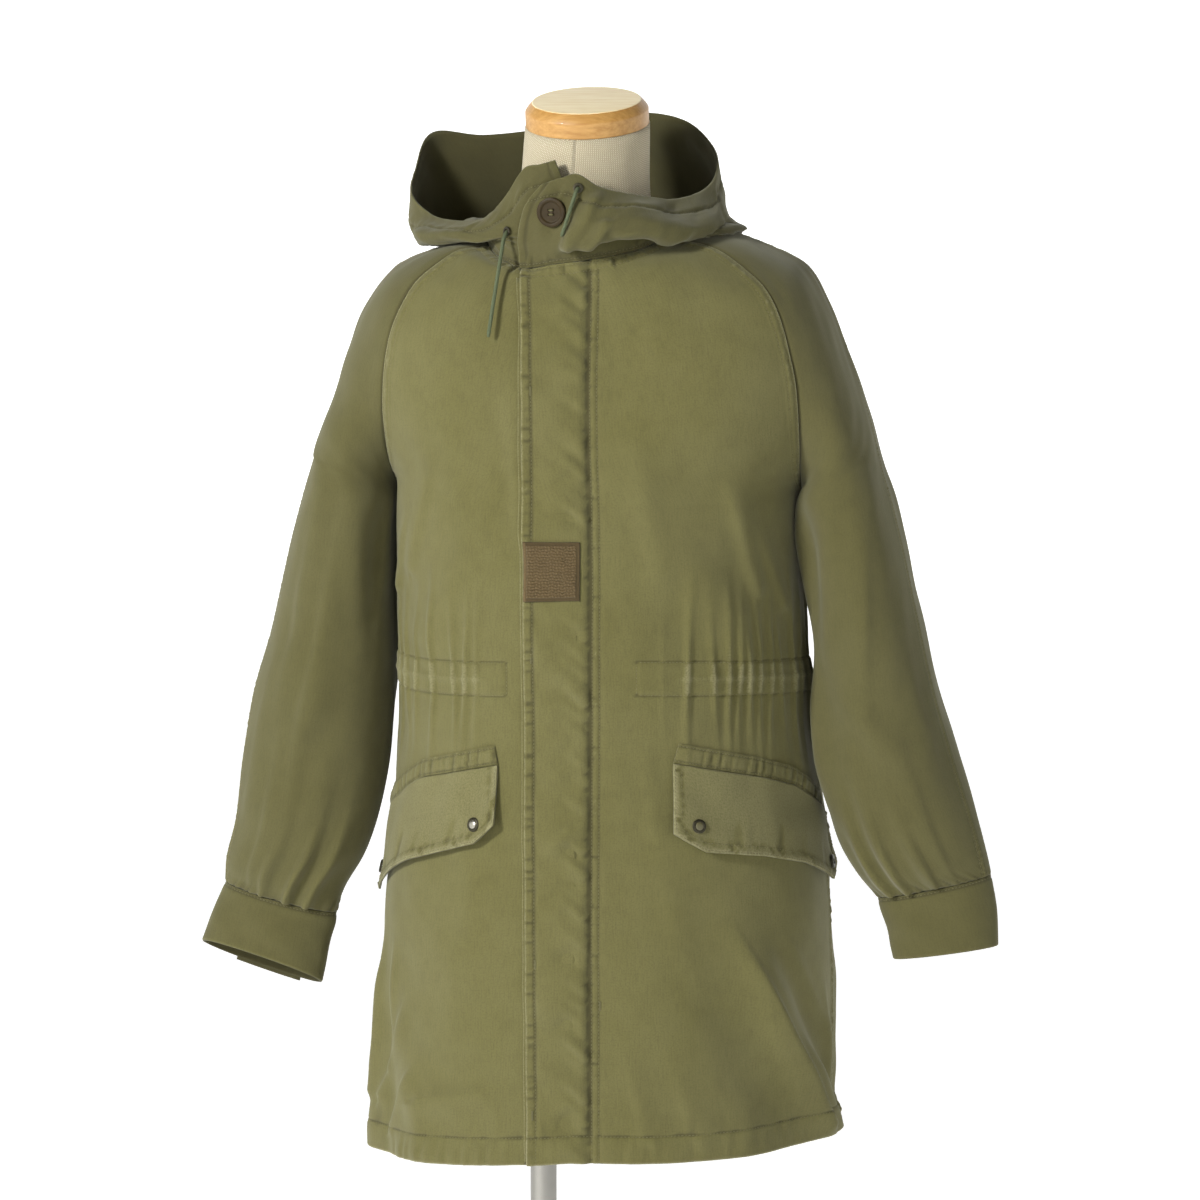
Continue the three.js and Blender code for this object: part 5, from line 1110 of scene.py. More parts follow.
# Sleeve rings from cuff to armhole: the point nearest the body, the farthest one, how the ring
# stands front to back, where the overarm seam runs, and how full its corners are.
SLEEVE_COLUMNS = "in_x in_z out_x out_z middle_y depth turn full"
LEFT_SLEEVE = Table(
    SLEEVE_COLUMNS,
    (261, 765.5, 366, 790.5, -22, 27, 24, 2),
    (241, 789, 361.5, 812, -20, 40, 24, 2),
    (222, 823, 352, 846, -16, 52, 23, 2),
    (209, 876, 334, 899, -10, 61, 22, 2),
    (205, 935, 315, 958, -4, 67, 20, 2),
    (205, 995, 299, 1018, 0, 71, 17, 2),
    (202, 1055, 284, 1079, 2, 73, 13, 2.1),
    (194, 1108, 270, 1133, 2, 73, 8, 2.4),
    (185, 1140, 259.5, 1161, 2, 71, 4, 2.7),
)
RIGHT_SLEEVE = Table(
    SLEEVE_COLUMNS,
    (250, 735, 357, 762, -25, 27, 20, 2),
    (243, 758, 356.5, 785, -22, 40, 20, 2),
    (222, 797, 347.5, 824, -17, 50, 19, 2),
    (206, 855, 341.5, 882, -10, 58, 18, 2),
    (200, 915, 331.5, 943, -4, 62, 16, 2),
    (199, 975, 314.5, 1002, 0, 65, 14, 2),
    (198.5, 1040, 299.5, 1066, 2, 68, 11, 2.1),
    (197, 1104, 282.5, 1130, 2, 70, 7, 2.4),
    (192, 1140, 272, 1160, 2, 70, 4, 2.7),
)
SHOULDER_COLUMNS = "top_x top_y top_z leave near far"
LEFT_SHOULDER = Table(
    SHOULDER_COLUMNS,
    (259.5, 2, 1161, -90, 94, 94),
    (254, 4, 1183, -62, 62, 82),
    (247, 6, 1207, -32, 46, 74),
    (237, 8, 1238, -6, 33, 60),
    (225, 9, 1272, 12, 30, 50),
    (209, 10, 1310, 24, 32, 44),
    (184, 9, 1349, 30, 34, 42),
    (139, 5, 1371, 32, 32, 34),
)
RIGHT_SHOULDER = Table(
    SHOULDER_COLUMNS,
    (272, 2, 1160, -90, 94, 94),
    (266.5, 4, 1182, -58, 64, 82),
    (259.5, 6, 1206, -28, 49, 74),
    (250, 8, 1236, -4, 36, 60),
    (238, 9, 1270, 13, 34, 50),
    (221, 10, 1309, 24, 34, 44),
    (193, 9, 1344, 30, 36, 42),
    (141, 5, 1364, 32, 32, 34),
)
CUFF_COLUMNS = "in_x in_z out_x out_z middle_y depth dip"
LEFT_CUFF = Table(
    CUFF_COLUMNS,
    (261, 765.4, 366, 790.4, -22, 27, 0),
    (270, 737, 372, 759, -25, 25.5, 1),
    (277, 709, 374, 725, -28, 25, 2),
)
RIGHT_CUFF = Table(
    CUFF_COLUMNS,
    (250, 734.9, 357, 761.9, -25, 27, 0),
    (257, 701, 369, 733, -29, 26.5, 5),
    (263, 669, 379, 704, -33, 26, 11),
)


@dataclass(frozen=True)
class Pleat:
    """A pleat or fold of a sleeve, from one ring to another, by angle round the ring, where 90
    is the front, 180 the underarm and 0 the outermost point."""

    angle_a: float
    ring_a: float
    angle_b: float
    ring_b: float
    width: float
    lift: float
    lean: float = 0.0

    def relief(self, angle: Array, ring: Array) -> Array:
        """Give how far the cloth stands out: a bell curve of the angle, narrower on the side
        that the pleat leans to, which fades at both ends."""
        share = (ring - self.ring_a) / (self.ring_b - self.ring_a)
        at = mix(self.angle_a, self.angle_b, np.clip(share, 0, 1))
        past = np.maximum(0, np.maximum(-share, share - 1)) * (self.ring_b - self.ring_a)
        start = smooth_step(0, 0.12, ring) if self.ring_a == 0 else smooth_step(-0.4, 0.35, share)
        wide = self.width * (1 + self.lean * np.sign(angle - at))
        fall = np.exp(-(((angle - at) / wide) ** 2) - past * past)
        return self.lift * start * smooth_step(1.15, 0.4, share) * fall


LEFT_PLEATS = (
    Pleat(118, 0, 112, 2.6, 5.5, 4.2, 0.55),
    Pleat(140, 0, 134, 2.9, 6, 4.2, 0.55),
    Pleat(84, 0, 86, 2.2, 5.5, 3.0, 0.5),
    Pleat(-70, 0, -72, 2.4, 6.5, 4.2, -0.5),
    Pleat(-104, 0, -100, 2.8, 6.5, 3.8, -0.5),
)
RIGHT_PLEATS = (
    Pleat(104, 0, 112, 2.4, 5.5, 4.2, 0.55),
    Pleat(128, 0, 138, 2.8, 6, 4.2, 0.55),
    Pleat(74, 0, 80, 2.0, 5.5, 2.5, 0.5),
    Pleat(-70, 0, -72, 2.4, 6.5, 4.2, -0.5),
    Pleat(-104, 0, -100, 2.8, 6.5, 3.8, -0.5),
)
LEFT_SLEEVE_FOLDS = (
    Pleat(152, 7.7, 151, 5.3, 12, 9.5),
    Pleat(152, 5.2, 151, 7.4, 12, 9.0),
    Pleat(152, 2.6, 151, 4.9, 12, 8.0),
    Pleat(152, 4.9, 151, 3.0, 12, 6.0),
    Pleat(80, 3.2, 112, 4.4, 15, 5.0),
    Pleat(128, 5, 105, 7.6, 14, 4.6),
    Pleat(62, 0.3, 70, 3.6, 7, 2.4, 0.5),
    Pleat(100, 0.3, 98, 3.8, 8, -2.2, 0.3),
    Pleat(129, 0.3, 124, 3.2, 6, -2.4, 0.3),
    Pleat(95, 4.2, 70, 6.8, 10, 3.0, 0.4),
    Pleat(-60, 3.0, -85, 4.6, 12, 3.2, 0.3),
    Pleat(-95, 4.6, -70, 7.0, 13, 3.4, 0.3),
    Pleat(-130, 5.6, -110, 7.6, 10, 2.2, 0.3),
    Pleat(-88, 0.4, -84, 3.2, 8, -1.5, 0.3),
    Pleat(40, 2.6, 52, 5.0, 9, 1.2, 0.3),
)
RIGHT_SLEEVE_FOLDS = (
    Pleat(-158, 7.6, -157, 5.0, 10, 6.0),
    Pleat(-158, 4.4, -157, 6.8, 10, 6.0),
    Pleat(148, 7.4, 146, 4.6, 12, 5.0, 0.3),
    Pleat(78, 3.4, 108, 4.8, 15, 5.0),
    Pleat(126, 5.2, 100, 7.8, 14, 4.6),
    Pleat(60, 0.3, 68, 3.8, 7, 2.2, 0.5),
    Pleat(90, 0.3, 96, 4.0, 8, -2.2, 0.3),
    Pleat(117, 0.3, 124, 3.2, 6, -2.4, 0.3),
    Pleat(84, 3.4, 96, 7.4, 9, 3.4, 0.5),
    Pleat(62, 4.4, 72, 7.4, 10, 2.6, 0.4),
    Pleat(-60, 3.2, -85, 4.8, 12, 3.2, 0.3),
    Pleat(-95, 4.4, -70, 7.2, 13, 3.4, 0.3),
    Pleat(-130, 5.4, -110, 7.6, 10, 2.2, 0.3),
    Pleat(-88, 0.4, -84, 3.2, 8, -1.5, 0.3),
    Pleat(36, 2.2, 50, 5.2, 9, 1.4, 0.3),
)


@dataclass
class Sleeve:
    """One raglan sleeve in two halves, with its cuff and the cuff's lapped end.

    Its sizes are those of a left arm; a right arm's are mirrored.
    """

    side: int
    rings: Table
    shoulder: Table
    cuff: Table
    pleats: tuple[Pleat, ...]
    folds: tuple[Pleat, ...]
    cloth: float = 1.6
    cuff_cloth: float = 2.6

    def ring_points(self, ring: Array, angle: Array) -> tuple[Array, Array]:
        """Give points of the sleeve below the armhole, and the ways out from its middle.

        A ring is an ellipse between its nearest and farthest points, with its cosine and
        sine raised to 2 / full, so that it is fuller by the armhole.

        Args:
            ring: ring numbers.
            angle: angles round the ring, broadcast with them.
        Returns:
            The points and the outward ways.
        """
        row = self.rings.at(ring)
        turn = np.radians(angle)
        c, s = np.cos(turn), np.sin(turn)
        bend = 2 / row["full"]
        cos_part = np.sign(c) * np.abs(c) ** bend
        sin_part = np.sign(s) * np.abs(s) ** bend
        middle_x, middle_z = (row["in_x"] + row["out_x"]) / 2, (row["in_z"] + row["out_z"]) / 2
        armhole = smooth_step(len(self.rings.rows) - 2, len(self.rings.rows) - 1, ring)
        x = middle_x + (row["out_x"] - row["in_x"]) / 2 * cos_part
        z = middle_z + (row["out_z"] - row["in_z"]) / 2 * cos_part
        y = row["middle_y"] - row["depth"] * sin_part - armhole * row["middle_y"] * (1 - c) / 2
        points = vectors(x, y, z)
        return points, unit(points - vectors(middle_x, row["middle_y"], middle_z))

    def shoulder_points(self, step: Array, facing: int, t: Array) -> Array:
        """Give points above the armhole: Bezier curves between raglan and overarm seams."""
        row = self.shoulder.at(step)
        seam = BodyForm.raglan(step, self.side, facing) * np.array([self.side, 1, 1])
        top = vectors(row["top_x"], row["top_y"], row["top_z"])
        leave = np.radians(row["leave"])
        third = (top[..., 2] - seam[..., 2]) / 3
        by_seam = seam + vectors(
            np.cos(leave) * row["near"], -facing * np.sin(leave) * row["near"], third
        )
        by_top = top + vectors(0.0, facing * row["far"], -third)
        if facing < 0:
            return bezier(seam, by_seam, by_top, top, t)
        return bezier(top, by_top, by_seam, seam, t)

    def half(self, facing: int) -> tuple[Wall, Array]:
        """Make the front or back half, from cuff to neck, and give its lengths across."""
        edge = tuple(o for o in EDGE_OFFS if o < 9)
        columns = Columns.joined(
            group(0, 0, edge), between((0, 0, 8.2), (1, 0, -8.2), 54), group(1, 0, mirrored(edge))
        )
        rings = np.concatenate([[0, 0.02, 0.05], np.linspace(0.1, 8, 166)])
        steps = np.linspace(0, 7, 64)[5:]
        necks = np.linspace(0, 1, 21)[1:]
        t = np.linspace(0, 1, 140)
        overarm = self.rings.at(rings)["turn"][:, None]
        angles = mix(180.0, overarm, t) if facing < 0 else mix(overarm, -180.0, t)
        low, _ = self.ring_points(rings[:, None], angles)
        high = self.shoulder_points(steps[:, None], facing, t)
        last = self.shoulder_points(np.array([[6.9], [7.0]]), facing, t)
        seam = FRONT_NECK_ANGLE if facing < 0 else BACK_NECK_ANGLE
        ends = (seam, OVERARM_NECK_ANGLE) if facing < 0 else (OVERARM_NECK_ANGLE, seam)
        neck = BodyForm.neck(self.side * mix(*ends, t)) * np.array([self.side, 1, 1])
        zero = np.zeros(200)
        lower, across = columns.take(low, zero[: len(low)])
        upper, across_high = columns.take(high, zero[: len(high)])
        last, _ = columns.take(last, zero[:2])
        top, across_top = columns.take(neck[None], zero[:1])
        leave = unit(last[1] - last[0]) * np.linalg.norm(top[0] - last[1], axis=-1, keepdims=True)
        rise = cubic(last[1], leave, top[0], top[0] - last[1], necks[:, None, None])
        form = np.concatenate([lower, upper, rise])
        across = np.concatenate([across, across_high, np.repeat(across_top, len(rise), axis=0)])
        place = np.concatenate([rings, 8 + steps, 15 + necks])
        if len(place) % 2 == 0:
            keep = np.arange(len(place)) != 60
            form, across, place = form[keep], across[keep], place[keep]
        weight = 0.9 * bell((place - 8.2) * 40, 45) + 0.6 * bell((place - 15) * 30, 14)
        form = soften_rows(form, np.clip(weight, 0, 0.9), 40)
        left = across[:, -1:] - across
        share = across / across[:, -1:]
        turn = self.rings.at(np.clip(place, 0, 8))["turn"][:, None]
        angle = mix(180.0, turn, share) if facing < 0 else mix(turn, -180.0, share)
        up = lengths_up(form)
        down = up[-1:] - up
        ring = np.broadcast_to(np.minimum(place, 9)[:, None], share.shape)
        held = np.minimum(1, np.minimum(8 * share, 8 * (1 - share)))
        below = smooth_step(8.6, 7.6, place)[:, None]
        soft = sum(f.relief(angle, ring) for f in self.folds) * below * held
        soft += (
            undulation(across + 40 * facing, up, 88, 2.2 + self.side)
            * held * smooth_step(0, 0.4, ring) * smooth_step(4, 30, down)
        )
        soft += 0.35 * undulation(across, up * 0.6, 34, 5.2 + self.side) * held
        sharp = 1.5 * sum(p.relief(angle, ring) for p in self.pleats) * held
        by_cuff = puckers(across, up, 9, 1.2, 12, 1.5) + rounded(up, 0.7)
        overarm_away = left if facing < 0 else across
        raglan_away = across if facing < 0 else left
        on_yoke = smooth_step(8.0, 8.8, place)[:, None]
        fine = sharp + by_cuff - 0.9 * bell(raglan_away, 2.5) * on_yoke
        fine += groove(overarm_away - 2.2, 0.7) + 0.7 * smooth_step(6, 3, overarm_away)
        fine += puckers(up, overarm_away - 2, 8, 0.5, 3.5, 0.8) + rounded(overarm_away, 0.8)
        fine += -0.4 * bell(raglan_away, 1.5) * (1 - on_yoke) + rounded(down, 0.4)
        wear_and_shade = 0.6 * bell(overarm_away, 1.4) + 0.3 * smooth_step(3.4, 6.2, sharp)
        if self.side < 0:
            form, soft, fine, wear_and_shade = self.mirror(form), soft[:, ::-1], fine[:, ::-1], wear_and_shade[:, ::-1]
            across = left[:, ::-1]
        wall = Wall(form, soft, fine, self.cloth, wear_and_shade=np.clip(wear_and_shade, 0, 1) - SLEEVE_HOOD_DARKENING)
        return wall, across

    def mirror(self, form: Array) -> Array:
        """Mirror a left arm's grid into a right arm's, with its outside still out."""
        return (form * np.array([-1, 1, 1]))[:, ::-1]

    def cuff_points(self, place: Array, angle: Array, out: Array | float = 0.0) -> Array:
        """Give points of the cuff: ellipses that drop towards the front by the table's dip."""
        row = self.cuff.at(place)
        turn = np.radians(angle)
        half_x, half_z = (row["out_x"] - row["in_x"]) / 2, (row["out_z"] - row["in_z"]) / 2
        wide = np.hypot(half_x, half_z)
        reach = np.cos(turn) * (wide + out) / wide
        return vectors(
            (row["in_x"] + row["out_x"]) / 2 + half_x * reach,
            row["middle_y"] - (row["depth"] + out) * np.sin(turn),
            (row["in_z"] + row["out_z"]) / 2 + half_z * reach + row["dip"] * np.sin(turn),
        )

    def cuff_wall(self) -> Wall:
        """Make the cuff, a doubled ring that is sewn to the sleeve and folded at its mouth."""
        around = 128
        angle = -360 * np.arange(around) / around
        place = np.concatenate([[2, 1.985, 1.95, 1.9], np.linspace(1.82, 0.16, 24),
                                [0.1, 0.06, 0.03, 0.015, 0]])
        form = self.cuff_points(place[:, None], angle[None, :])
        up = lengths_up(form)
        down = up[-1:] - up
        round_it = np.broadcast_to(-angle / 360 * 270, up.shape)
        broad = 0.9 * undulation(round_it, up, 48, 3.3 + self.side) * smooth_step(0, 20, up)
        broad = broad * smooth_step(0, 14, down) * (1 - bell(round_it - 68, 34))
        blend = smooth_step(0, 24, round_it) * smooth_step(270, 246, round_it)
        fine = groove(down - 2.6, 0.8) + rounded(up, 1.0) + rounded(down, 1.0)
        fine = fine + puckers(round_it, down - 2, 8, 0.3, 4, 0.6) * blend
        wear_and_shade = 0.7 * bell(up, 1.3) + 0.25 * bell(down, 1.5)
        if self.side < 0:
            form, broad, fine = self.mirror(form), broad[:, ::-1], fine[:, ::-1]
            wear_and_shade = wear_and_shade[:, ::-1]
        broad = broad * blend[:, :: self.side]
        return Wall(form, broad, fine, self.cuff_cloth, True, wear_and_shade - SLEEVE_HOOD_DARKENING)

    def cuff_end(self) -> Wall:
        """Make the cuff's end, which laps over it at the back."""
        place = np.array([2.1, 2.08, 2.0, 1.7, 1.45, 1.2, 0.9, 0.6, 0.4, 0.33, 0.3])
        share = np.array([0, 0.02, 0.05, 0.15, 0.3, 0.45, 0.6, 0.75, 0.9, 0.97, 1])
        form = self.cuff_points(place[:, None], -60 - 62 * share[None, :], 0.5 + self.cloth)
        away = np.minimum(np.minimum(share, 1 - share) * 55, np.minimum(
            (2.1 - place) * 33, (place - 0.3) * 33)[:, None])
        wear_and_shade = 0.8 * bell(away, 2)
        if self.side < 0:
            form, wear_and_shade = self.mirror(form), wear_and_shade[:, ::-1]
        return Wall(form, 0.0, rounded(away, 0.5), self.cloth, wear_and_shade=wear_and_shade - SLEEVE_HOOD_DARKENING)


def traced(
    wall: Wall, measure: Array, value: Array | float, up: bool = False
) -> tuple[Array, Array]:
    """Trace on a wall's outside where a measure that rises along each row takes a value.

    Args:
        wall: the wall.
        measure: the measure at the wall's points, R x C.
        value: the value, or one for each row.
        up: go up the columns in place of along the rows.
    Returns:
        The line's points and its outward ways.
    """
    points, normals = wall.outside, wall.normals
    if up:
        points, normals, measure = points.transpose(1, 0, 2), normals.transpose(1, 0, 2), measure.T
    wanted = np.broadcast_to(value, (len(measure),))[:, None]
    return at_length(points, measure, wanted)[:, 0], unit(at_length(normals, measure, wanted)[:, 0])


@dataclass
class Stitching:
    """Lines of thread that lie on the cloth, one short stitch after another."""

    pitch: float = 3.3
    length: float = 2.5
    width: float = 0.62
    tack_pitch: float = 0.55
    centres: list[Array] = field(default_factory=list)
    ways: list[Array] = field(default_factory=list)
    outs: list[Array] = field(default_factory=list)

    def sew(self, line: tuple[Array, Array], keep: Array | None = None) -> None:
        """Lay stitches along a line of points with their outward ways, where keep holds."""
        points, normals = line
        if keep is not None:
            points, normals = points[keep], normals[keep]
        along = lengths_along(points)
        step = self.pitch
        wanted = np.arange(step / 2, along[-1] - step / 2, step)[None]
        centre = at_length(points[None], along[None], wanted)[0]
        ahead = at_length(points[None], along[None], wanted + 0.6)[0]
        self.outs.append(unit(at_length(normals[None], along[None], wanted)[0]))
        self.ways.append(unit(ahead - centre))
        self.centres.append(centre)

    def tack(self, centre: Array, way: Array, out: Array, long: float = 9.0) -> None:
        """Lay a bar tack: close stitches side by side across a short bar."""
        count = int(long / self.tack_pitch)
        off = (np.arange(count) - (count - 1) / 2)[:, None] * self.tack_pitch
        across = unit(np.cross(out, way))
        self.centres.append(centre + off * way + out * 0.25)
        self.ways.append(np.repeat(across[None], count, axis=0))
        self.outs.append(np.repeat(out[None], count, axis=0))

    def build(self, name: str, material: bpy.types.Material) -> bpy.types.Object:
        """Make all stitches one piece: each is a bar of four sides that narrows to both ends."""
        centre, way, out = (np.concatenate(a) for a in (self.centres, self.ways, self.outs))
        side = np.cross(out, way)
        along = np.array([-0.5, -0.3, -0.3, -0.3, -0.3, 0.3, 0.3, 0.3, 0.3, 0.5]) * self.length
        turn = np.radians([0, 0, 90, 180, 270, 0, 90, 180, 270, 0])
        thick = np.array([0, 1, 1, 1, 1, 1, 1, 1, 1, 0]) * self.width / 2
        rise = 0.12 - 0.3 * (np.abs(along) > 0.4 * self.length)
        points = (
            centre[:, None]
            + way[:, None] * along[:, None]
            + side[:, None] * (thick * np.cos(turn))[:, None]
            + out[:, None] * (thick * np.sin(turn) * 0.8 + rise)[:, None]
        )
        start = np.arange(len(centre))[:, None, None] * 10
        ends = np.array([[0, 2, 1], [0, 3, 2], [0, 4, 3], [0, 1, 4],
                         [9, 5, 6], [9, 6, 7], [9, 7, 8], [9, 8, 5]])
        sides = np.array([[1, 2, 6, 5], [2, 3, 7, 6], [3, 4, 8, 7], [4, 1, 5, 8]])
        faces = [(start + sides).reshape(-1, 4), (start + ends).reshape(-1, 3)]
        return make_piece(name, points.reshape(-1, 3), faces, material)


# Hood rows from its front end round to the back: the angle at the neck seam, how far the row
# leans on round, and radius and height of the roll over the seam, its low and its outermost
# point, and the rim.
HOOD_COLUMNS = "angle sweep over_r over_z low_r low_z out_r out_z rim_r rim_z"
LEFT_HOOD = Table(
    HOOD_COLUMNS,
    (-33, 15.6, 89, 1358, 91.7, 1372, 90.4, 1404, 87, 1422),
    (-22, 17, 85, 1358, 89, 1372, 88, 1405, 84.5, 1428.5),
    (-9, 15, 83, 1360, 87, 1372, 88, 1404, 85.5, 1432),
    (5, 14, 80, 1370, 97, 1365, 103, 1383, 86.3, 1421.3),
    (22, 13, 79, 1378, 103, 1372, 111, 1390, 86.6, 1415.6),
    (38, 14.6, 83, 1382, 110, 1374, 118, 1389, 88.2, 1411.4),
    (55, 17.4, 94, 1385, 110, 1370, 117, 1382, 92.5, 1408.7),
    (75, 20, 98, 1390, 126, 1374, 130, 1382, 108, 1415),
    (95, 18, 101, 1391, 147, 1379, 130, 1394, 125, 1429),
    (118, 14, 108, 1391, 152, 1373, 144, 1395, 141, 1452),
    (140, 9, 118, 1380, 165, 1346, 174, 1376, 149, 1473),
    (160, 4, 128, 1370, 171, 1306, 190, 1342, 150, 1481),
    (180, 0, 124, 1371, 170, 1290, 197, 1335, 150, 1480),
)
RIGHT_HOOD = Table(
    HOOD_COLUMNS,
    (-5, 17, 75, 1368, 74, 1385, 72.5, 1415, 71.5, 1444),
    (10, 13, 77, 1366, 76.5, 1384, 75, 1412, 74, 1440),
    (24, 10, 82, 1364, 82.5, 1382, 82, 1410, 80, 1436),
    (40, 7, 88, 1368, 90, 1377, 91, 1392, 85.7, 1411.5),
    (55, 4, 93, 1375, 101, 1371, 104, 1381, 92.4, 1394.7),
    (70, -1, 98, 1381, 118, 1368, 124, 1375, 101, 1388),
    (87, 0, 104, 1385, 148, 1364, 156, 1373, 126, 1387),
    (97, 0, 106, 1385, 156, 1362, 167, 1376, 150, 1391),
    (106, 0, 108, 1384, 163, 1359, 182, 1381, 181, 1407),
    (116, 0, 110, 1383, 167, 1354, 191, 1383, 198, 1430),
    (127, 0, 114, 1380, 171, 1347, 198, 1380, 213, 1462),
    (140, 0, 119, 1376, 174, 1336, 195, 1368, 189, 1459.5),
    (160, 0, 128, 1370, 173, 1302, 197, 1340, 156, 1468),
    (180, 0, 124, 1371, 170, 1290, 197, 1335, 150, 1480),
)
HOOD_SHARES = {"over": 0.04, "low": 0.08, "out": 0.42, "rim": 1.0}


def spline(points: list[Array], t: Array) -> Array:
    """Give a centripetal Catmull-Rom curve through points, at shares t of its spans in turn.

    Between two points it is the cubic whose slopes are weighed by the square roots of the
    distances to their neighbours; beyond each end a mirrored point is taken.

    Args:
        points: the points, each an array of the same shape ending in three coordinates.
        t: shares from 0 to 1.
    Returns:
        An array with the shares as its first axis.
    """
    chain = [2 * points[0] - points[1], *points, 2 * points[-1] - points[-2]]
    step = [
        np.sqrt(np.maximum(np.linalg.norm(b - a, axis=-1, keepdims=True), 1e-6))
        for a, b in zip(chain, chain[1:])
    ]
    place = t * (len(points) - 1)
    span = np.minimum(place.astype(int), len(points) - 2)
    spans = []
    for k in range(len(points) - 1):
        a, b, c, d = chain[k : k + 4]
        p, q, r = step[k : k + 3]
        leave = ((b - a) / p - (c - a) / (p + q) + (c - b) / q) * q
        arrive = ((c - b) / q - (d - b) / (q + r) + (d - c) / r) * q
        share = (place[span == k] - k).reshape((-1,) + (1,) * b.ndim)
        spans.append(cubic(b, leave, c, arrive, share))
    return np.concatenate(spans)


@dataclass
class HoodHalf:
    """One half of the hood, folded down round the neck, with a cord casing along its rim."""

    side: int
    table: Table
    lift: float
    cloth: float = 2.0
    casing: float = 20.0
    folds: tuple[Fold, ...] = ()

    def section(self, row: Array, t: Array) -> Array:
        """Give the hood's form at row numbers, one column each, and shares t from seam to rim."""
        read = self.table.at(row)

        def round_neck(name: str) -> Array:
            turn = np.radians(self.side * (read["angle"] + read["sweep"] * HOOD_SHARES[name]))
            radius = read[f"{name}_r"]
            return vectors(
                NECK_CENTRE[0] + radius * np.sin(turn),
                NECK_CENTRE[1] - radius * np.cos(turn),
                read[f"{name}_z"],
            )

        lift = self.lift * smooth_step(14, 8, read["angle"])
        seam = BodyForm.neck(self.side * read["angle"], lift) + np.array([0, 0, 0.3])
        return spline([seam, *(round_neck(name) for name in HOOD_SHARES)], t)

    def wall(self) -> tuple[Wall, Array]:
        """Make the half's wall, and give its lengths up from the neck seam."""
        last = len(self.table.rows) - 1
        row = np.concatenate([[0, 0.02, 0.05, 0.1], np.linspace(0.16, last - 0.04, 132), [last]])
        t = np.concatenate([np.linspace(0, 0.86, 56)[:-1], np.linspace(0.86, 1, 22)])
        t = t if len(t) % 2 else np.delete(t, 20)
        row = row if len(row) % 2 else np.delete(row, 40)
        form = self.section(row, t)
        if self.side < 0:
            form, row = form[:, ::-1], row[::-1]
        across = lengths_along(form)
        up = lengths_up(form)
        down = up[-1:] - up
        front = across if self.side > 0 else across[:, -1:] - across
        place = np.broadcast_to(row, across.shape)
        share = up / up[-1:]
        held = smooth_step(0, 14, up) * smooth_step(0, 10, front + 4) * smooth_step(0, 16, down)
        broad = sum(f.relief(place * 10, share * 100, 0.3) for f in self.folds) * held
        broad += 1.1 * undulation(across, up, 62, 1.7 + self.side) * held
        broad += 0.5 * undulation(across * 1.6, up, 27, 3.9 + self.side) * held
        below = down - self.casing
        broad -= bell(below, 2.2)
        fine = groove(below, 0.5) + puckers(across, below, 10, 0.6, 7, 0.7)
        fine += puckers(across, down - 4, 16, 0.4, 6, 2.9) + rounded(down, 1.0)
        fine += groove(up - 3, 0.8) + puckers(across, up - 5, 9, 0.8, 6, 1.1) + rounded(front, 0.8)
        fine += groove(front - 8, 0.8) * smooth_step(2, 12, up)
        wear_and_shade = 0.8 * bell(down, 1.3) + 0.6 * bell(front, 1.3) + 0.2 * smooth_step(1.5, 3.5, broad)
        wall = Wall(form, broad, fine, self.cloth, wear_and_shade=np.clip(wear_and_shade, 0, 1) - 1.3 * SLEEVE_HOOD_DARKENING)
        return wall, up

    def front_place(self, wall: Wall, x: float, z: float) -> tuple[Array, Array]:
        """Find the point of the wall's front nearest to an x and a height, and its way out."""
        off = (wall.outside[..., 0] - x) ** 2 + (wall.outside[..., 2] - z) ** 2
        off = off + 1e6 * (wall.outside[..., 1] > NECK_CENTRE[1])
        at = np.unravel_index(off.argmin(), off.shape)
        return wall.outside[at], wall.normals[at]


FLAP_COLUMNS = "reach top bottom"
LEFT_FLAP = Table(
    FLAP_COLUMNS,
    (0, 904, 842), (0.06, 902, 833), (0.13, 899, 824), (0.42, 888, 815),
    (0.66, 875, 803), (0.84, 857, 788), (0.94, 846, 777), (1, 838, 792),
)
RIGHT_FLAP = Table(
    FLAP_COLUMNS,
    (0, 901, 846), (0.045, 899, 836), (0.085, 897, 827), (0.43, 880, 803),
    (0.68, 853, 781), (0.86, 836, 764), (0.95, 830, 755), (1, 827, 766),
)


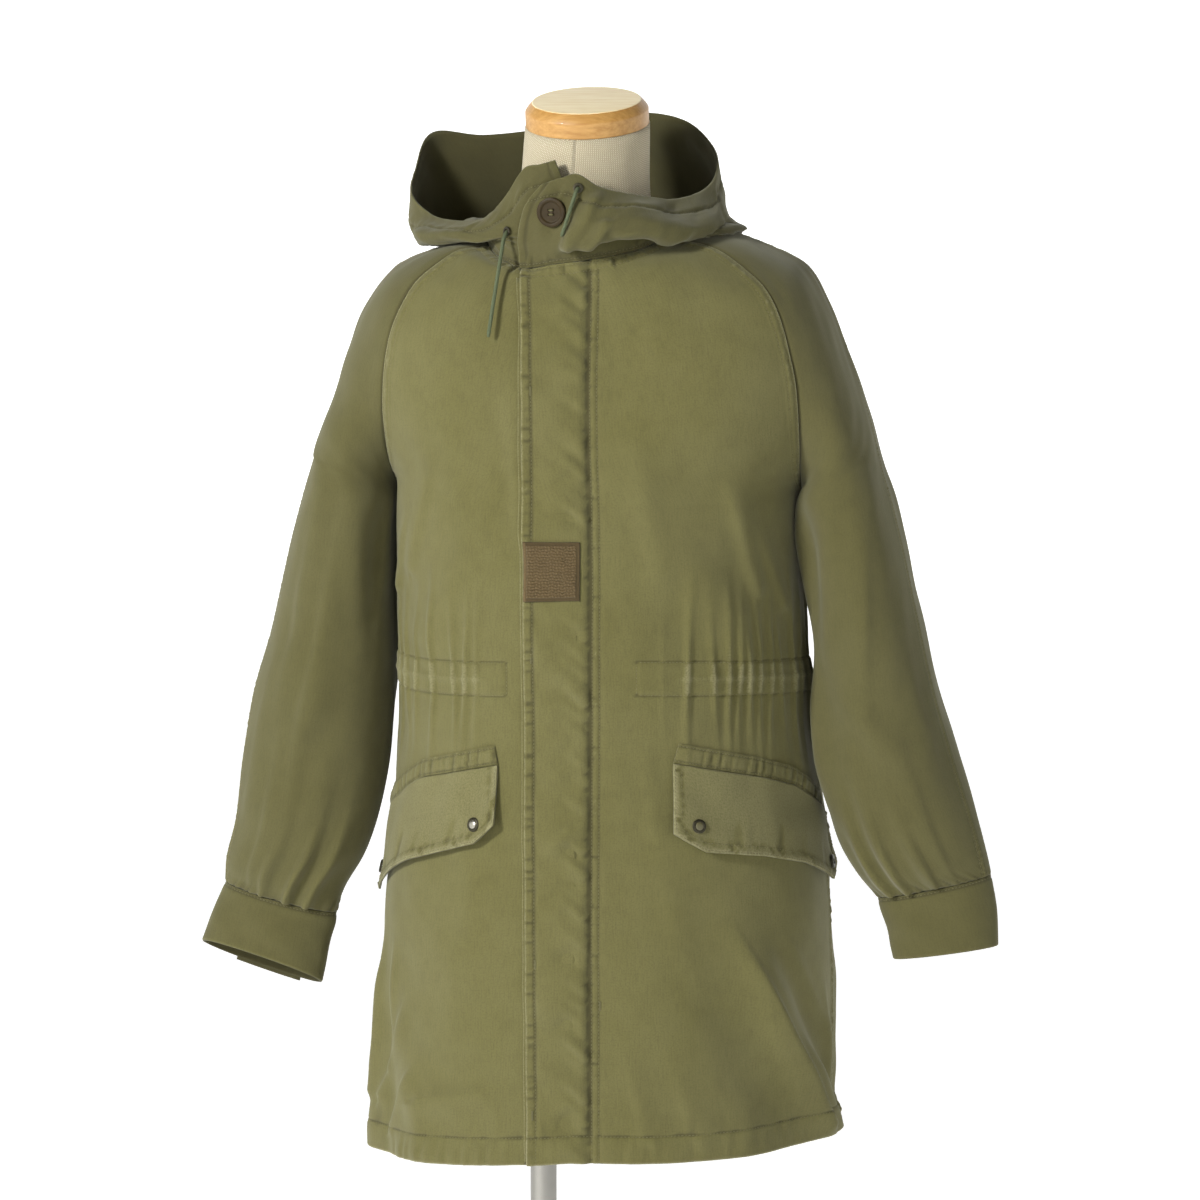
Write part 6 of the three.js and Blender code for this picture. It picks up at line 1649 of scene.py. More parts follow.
@dataclass
class Pocket:
    """A slanted pocket's flap, with the band that it is sewn under and its two snaps."""

    side: int
    table: Table
    inner_x: float
    front_snap: tuple[float, float]
    side_snap: tuple[float, float]
    gap: float = 1.1
    flap_cloth: float = 2.4
    band_cloth: float = 1.6
    band_height: float = 18.0

    def on_body(self, reach: Array, height: Array, inner_x: Array, out: Array) -> Array:
        """Give points at some distance off the body's folds.

        Args:
            reach: shares of the way from the flap's inner edge to just before the side seam.
            height: heights, of the same shape.
            inner_x: how far from the middle the inner edge is.
            out: how far off the cloth to stand.
        Returns:
            The points.
        """
        place = height - ARMPIT_HEIGHT
        flat = place.reshape(-1)
        inner = np.broadcast_to(self.side * inner_x, place.shape).reshape(-1)
        start = BodyForm.share_at_x(flat, self.side, -1, inner)
        share = start + (0.985 - start) * np.broadcast_to(reach, place.shape).reshape(-1)
        near = BodyForm.at(flat, self.side, -1, share[:, None])[:, 0]
        ahead = BodyForm.at(flat, self.side, -1, share[:, None] + 0.004)[:, 0]
        behind = BodyForm.at(flat, self.side, -1, share[:, None] - 0.004)[:, 0]
        along = self.side * unit((ahead - behind) * np.array([1, 1, 0]))
        off = np.stack([along[:, 1], -along[:, 0], 0 * along[:, 0]], axis=-1)
        relief = body_relief(near) + 0.55 * gather_relief(near)
        points = pushed_out(near, relief) + off * np.broadcast_to(out, place.shape).reshape(-1, 1)
        return points.reshape(place.shape + (3,))

    def edges(self, reach: Array) -> tuple[Array, Array]:
        """Read the flap's top and bottom heights, on straight lines between the table's rows."""
        rows = self.table.rows
        return np.interp(reach, rows[:, 0], rows[:, 1]), np.interp(reach, rows[:, 0], rows[:, 2])

    def flap_point(self, reach: Array, v: Array) -> Array:
        """Give points of the flap's outside, v going from its bottom to its top."""
        top, bottom = self.edges(reach)
        out = (
            self.gap + self.flap_cloth + 5.2 * (1 - v) ** 2
            + 3.4 * smooth_step(0.2, 0.0, reach) * (1 - v)
        )
        out = out + 1.6 * np.sin(reach * 7.5 + self.side) * (1 - v) * smooth_step(0, 0.2, reach)
        return self.on_body(reach, mix(bottom, top, v), self.inner_x, out)

    def flap(self) -> tuple[Wall, dict[str, Array]]:
        """Make the flap: doubled cloth, sewn twice near its edges, that stands a little off."""
        reach = axis(0, 1, 0.011, (0.035, 0.965), 0.03)
        v = axis(0, 1, 0.028, (0.1,), 0.08)
        form = self.flap_point(reach[None, :], v[:, None] + 0 * reach[None, :])
        if self.side < 0:
            form, reach = form[:, ::-1], reach[::-1]
        across = lengths_along(form)
        up = lengths_up(form)
        away = np.minimum(np.minimum(across, across[:, -1:] - across), up * 0.96)
        held = smooth_step(0, 8, away)
        broad = 0.9 * undulation(across, up, 60, 0.9 + self.side) * held
        sewn = groove(away - 1.8, 0.7) + groove(away - 8, 1.0) + 0.6 * smooth_step(10, 8, away)
        fine = sewn + puckers(across + up, away - 5, 9, 1.7, 3.4, 2.2) + rounded(away, 1.0)
        fine += puckers(across, up - 16, 26, 0.7, 16, 1.9)
        wear_and_shade = 0.22 + 0.7 * bell(away, 1.7)
        wall = Wall(form, broad, fine, self.flap_cloth, wear_and_shade=wear_and_shade)
        return wall, {"across": across, "up": up}

    def band(self) -> Wall:
        """Make the band over the flap's top, puckered between its two sewn lines."""
        reach = axis(0, 1, 0.011)
        v = axis(0, 1, 0.11, (0.12, 0.88), 0.1)
        top, _ = self.edges(reach)
        height = top[None, :] + 0.5 + self.band_height * v[:, None]
        inner = self.inner_x + 4 * v[:, None] * (1 - reach[None, :])
        form = self.on_body(reach[None, :], height, inner, self.gap + self.band_cloth)
        if self.side < 0:
            form = form[:, ::-1]
        across = lengths_along(form)
        up = lengths_up(form)
        away = np.minimum(up, up[-1:] - up)
        ends = np.minimum(across, across[:, -1:] - across)
        fine = groove(away - 2.2, 0.8) + rounded(np.minimum(away, ends), 0.8)
        fine += puckers(across, up - up[-1:] / 2, 9.5, 1.6, 7, 0.6)
        return Wall(form, 0.0, fine, self.band_cloth, wear_and_shade=0.12 + 0.5 * bell(away, 1.5))

    def snap_place(self, at: tuple[float, float]) -> tuple[Array, Array]:
        """Give a snap's centre on the flap and its way out."""
        reach, v = np.array([[at[0] - 0.01, at[0], at[0] + 0.01]]), at[1]
        spread = np.array([[-0.03], [0.0], [0.03]])
        grid = self.flap_point(reach + 0 * spread, v + spread + 0 * reach)
        if self.side < 0:
            grid = grid[:, ::-1]
        return grid[1, 1], normals_of(grid)[1, 1]


@dataclass
class LoopPatch:
    """The square of loop tape sewn on the chest, beside the fly's edge."""

    MIDDLE_Z = 1077.5

    left_x: float = -46.8
    width: float = 51.8
    bottom: float = 1051.0
    height: float = 53.0
    cloth: float = 1.6
    gap: float = 0.6
    loop_pitch: float = 2.65
    border: float = 3.0

    def wall(self) -> Wall:
        """Make the patch: rows of loops inside a flat woven border, sewn near its edge.

        A loop's relief is the product of two waves, one along and one across its row, with
        every other row shifted by half a loop and the rows bent a little by a ripple.
        """
        x = np.linspace(self.left_x, self.left_x + self.width, 121)
        z = np.linspace(self.bottom, self.bottom + self.height, 121)
        place = z - ARMPIT_HEIGHT
        flat = np.repeat(place, len(x))
        wide = np.tile(x, len(z))
        side = np.where(wide < 0, -1, 1)
        near = np.zeros((len(flat), 3))
        for s in (-1, 1):
            on = side == s
            share = BodyForm.share_at_x(flat[on], s, -1, wide[on])
            near[on] = BodyForm.at(flat[on], s, -1, share[:, None])[:, 0]
        line = FLY_LINES.by("height", near[:, 2])
        past = near[:, 0] - (line["stitch"] - FLY_RAMP)
        lift = FLY_LIFT * (1 - np.clip(past / FLY_RAMP, 0, 1)) + self.gap + self.cloth
        form = pushed_out(near, body_relief(near)) - np.array([0, 1, 0]) * lift[:, None]
        form = form.reshape(len(z), len(x), 3)
        u, w = x[None, :] - x[0], z[:, None] - z[0]
        away = np.minimum(np.minimum(u, self.width - u), np.minimum(w, self.height - w))
        row = w + 0.45 * np.sin(u * 0.9) + 0.35 * np.sin(u * 0.37 + 1)
        number = np.floor(row / self.loop_pitch)
        bump = np.abs(np.sin(row / self.loop_pitch * math.pi)) ** 0.7
        beads = 0.8 + 0.2 * np.cos(u * 2 * math.pi / 2.9 + number * math.pi + np.sin(number * 9))
        loops = 1.3 * bump * beads * smooth_step(self.border, self.border + 0.8, away)
        fine = loops + rounded(away, 0.6) + groove(away - self.border + 0.8, 0.3)
        broad = 0.35 * undulation(u, w, 30, 0.4)
        margin = 0.7 * smooth_step(self.border, self.border - 0.6, u)
        wear_and_shade = margin + 0.35 * smooth_step(0.3, 1.2, loops)
        return Wall(form, broad, fine - 0.2, self.cloth, wear_and_shade=wear_and_shade)


def ring_faces(points: Array, count: int) -> list[Array]:
    """List the faces of a tube whose points lie row after row, count of them in each."""
    number = np.arange(points.size // 3).reshape(-1, count)
    number = np.concatenate([number, number[:, :1]], axis=1)
    return [corners(number[:-1, :-1], number[:-1, 1:], number[1:, 1:], number[1:, :-1])]


def turned(profile: Array, count: int) -> tuple[Array, list[Array]]:
    """Turn a profile about the z axis.

    Args:
        profile: K x 2 radii and heights; rising height outwards gives outward faces.
        count: how many points go round.
    Returns:
        The points and the faces; an end on the axis closes to one point of no size.
    """
    turn = 2 * math.pi * np.arange(count) / count
    radius, height = profile[:, :1], profile[:, 1:]
    points = vectors(radius * np.cos(turn), radius * np.sin(turn), height + 0 * turn)
    return points.reshape(-1, 3), ring_faces(points, count)


def bevelled(profile: list[tuple[float, float]], radius: float, steps: int = 5) -> Array:
    """Round the corners of a profile: each corner becomes a quadratic curve between the points
    that lie radius before and after it, or half a side where that is shorter."""
    corner = np.array(profile, float)
    parts = [corner[:1]]
    t = np.linspace(0, 1, steps)[:, None]
    for before, at, after in zip(corner, corner[1:], corner[2:]):
        a, b = before - at, after - at
        start = at + unit(a) * min(radius, np.linalg.norm(a) / 2)
        stop = at + unit(b) * min(radius, np.linalg.norm(b) / 2)
        parts.append((1 - t) ** 2 * start + 2 * t * (1 - t) * at + t * t * stop)
    return np.concatenate(parts + [corner[-1:]])


def placed(points: Array, centre: Array, out: Array) -> Array:
    """Put points made about the z axis at a centre, with z along a way out."""
    x = unit(np.cross(np.array([0.0, 0.0, 1.0]), out))
    return centre + points[:, :1] * x + points[:, 1:2] * np.cross(out, x) + points[:, 2:] * out


@dataclass
class Snap:
    """A pressed snap: its cap, or the ring of its hollow half."""

    centre: Array
    out: Array
    hollow: bool
    radius: float = 6.5
    off: float = 0.45

    def build(self, name: str, ring: bpy.types.Material, middle: bpy.types.Material) -> None:
        """Make the snap's ring and the cap or the dark hollow inside it, as one piece."""
        r = self.radius
        if self.hollow:
            sides = [(0, 0.5), (0.4 * r, 0.5), (0.46 * r, 1.9), (0.8 * r, 2.1), (r, 1.0), (r, 0)]
        else:
            sides = [(0, 2.3), (0.4 * r, 2.1), (0.6 * r, 1.3), (0.72 * r, 1.7), (r, 0.8), (r, 0)]
        profile = bevelled(sides[::-1], 0.5)
        points, faces = turned(profile, 48)
        points = placed(points, self.centre + self.out * self.off, self.out)
        piece = make_piece(f"{name}_metal", points, faces, ring)
        piece.data.materials.append(middle)
        inner = (profile[:-1, 0] < (0.44 if self.hollow else 0.58) * r).repeat(48)
        piece.data.polygons.foreach_set("material_index", inner.astype(np.int32))
        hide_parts(name)


@dataclass
class Button:
    """The throat button: a dished disc with a raised rim and four holes sewn with thread."""

    centre: Array
    out: Array
    radius: float = 13.5
    thick: float = 3.6
    hole: float = 1.15
    hole_off: float = 2.7
    off: float = 1.2
    count: int = 128

    def build(self, material: bpy.types.Material, thread: bpy.types.Material) -> None:
        """Make the disc and its thread.

        The face is a height over a round grid: dished inside the rim, with a step inwards
        where each hole is.
        """
        radii = np.unique(np.concatenate([np.linspace(0.3, 4.6, 22), np.linspace(5, 13.0, 24)]))
        turn = 2 * math.pi * np.arange(self.count) / self.count
        r = radii[:, None]
        x, y = r * np.cos(turn), r * np.sin(turn)
        top = self.thick - 1.1 * smooth_step(10.4, 8.6, r) - 0.35 * smooth_step(12, 13.3, r)
        corner = np.array([45.0, 135.0, 225.0, 315.0])
        hx = self.hole_off * np.cos(np.radians(corner))
        hy = self.hole_off * np.sin(np.radians(corner))
        near = np.min(np.hypot(x[..., None] - hx, y[..., None] - hy), axis=-1)
        top = top - 2.2 * smooth_step(self.hole + 0.25, self.hole - 0.2, near)
        r, h = self.radius, self.thick
        edge = bevelled([(0, 0), (r, 0), (r, h - 0.6), (13.0, h - 0.35)], 0.7)
        face = vectors(x, y, top)[::-1]
        under, _ = turned(edge[:-1], self.count)
        centre = self.centre + self.out * self.off
        points = placed(np.concatenate([under, face.reshape(-1, 3)]), centre, self.out)
        piece = make_piece("throat_button_disc", points, ring_faces(points, self.count), material)
        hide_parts("throat_button")
        sewn = Stitching(length=2 * self.hole_off, width=0.75)
        face_z = self.thick - 1.1 + 0.2
        ends = np.array([[0.0, hy[0]], [0.0, -hy[0]]]) + np.array([[0, 0.25], [0, 0.25]])
        ends = np.concatenate([ends, ends - np.array([[0, 0.5], [0, 0.5]])])
        spots = np.column_stack([ends, np.full(len(ends), face_z)])
        sewn.centres.append(placed(spots, centre, self.out))
        x_way = unit(np.cross(np.array([0.0, 0.0, 1.0]), self.out))
        sewn.ways.append(np.repeat(x_way[None], len(ends), axis=0))
        sewn.outs.append(np.repeat(self.out[None], len(ends), axis=0))
        sewn.build("button_thread", thread)


# The drawcords' lines, from the eyelet in the hood's casing to the cut end.
RIGHT_CORD_POINTS = (
    (-72, -91.35, 1379), (-72.8, -95.8, 1376.6), (-73.8, -100, 1371), (-74.6, -103.5, 1362),
    (-75.8, -108, 1350), (-77, -112.5, 1338), (-78.2, -117.5, 1325), (-79.4, -121.5, 1313),
    (-80.6, -125, 1301), (-81.6, -127.5, 1292), (-82.2, -128.5, 1286),
)
LEFT_CORD_POINTS = (
    (-3.2, -110, 1419.6), (-4.2, -114, 1417), (-5.8, -117, 1411), (-8.2, -118.3, 1403),
    (-10.8, -119, 1395), (-13.4, -119.2, 1387), (-15.6, -119, 1380.5), (-17, -118.6, 1376.5),
)


@dataclass
class Drawcord:
    """A braided drawcord that hangs from the hood's casing with a cut, tapered end."""

    name: str
    points: tuple[tuple[float, float, float], ...]
    diameter: float = 3.6
    count: int = 20

    def build(self, material: bpy.types.Material, dark: bpy.types.Material) -> None:
        """Make the cord as a tube round its line, and the eyelet where it leaves the hood.

        Across the line the tube's radius swings with two waves that wind opposite ways, which
        gives the braid, and it narrows over the last millimetres.
        """
        marks = [np.array(p, float) for p in self.points]
        line = spline(marks, np.linspace(0, 1, 131))
        along = lengths_along(line)
        way = unit(np.gradient(line, axis=0))
        side = unit(np.cross(way, np.array([0.0, -1.0, 0.15])))
        over = np.cross(way, side)
        turn = 2 * math.pi * np.arange(self.count) / self.count
        wave = along[:, None] * 2 * math.pi / 4.6
        braid = np.maximum(np.cos(2 * turn + wave), np.cos(2 * turn - wave + 1.2))
        left = along[-1] - along
        radius = self.diameter / 2 * (0.94 + 0.06 * braid)
        radius = radius * (0.45 + 0.55 * np.sqrt(np.clip(left / 3.5, 0, 1)))[:, None]
        ring = side[:, None] * np.cos(turn)[:, None] + over[:, None] * np.sin(turn)[:, None]
        points = line[:, None] + ring * radius[..., None]
        ends = [end[:, None] + 0 * points[:1] for end in (line[:1], line[-1:])]
        points = np.concatenate([ends[0], points, ends[1]])
        share = np.arange(self.count) / self.count
        u = np.broadcast_to(share, (points.shape[0], self.count)).reshape(-1)
        v = np.repeat(np.concatenate([[0], along, along[-1:]]), self.count)
        uv = np.stack([u * math.pi * self.diameter, v], axis=-1) * MM
        faces = ring_faces(points, self.count)
        piece = make_piece(f"{self.name}_braid", points.reshape(-1, 3), faces, material, uv=uv)
        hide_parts(self.name)
        sides = bevelled([(4.6, 0), (4.6, 0.7), (2.3, 0.9), (2.1, -0.8)], 0.3)
        points, faces = turned(sides, 40)
        out = unit(np.array([line[0][0] - NECK_CENTRE[0], line[0][1] - NECK_CENTRE[1], 10.0]))
        points = placed(points, line[0] + out * 0.6, out)
        eyelet = make_piece(self.name.replace("drawcord", "eyelet"), points, faces, dark)


TORSO_ROWS = Table(
    "height x y half depth",
    (740, -40, -2, 138, 100), (800, -37, -2, 146, 108), (880, -31, -2, 143, 106),
    (980, -25, -2, 132, 98), (1080, -18, -2, 146, 112), (1180, -12, -2, 160, 118),
    (1250, -9, 0, 172, 108), (1300, -5, 2, 176, 92), (1332, -4, 4, 169, 76),
    (1352, -4, 4, 146, 62), (1363, -3, -2, 110, 58), (1378, -12, -16, 75, 58),
    (1404, -13, -22, 61, 60), (1474, -10.5, -22, 57, 57),
)


@dataclass
class DressForm:
    """The limbless form under the jacket: linen torso, wooden cap, chrome pole and round base."""

    tilt: float = 13.0
    cap_radius: float = 56.5
    cap_height: float = 22.5
    cap_centre: tuple[float, float, float] = (-10.5, -22.0, 1474.3)
    pole_radius: float = 12.5
    pole_top: float = 739.7
    base_radius: float = 180.0
    base_height: float = 8.0
    count: int = 112

    def torso(self) -> tuple[Array, list[Array], Array]:
        """Make the torso: rows that turn from squarish to round at the neck.

        A row's outline is an ellipse whose cosine and sine are raised to 2 / 2.3 under the
        neck; the neck's top is tilted to the front.
        """
        last = len(TORSO_ROWS.rows) - 1
        row = TORSO_ROWS.at(np.linspace(0, last, 120)[:, None])
        turn = -math.pi / 2 + 2 * math.pi * np.arange(self.count) / self.count
        height = row["height"]
        power = mix(2 / 2.3, 1.0, smooth_step(1360, 1395, height))
        c, s = np.cos(turn), np.sin(turn)
        raised = 5.7 * smooth_step(1250, 1332, height) * smooth_step(1404, 1363, height)
        x = row["x"] + row["half"] * np.sign(c) * np.abs(c) ** power
        y = row["y"] + row["depth"] * np.sign(s) * np.abs(s) ** power
        slope = math.tan(math.radians(self.tilt)) * smooth_step(1402, 1474, height)
        points = vectors(x, y, height + raised + (y - row["y"]) * slope)
        ends = [np.broadcast_to(g.mean(0), (1, self.count, 3)) for g in (points[0], points[-1])]
        along = lengths_along(points)
        up = lengths_up(points)
        points = np.concatenate([ends[0], points, ends[1]])
        uv = np.stack([along, up], axis=-1) * MM
        uv = np.concatenate([uv[:1], uv, uv[-1:]]).reshape(-1, 2)
        return points.reshape(-1, 3), ring_faces(points, self.count), uv

    def build(self, finishes: dict[str, bpy.types.Material]) -> None:
        """Make the torso, the cap, the pole and the base."""
        points, faces, uv = self.torso()
        torso = make_piece("form_torso_linen", points, faces, finishes["linen"], uv=uv)
        pieces = {"form_torso": torso}
        r, h = self.cap_radius, self.cap_height
        sides = bevelled([(0, 0), (r, 0), (r, h - 8.5), (r - 2, h - 5.5), (r - 7, h), (0, h)], 0.8)
        points, faces = turned(sides, 160)
        turn = math.radians(self.tilt)
        out = np.array([0.0, -math.sin(turn), math.cos(turn)])
        points = placed(points, np.array(self.cap_centre), out)
        cap = make_piece("form_cap_wood", points, faces, finishes["cap_wood"])
        cap.data.materials.append(finishes["cap_edge"])
        low = (sides[:-1, 0] > r - 6.4) | (sides[:-1, 1] < h / 2)
        cap.data.polygons.foreach_set("material_index", low.repeat(160).astype(np.int32))
        pieces["form_cap"] = cap
        r, top = self.pole_radius, self.pole_top
        foot = self.base_height + 0.3
        sides = bevelled([(0, foot), (r, foot), (r, top), (0, top)], 1)
        points, faces = turned(sides, 96)
        pole = make_piece("form_pole_chrome", points, faces, finishes["pole_chrome"], axis_x=0.0)
        pieces["form_pole"] = pole
        r, h = self.base_radius, self.base_height
        points, faces = turned(bevelled([(0, 0), (r, 0), (r, h), (0, h)], 2), 160)
        base = make_piece("form_base_paint", points, faces, finishes["base_paint"], axis_x=0.0)
        pieces["form_base"] = base
        for name, piece in pieces.items():
            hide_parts(name)


Socket = bpy.types.NodeSocket
Colour = Socket | tuple[float, float, float, float]


def linear(hex_colour: str) -> tuple[float, float, float, float]:
    """Turn an sRGB hex colour into linear light."""
    value = np.array([int(hex_colour[k : k + 2], 16) for k in (1, 3, 5)]) / 255
    light = np.where(value <= 0.04045, value / 12.92, ((value + 0.055) / 1.055) ** 2.4)
    return (*light.tolist(), 1.0)


def add(
    tree: bpy.types.NodeTree, kind: str, links: dict | None = None, **settings
) -> bpy.types.Node:
    """Add a node.

    Args:
        tree: the material's node tree.
        kind: the node's type.
        links: by input name or number, the output that feeds it.
        settings: inputs by their names with _ for a space, or the node's own properties, which
            are written in small letters.
    Returns:
        The node.
    """
    node = tree.nodes.new(kind)
    for key, value in settings.items():
        if key[0].islower():
            setattr(node, key, value)
        else:
            node.inputs[key.replace("_", " ")].default_value = value
    for key, output in (links or {}).items():
        tree.links.new(output, node.inputs[key])
    return node


def blank(name: str) -> tuple[bpy.types.Material, bpy.types.NodeTree, bpy.types.Node]:
    """Make a material with only its shader and output."""
    material = bpy.data.materials.new(name)
    material.use_nodes = True
    tree = material.node_tree
    tree.nodes.clear()
    shader = tree.nodes.new("ShaderNodeBsdfPrincipled")
    add(tree, "ShaderNodeOutputMaterial", {"Surface": shader.outputs["BSDF"]})
    return material, tree, shader


def noise(
    tree: bpy.types.NodeTree, place: Socket, spacing: float, detail: float, **more: float
) -> bpy.types.Node:
    """Add a noise whose blotches lie a spacing of millimetres apart."""
    return add(tree, "ShaderNodeTexNoise", {"Vector": place}, Scale=1000 / spacing,
               Detail=detail, **more)


def mixed(
    tree: bpy.types.NodeTree, share: Socket, one: Colour, two: Colour, most: float = 1.0
) -> Socket:
    """Mix two colours.

    Args:
        tree: the material's node tree.
        share: the output that gives the second colour's share.
        one: the first colour, or the output that gives it.
        two: the second colour, or the output that gives it.
        most: what the share is multiplied by.
    Returns:
        The output that gives the mixed colour.
    """
    part = add(tree, "ShaderNodeMath", {0: share}, operation="MULTIPLY")
    part.inputs[1].default_value = most
    node = add(tree, "ShaderNodeMix", {"Factor": part.outputs[0]}, data_type="RGBA")
    for socket, colour in ((node.inputs[6], one), (node.inputs[7], two)):
        if isinstance(colour, Socket):
            tree.links.new(colour, socket)
        else:
            socket.default_value = colour
    return node.outputs[2]


def emboss(
    tree: bpy.types.NodeTree, shader: bpy.types.Node, height: Socket, strength: float,
    depth: float = 0.0004,
) -> None:
    """Raise a shader's surface by a height's output, depth metres at the most."""
    bump = add(tree, "ShaderNodeBump", {"Height": height}, Strength=strength, Distance=depth)
    tree.links.new(bump.outputs["Normal"], shader.inputs["Normal"])


@dataclass(frozen=True)
class ClothFinish:
    """Washed cotton: a mottled dye, lighter where it is worn, darker where shade is painted, with a
    grain of threads.
    """

    name: str
    colour: str
    faded: str
    worn: str
    deep_dye_and_shade: str
    grain: float = 1.6
    slub: tuple[float, float] = (1.3, 15.0)
    mottle: float = 16.0
    blotch: float = 95.0
    bump: float = 0.3
    roughness: float = 0.88
    sheen: float = 0.28

    def material(self) -> bpy.types.Material:
        """Make the finish. Its threads are drawn coarser than real ones, 0.4 mm apart, since
        those would be finer than a pixel: a mottle of grain, drawn out along the warp too."""
        material, tree, shader = blank(self.name)
        place = add(tree, "ShaderNodeTexCoord").outputs["UV"]
        solid = add(tree, "ShaderNodeTexCoord").outputs["Object"]
        fine = noise(tree, place, self.grain, 2.0)
        drawn = add(tree, "ShaderNodeMapping", {"Vector": place},
                    Scale=(1000 / self.slub[0], 1000 / self.slub[1], 1.0))
        slubs = add(tree, "ShaderNodeTexNoise", {"Vector": drawn.outputs[0]}, Scale=1.0, Detail=2.0)
        patch = noise(tree, solid, self.mottle, 4.0, Roughness=0.62)
        broad = noise(tree, solid, self.blotch, 2.0)
        wear_and_shade = add(tree, "ShaderNodeAttribute", attribute_name="wear_and_shade")

        def layer(
            colour: Colour, value: Socket, low: float, high: float, over: str, most: float
        ) -> Socket:
            """Lay a colour over another where a value goes from low to high."""
            share = add(tree, "ShaderNodeMapRange", {"Value": value}, From_Min=low, From_Max=high)
            return mixed(tree, share.outputs[0], colour, linear(over), most=most)

        colour = layer(linear(self.colour), broad.outputs["Fac"], 0.3, 0.7, self.faded, 0.5)
        colour = layer(colour, patch.outputs["Fac"], 0.42, 0.72, self.faded, 0.25)
        colour = layer(colour, patch.outputs["Fac"], 0.5, 0.24, self.deep_dye_and_shade, 0.12)
        colour = layer(colour, slubs.outputs["Fac"], 0.55, 0.3, self.deep_dye_and_shade, 0.16)
        colour = layer(colour, fine.outputs["Fac"], 0.55, 0.3, self.deep_dye_and_shade, 0.22)
        # Below zero the attribute pulls the colour to the deep one: painted shade in dents and on
        # the inside, and the darker sleeves, cuffs and hood.
        colour = layer(colour, wear_and_shade.outputs["Fac"], 0.0, -1.0, self.deep_dye_and_shade, 0.75)
        rub = add(tree, "ShaderNodeMath", {0: wear_and_shade.outputs["Fac"], 1: fine.outputs["Fac"]},
                  operation="MULTIPLY")
        colour = layer(colour, rub.outputs[0], 0.04, 0.6, self.worn, 0.9)
        tree.links.new(colour, shader.inputs["Base Color"])
        height = add(tree, "ShaderNodeMath", {0: fine.outputs["Fac"], 1: slubs.outputs["Fac"]},
                     operation="ADD")
        emboss(tree, shader, height.outputs[0], self.bump)
        shader.inputs["Roughness"].default_value = self.roughness
        shader.inputs["Sheen Weight"].default_value = self.sheen
        shader.inputs["Sheen Roughness"].default_value = 0.6
        shader.inputs["Sheen Tint"].default_value = linear("#d2d2c0")
        shader.inputs["Specular IOR Level"].default_value = 0.2
        return material


@dataclass(frozen=True)
class PlainFinish:
    """Thread, plastic, metal or paint of one colour, with a slight grain."""

    name: str
    colour: str
    second: str
    grain: float
    roughness: float
    metallic: float = 0.0
    bump: float = 0.05
    specular: float = 0.5

    def material(self) -> bpy.types.Material:
        """Make the finish: two near colours mottled by noise, which roughens it too."""
        material, tree, shader = blank(self.name)
        solid = add(tree, "ShaderNodeTexCoord").outputs["Object"]
        mottle = noise(tree, solid, self.grain, 3.0).outputs["Fac"]
        colour = mixed(tree, mottle, linear(self.colour), linear(self.second))
        tree.links.new(colour, shader.inputs["Base Color"])
        emboss(tree, shader, mottle, self.bump)
        shader.inputs["Roughness"].default_value = self.roughness
        shader.inputs["Metallic"].default_value = self.metallic
        shader.inputs["Specular IOR Level"].default_value = self.specular
        return material


@dataclass(frozen=True)
class LinenFinish:
    """Undyed linen: two sets of uneven threads that cross."""

    name: str
    colour: str
    shade: str
    thread: float = 1.9
    slub: float = 5.0

    def material(self) -> bpy.types.Material:
        """Make the finish. The threads are drawn 1.9 mm apart in place of 0.8, so that they
        show at the photograph's scale."""
        material, tree, shader = blank(self.name)
        place = add(tree, "ShaderNodeTexCoord").outputs["UV"]
        scale = 1000 / self.thread / 20 * 2 * math.pi
        sets = [
            add(tree, "ShaderNodeTexWave", {"Vector": place}, wave_type="BANDS",
                bands_direction=way, Scale=scale, Distortion=1.5, Detail=2.0, Detail_Scale=1.5)
            for way in ("X", "Y")
        ]
        slub = noise(tree, place, self.slub, 4.0)
        weave = add(tree, "ShaderNodeMath", {0: sets[0].outputs["Fac"], 1: sets[1].outputs["Fac"]},
                    operation="MULTIPLY")
        colour = mixed(tree, weave.outputs[0], linear(self.shade), linear(self.colour))
        colour = mixed(tree, slub.outputs["Fac"], colour, linear(self.shade), most=0.35)
        tree.links.new(colour, shader.inputs["Base Color"])
        emboss(tree, shader, weave.outputs[0], 0.8, 0.0006)
        shader.inputs["Roughness"].default_value = 0.9
        shader.inputs["Sheen Weight"].default_value = 0.15
        return material


@dataclass(frozen=True)
class WoodFinish:
    """Pale turned beech: straight grain lines with short darker flecks, under a thin varnish."""

    name: str
    light: str
    dark: str

    def material(self) -> bpy.types.Material:
        """Make the finish: a noise drawn out along the grain, by ten to one."""
        material, tree, shader = blank(self.name)
        solid = add(tree, "ShaderNodeTexCoord").outputs["Object"]
        stretched = add(tree, "ShaderNodeMapping", {"Vector": solid}, Scale=(1.0, 10.0, 10.0))
        grain = add(tree, "ShaderNodeTexNoise", {"Vector": stretched.outputs[0]}, Scale=26.0,
                    Detail=6.0, Roughness=0.65)
        ramp = add(tree, "ShaderNodeMapRange", {"Value": grain.outputs["Fac"]}, From_Min=0.35,
                   From_Max=0.7)
        colour = mixed(tree, ramp.outputs[0], linear(self.light), linear(self.dark))
        tree.links.new(colour, shader.inputs["Base Color"])
        shader.inputs["Roughness"].default_value = 0.45
        shader.inputs["Coat Weight"].default_value = 0.15
        return material


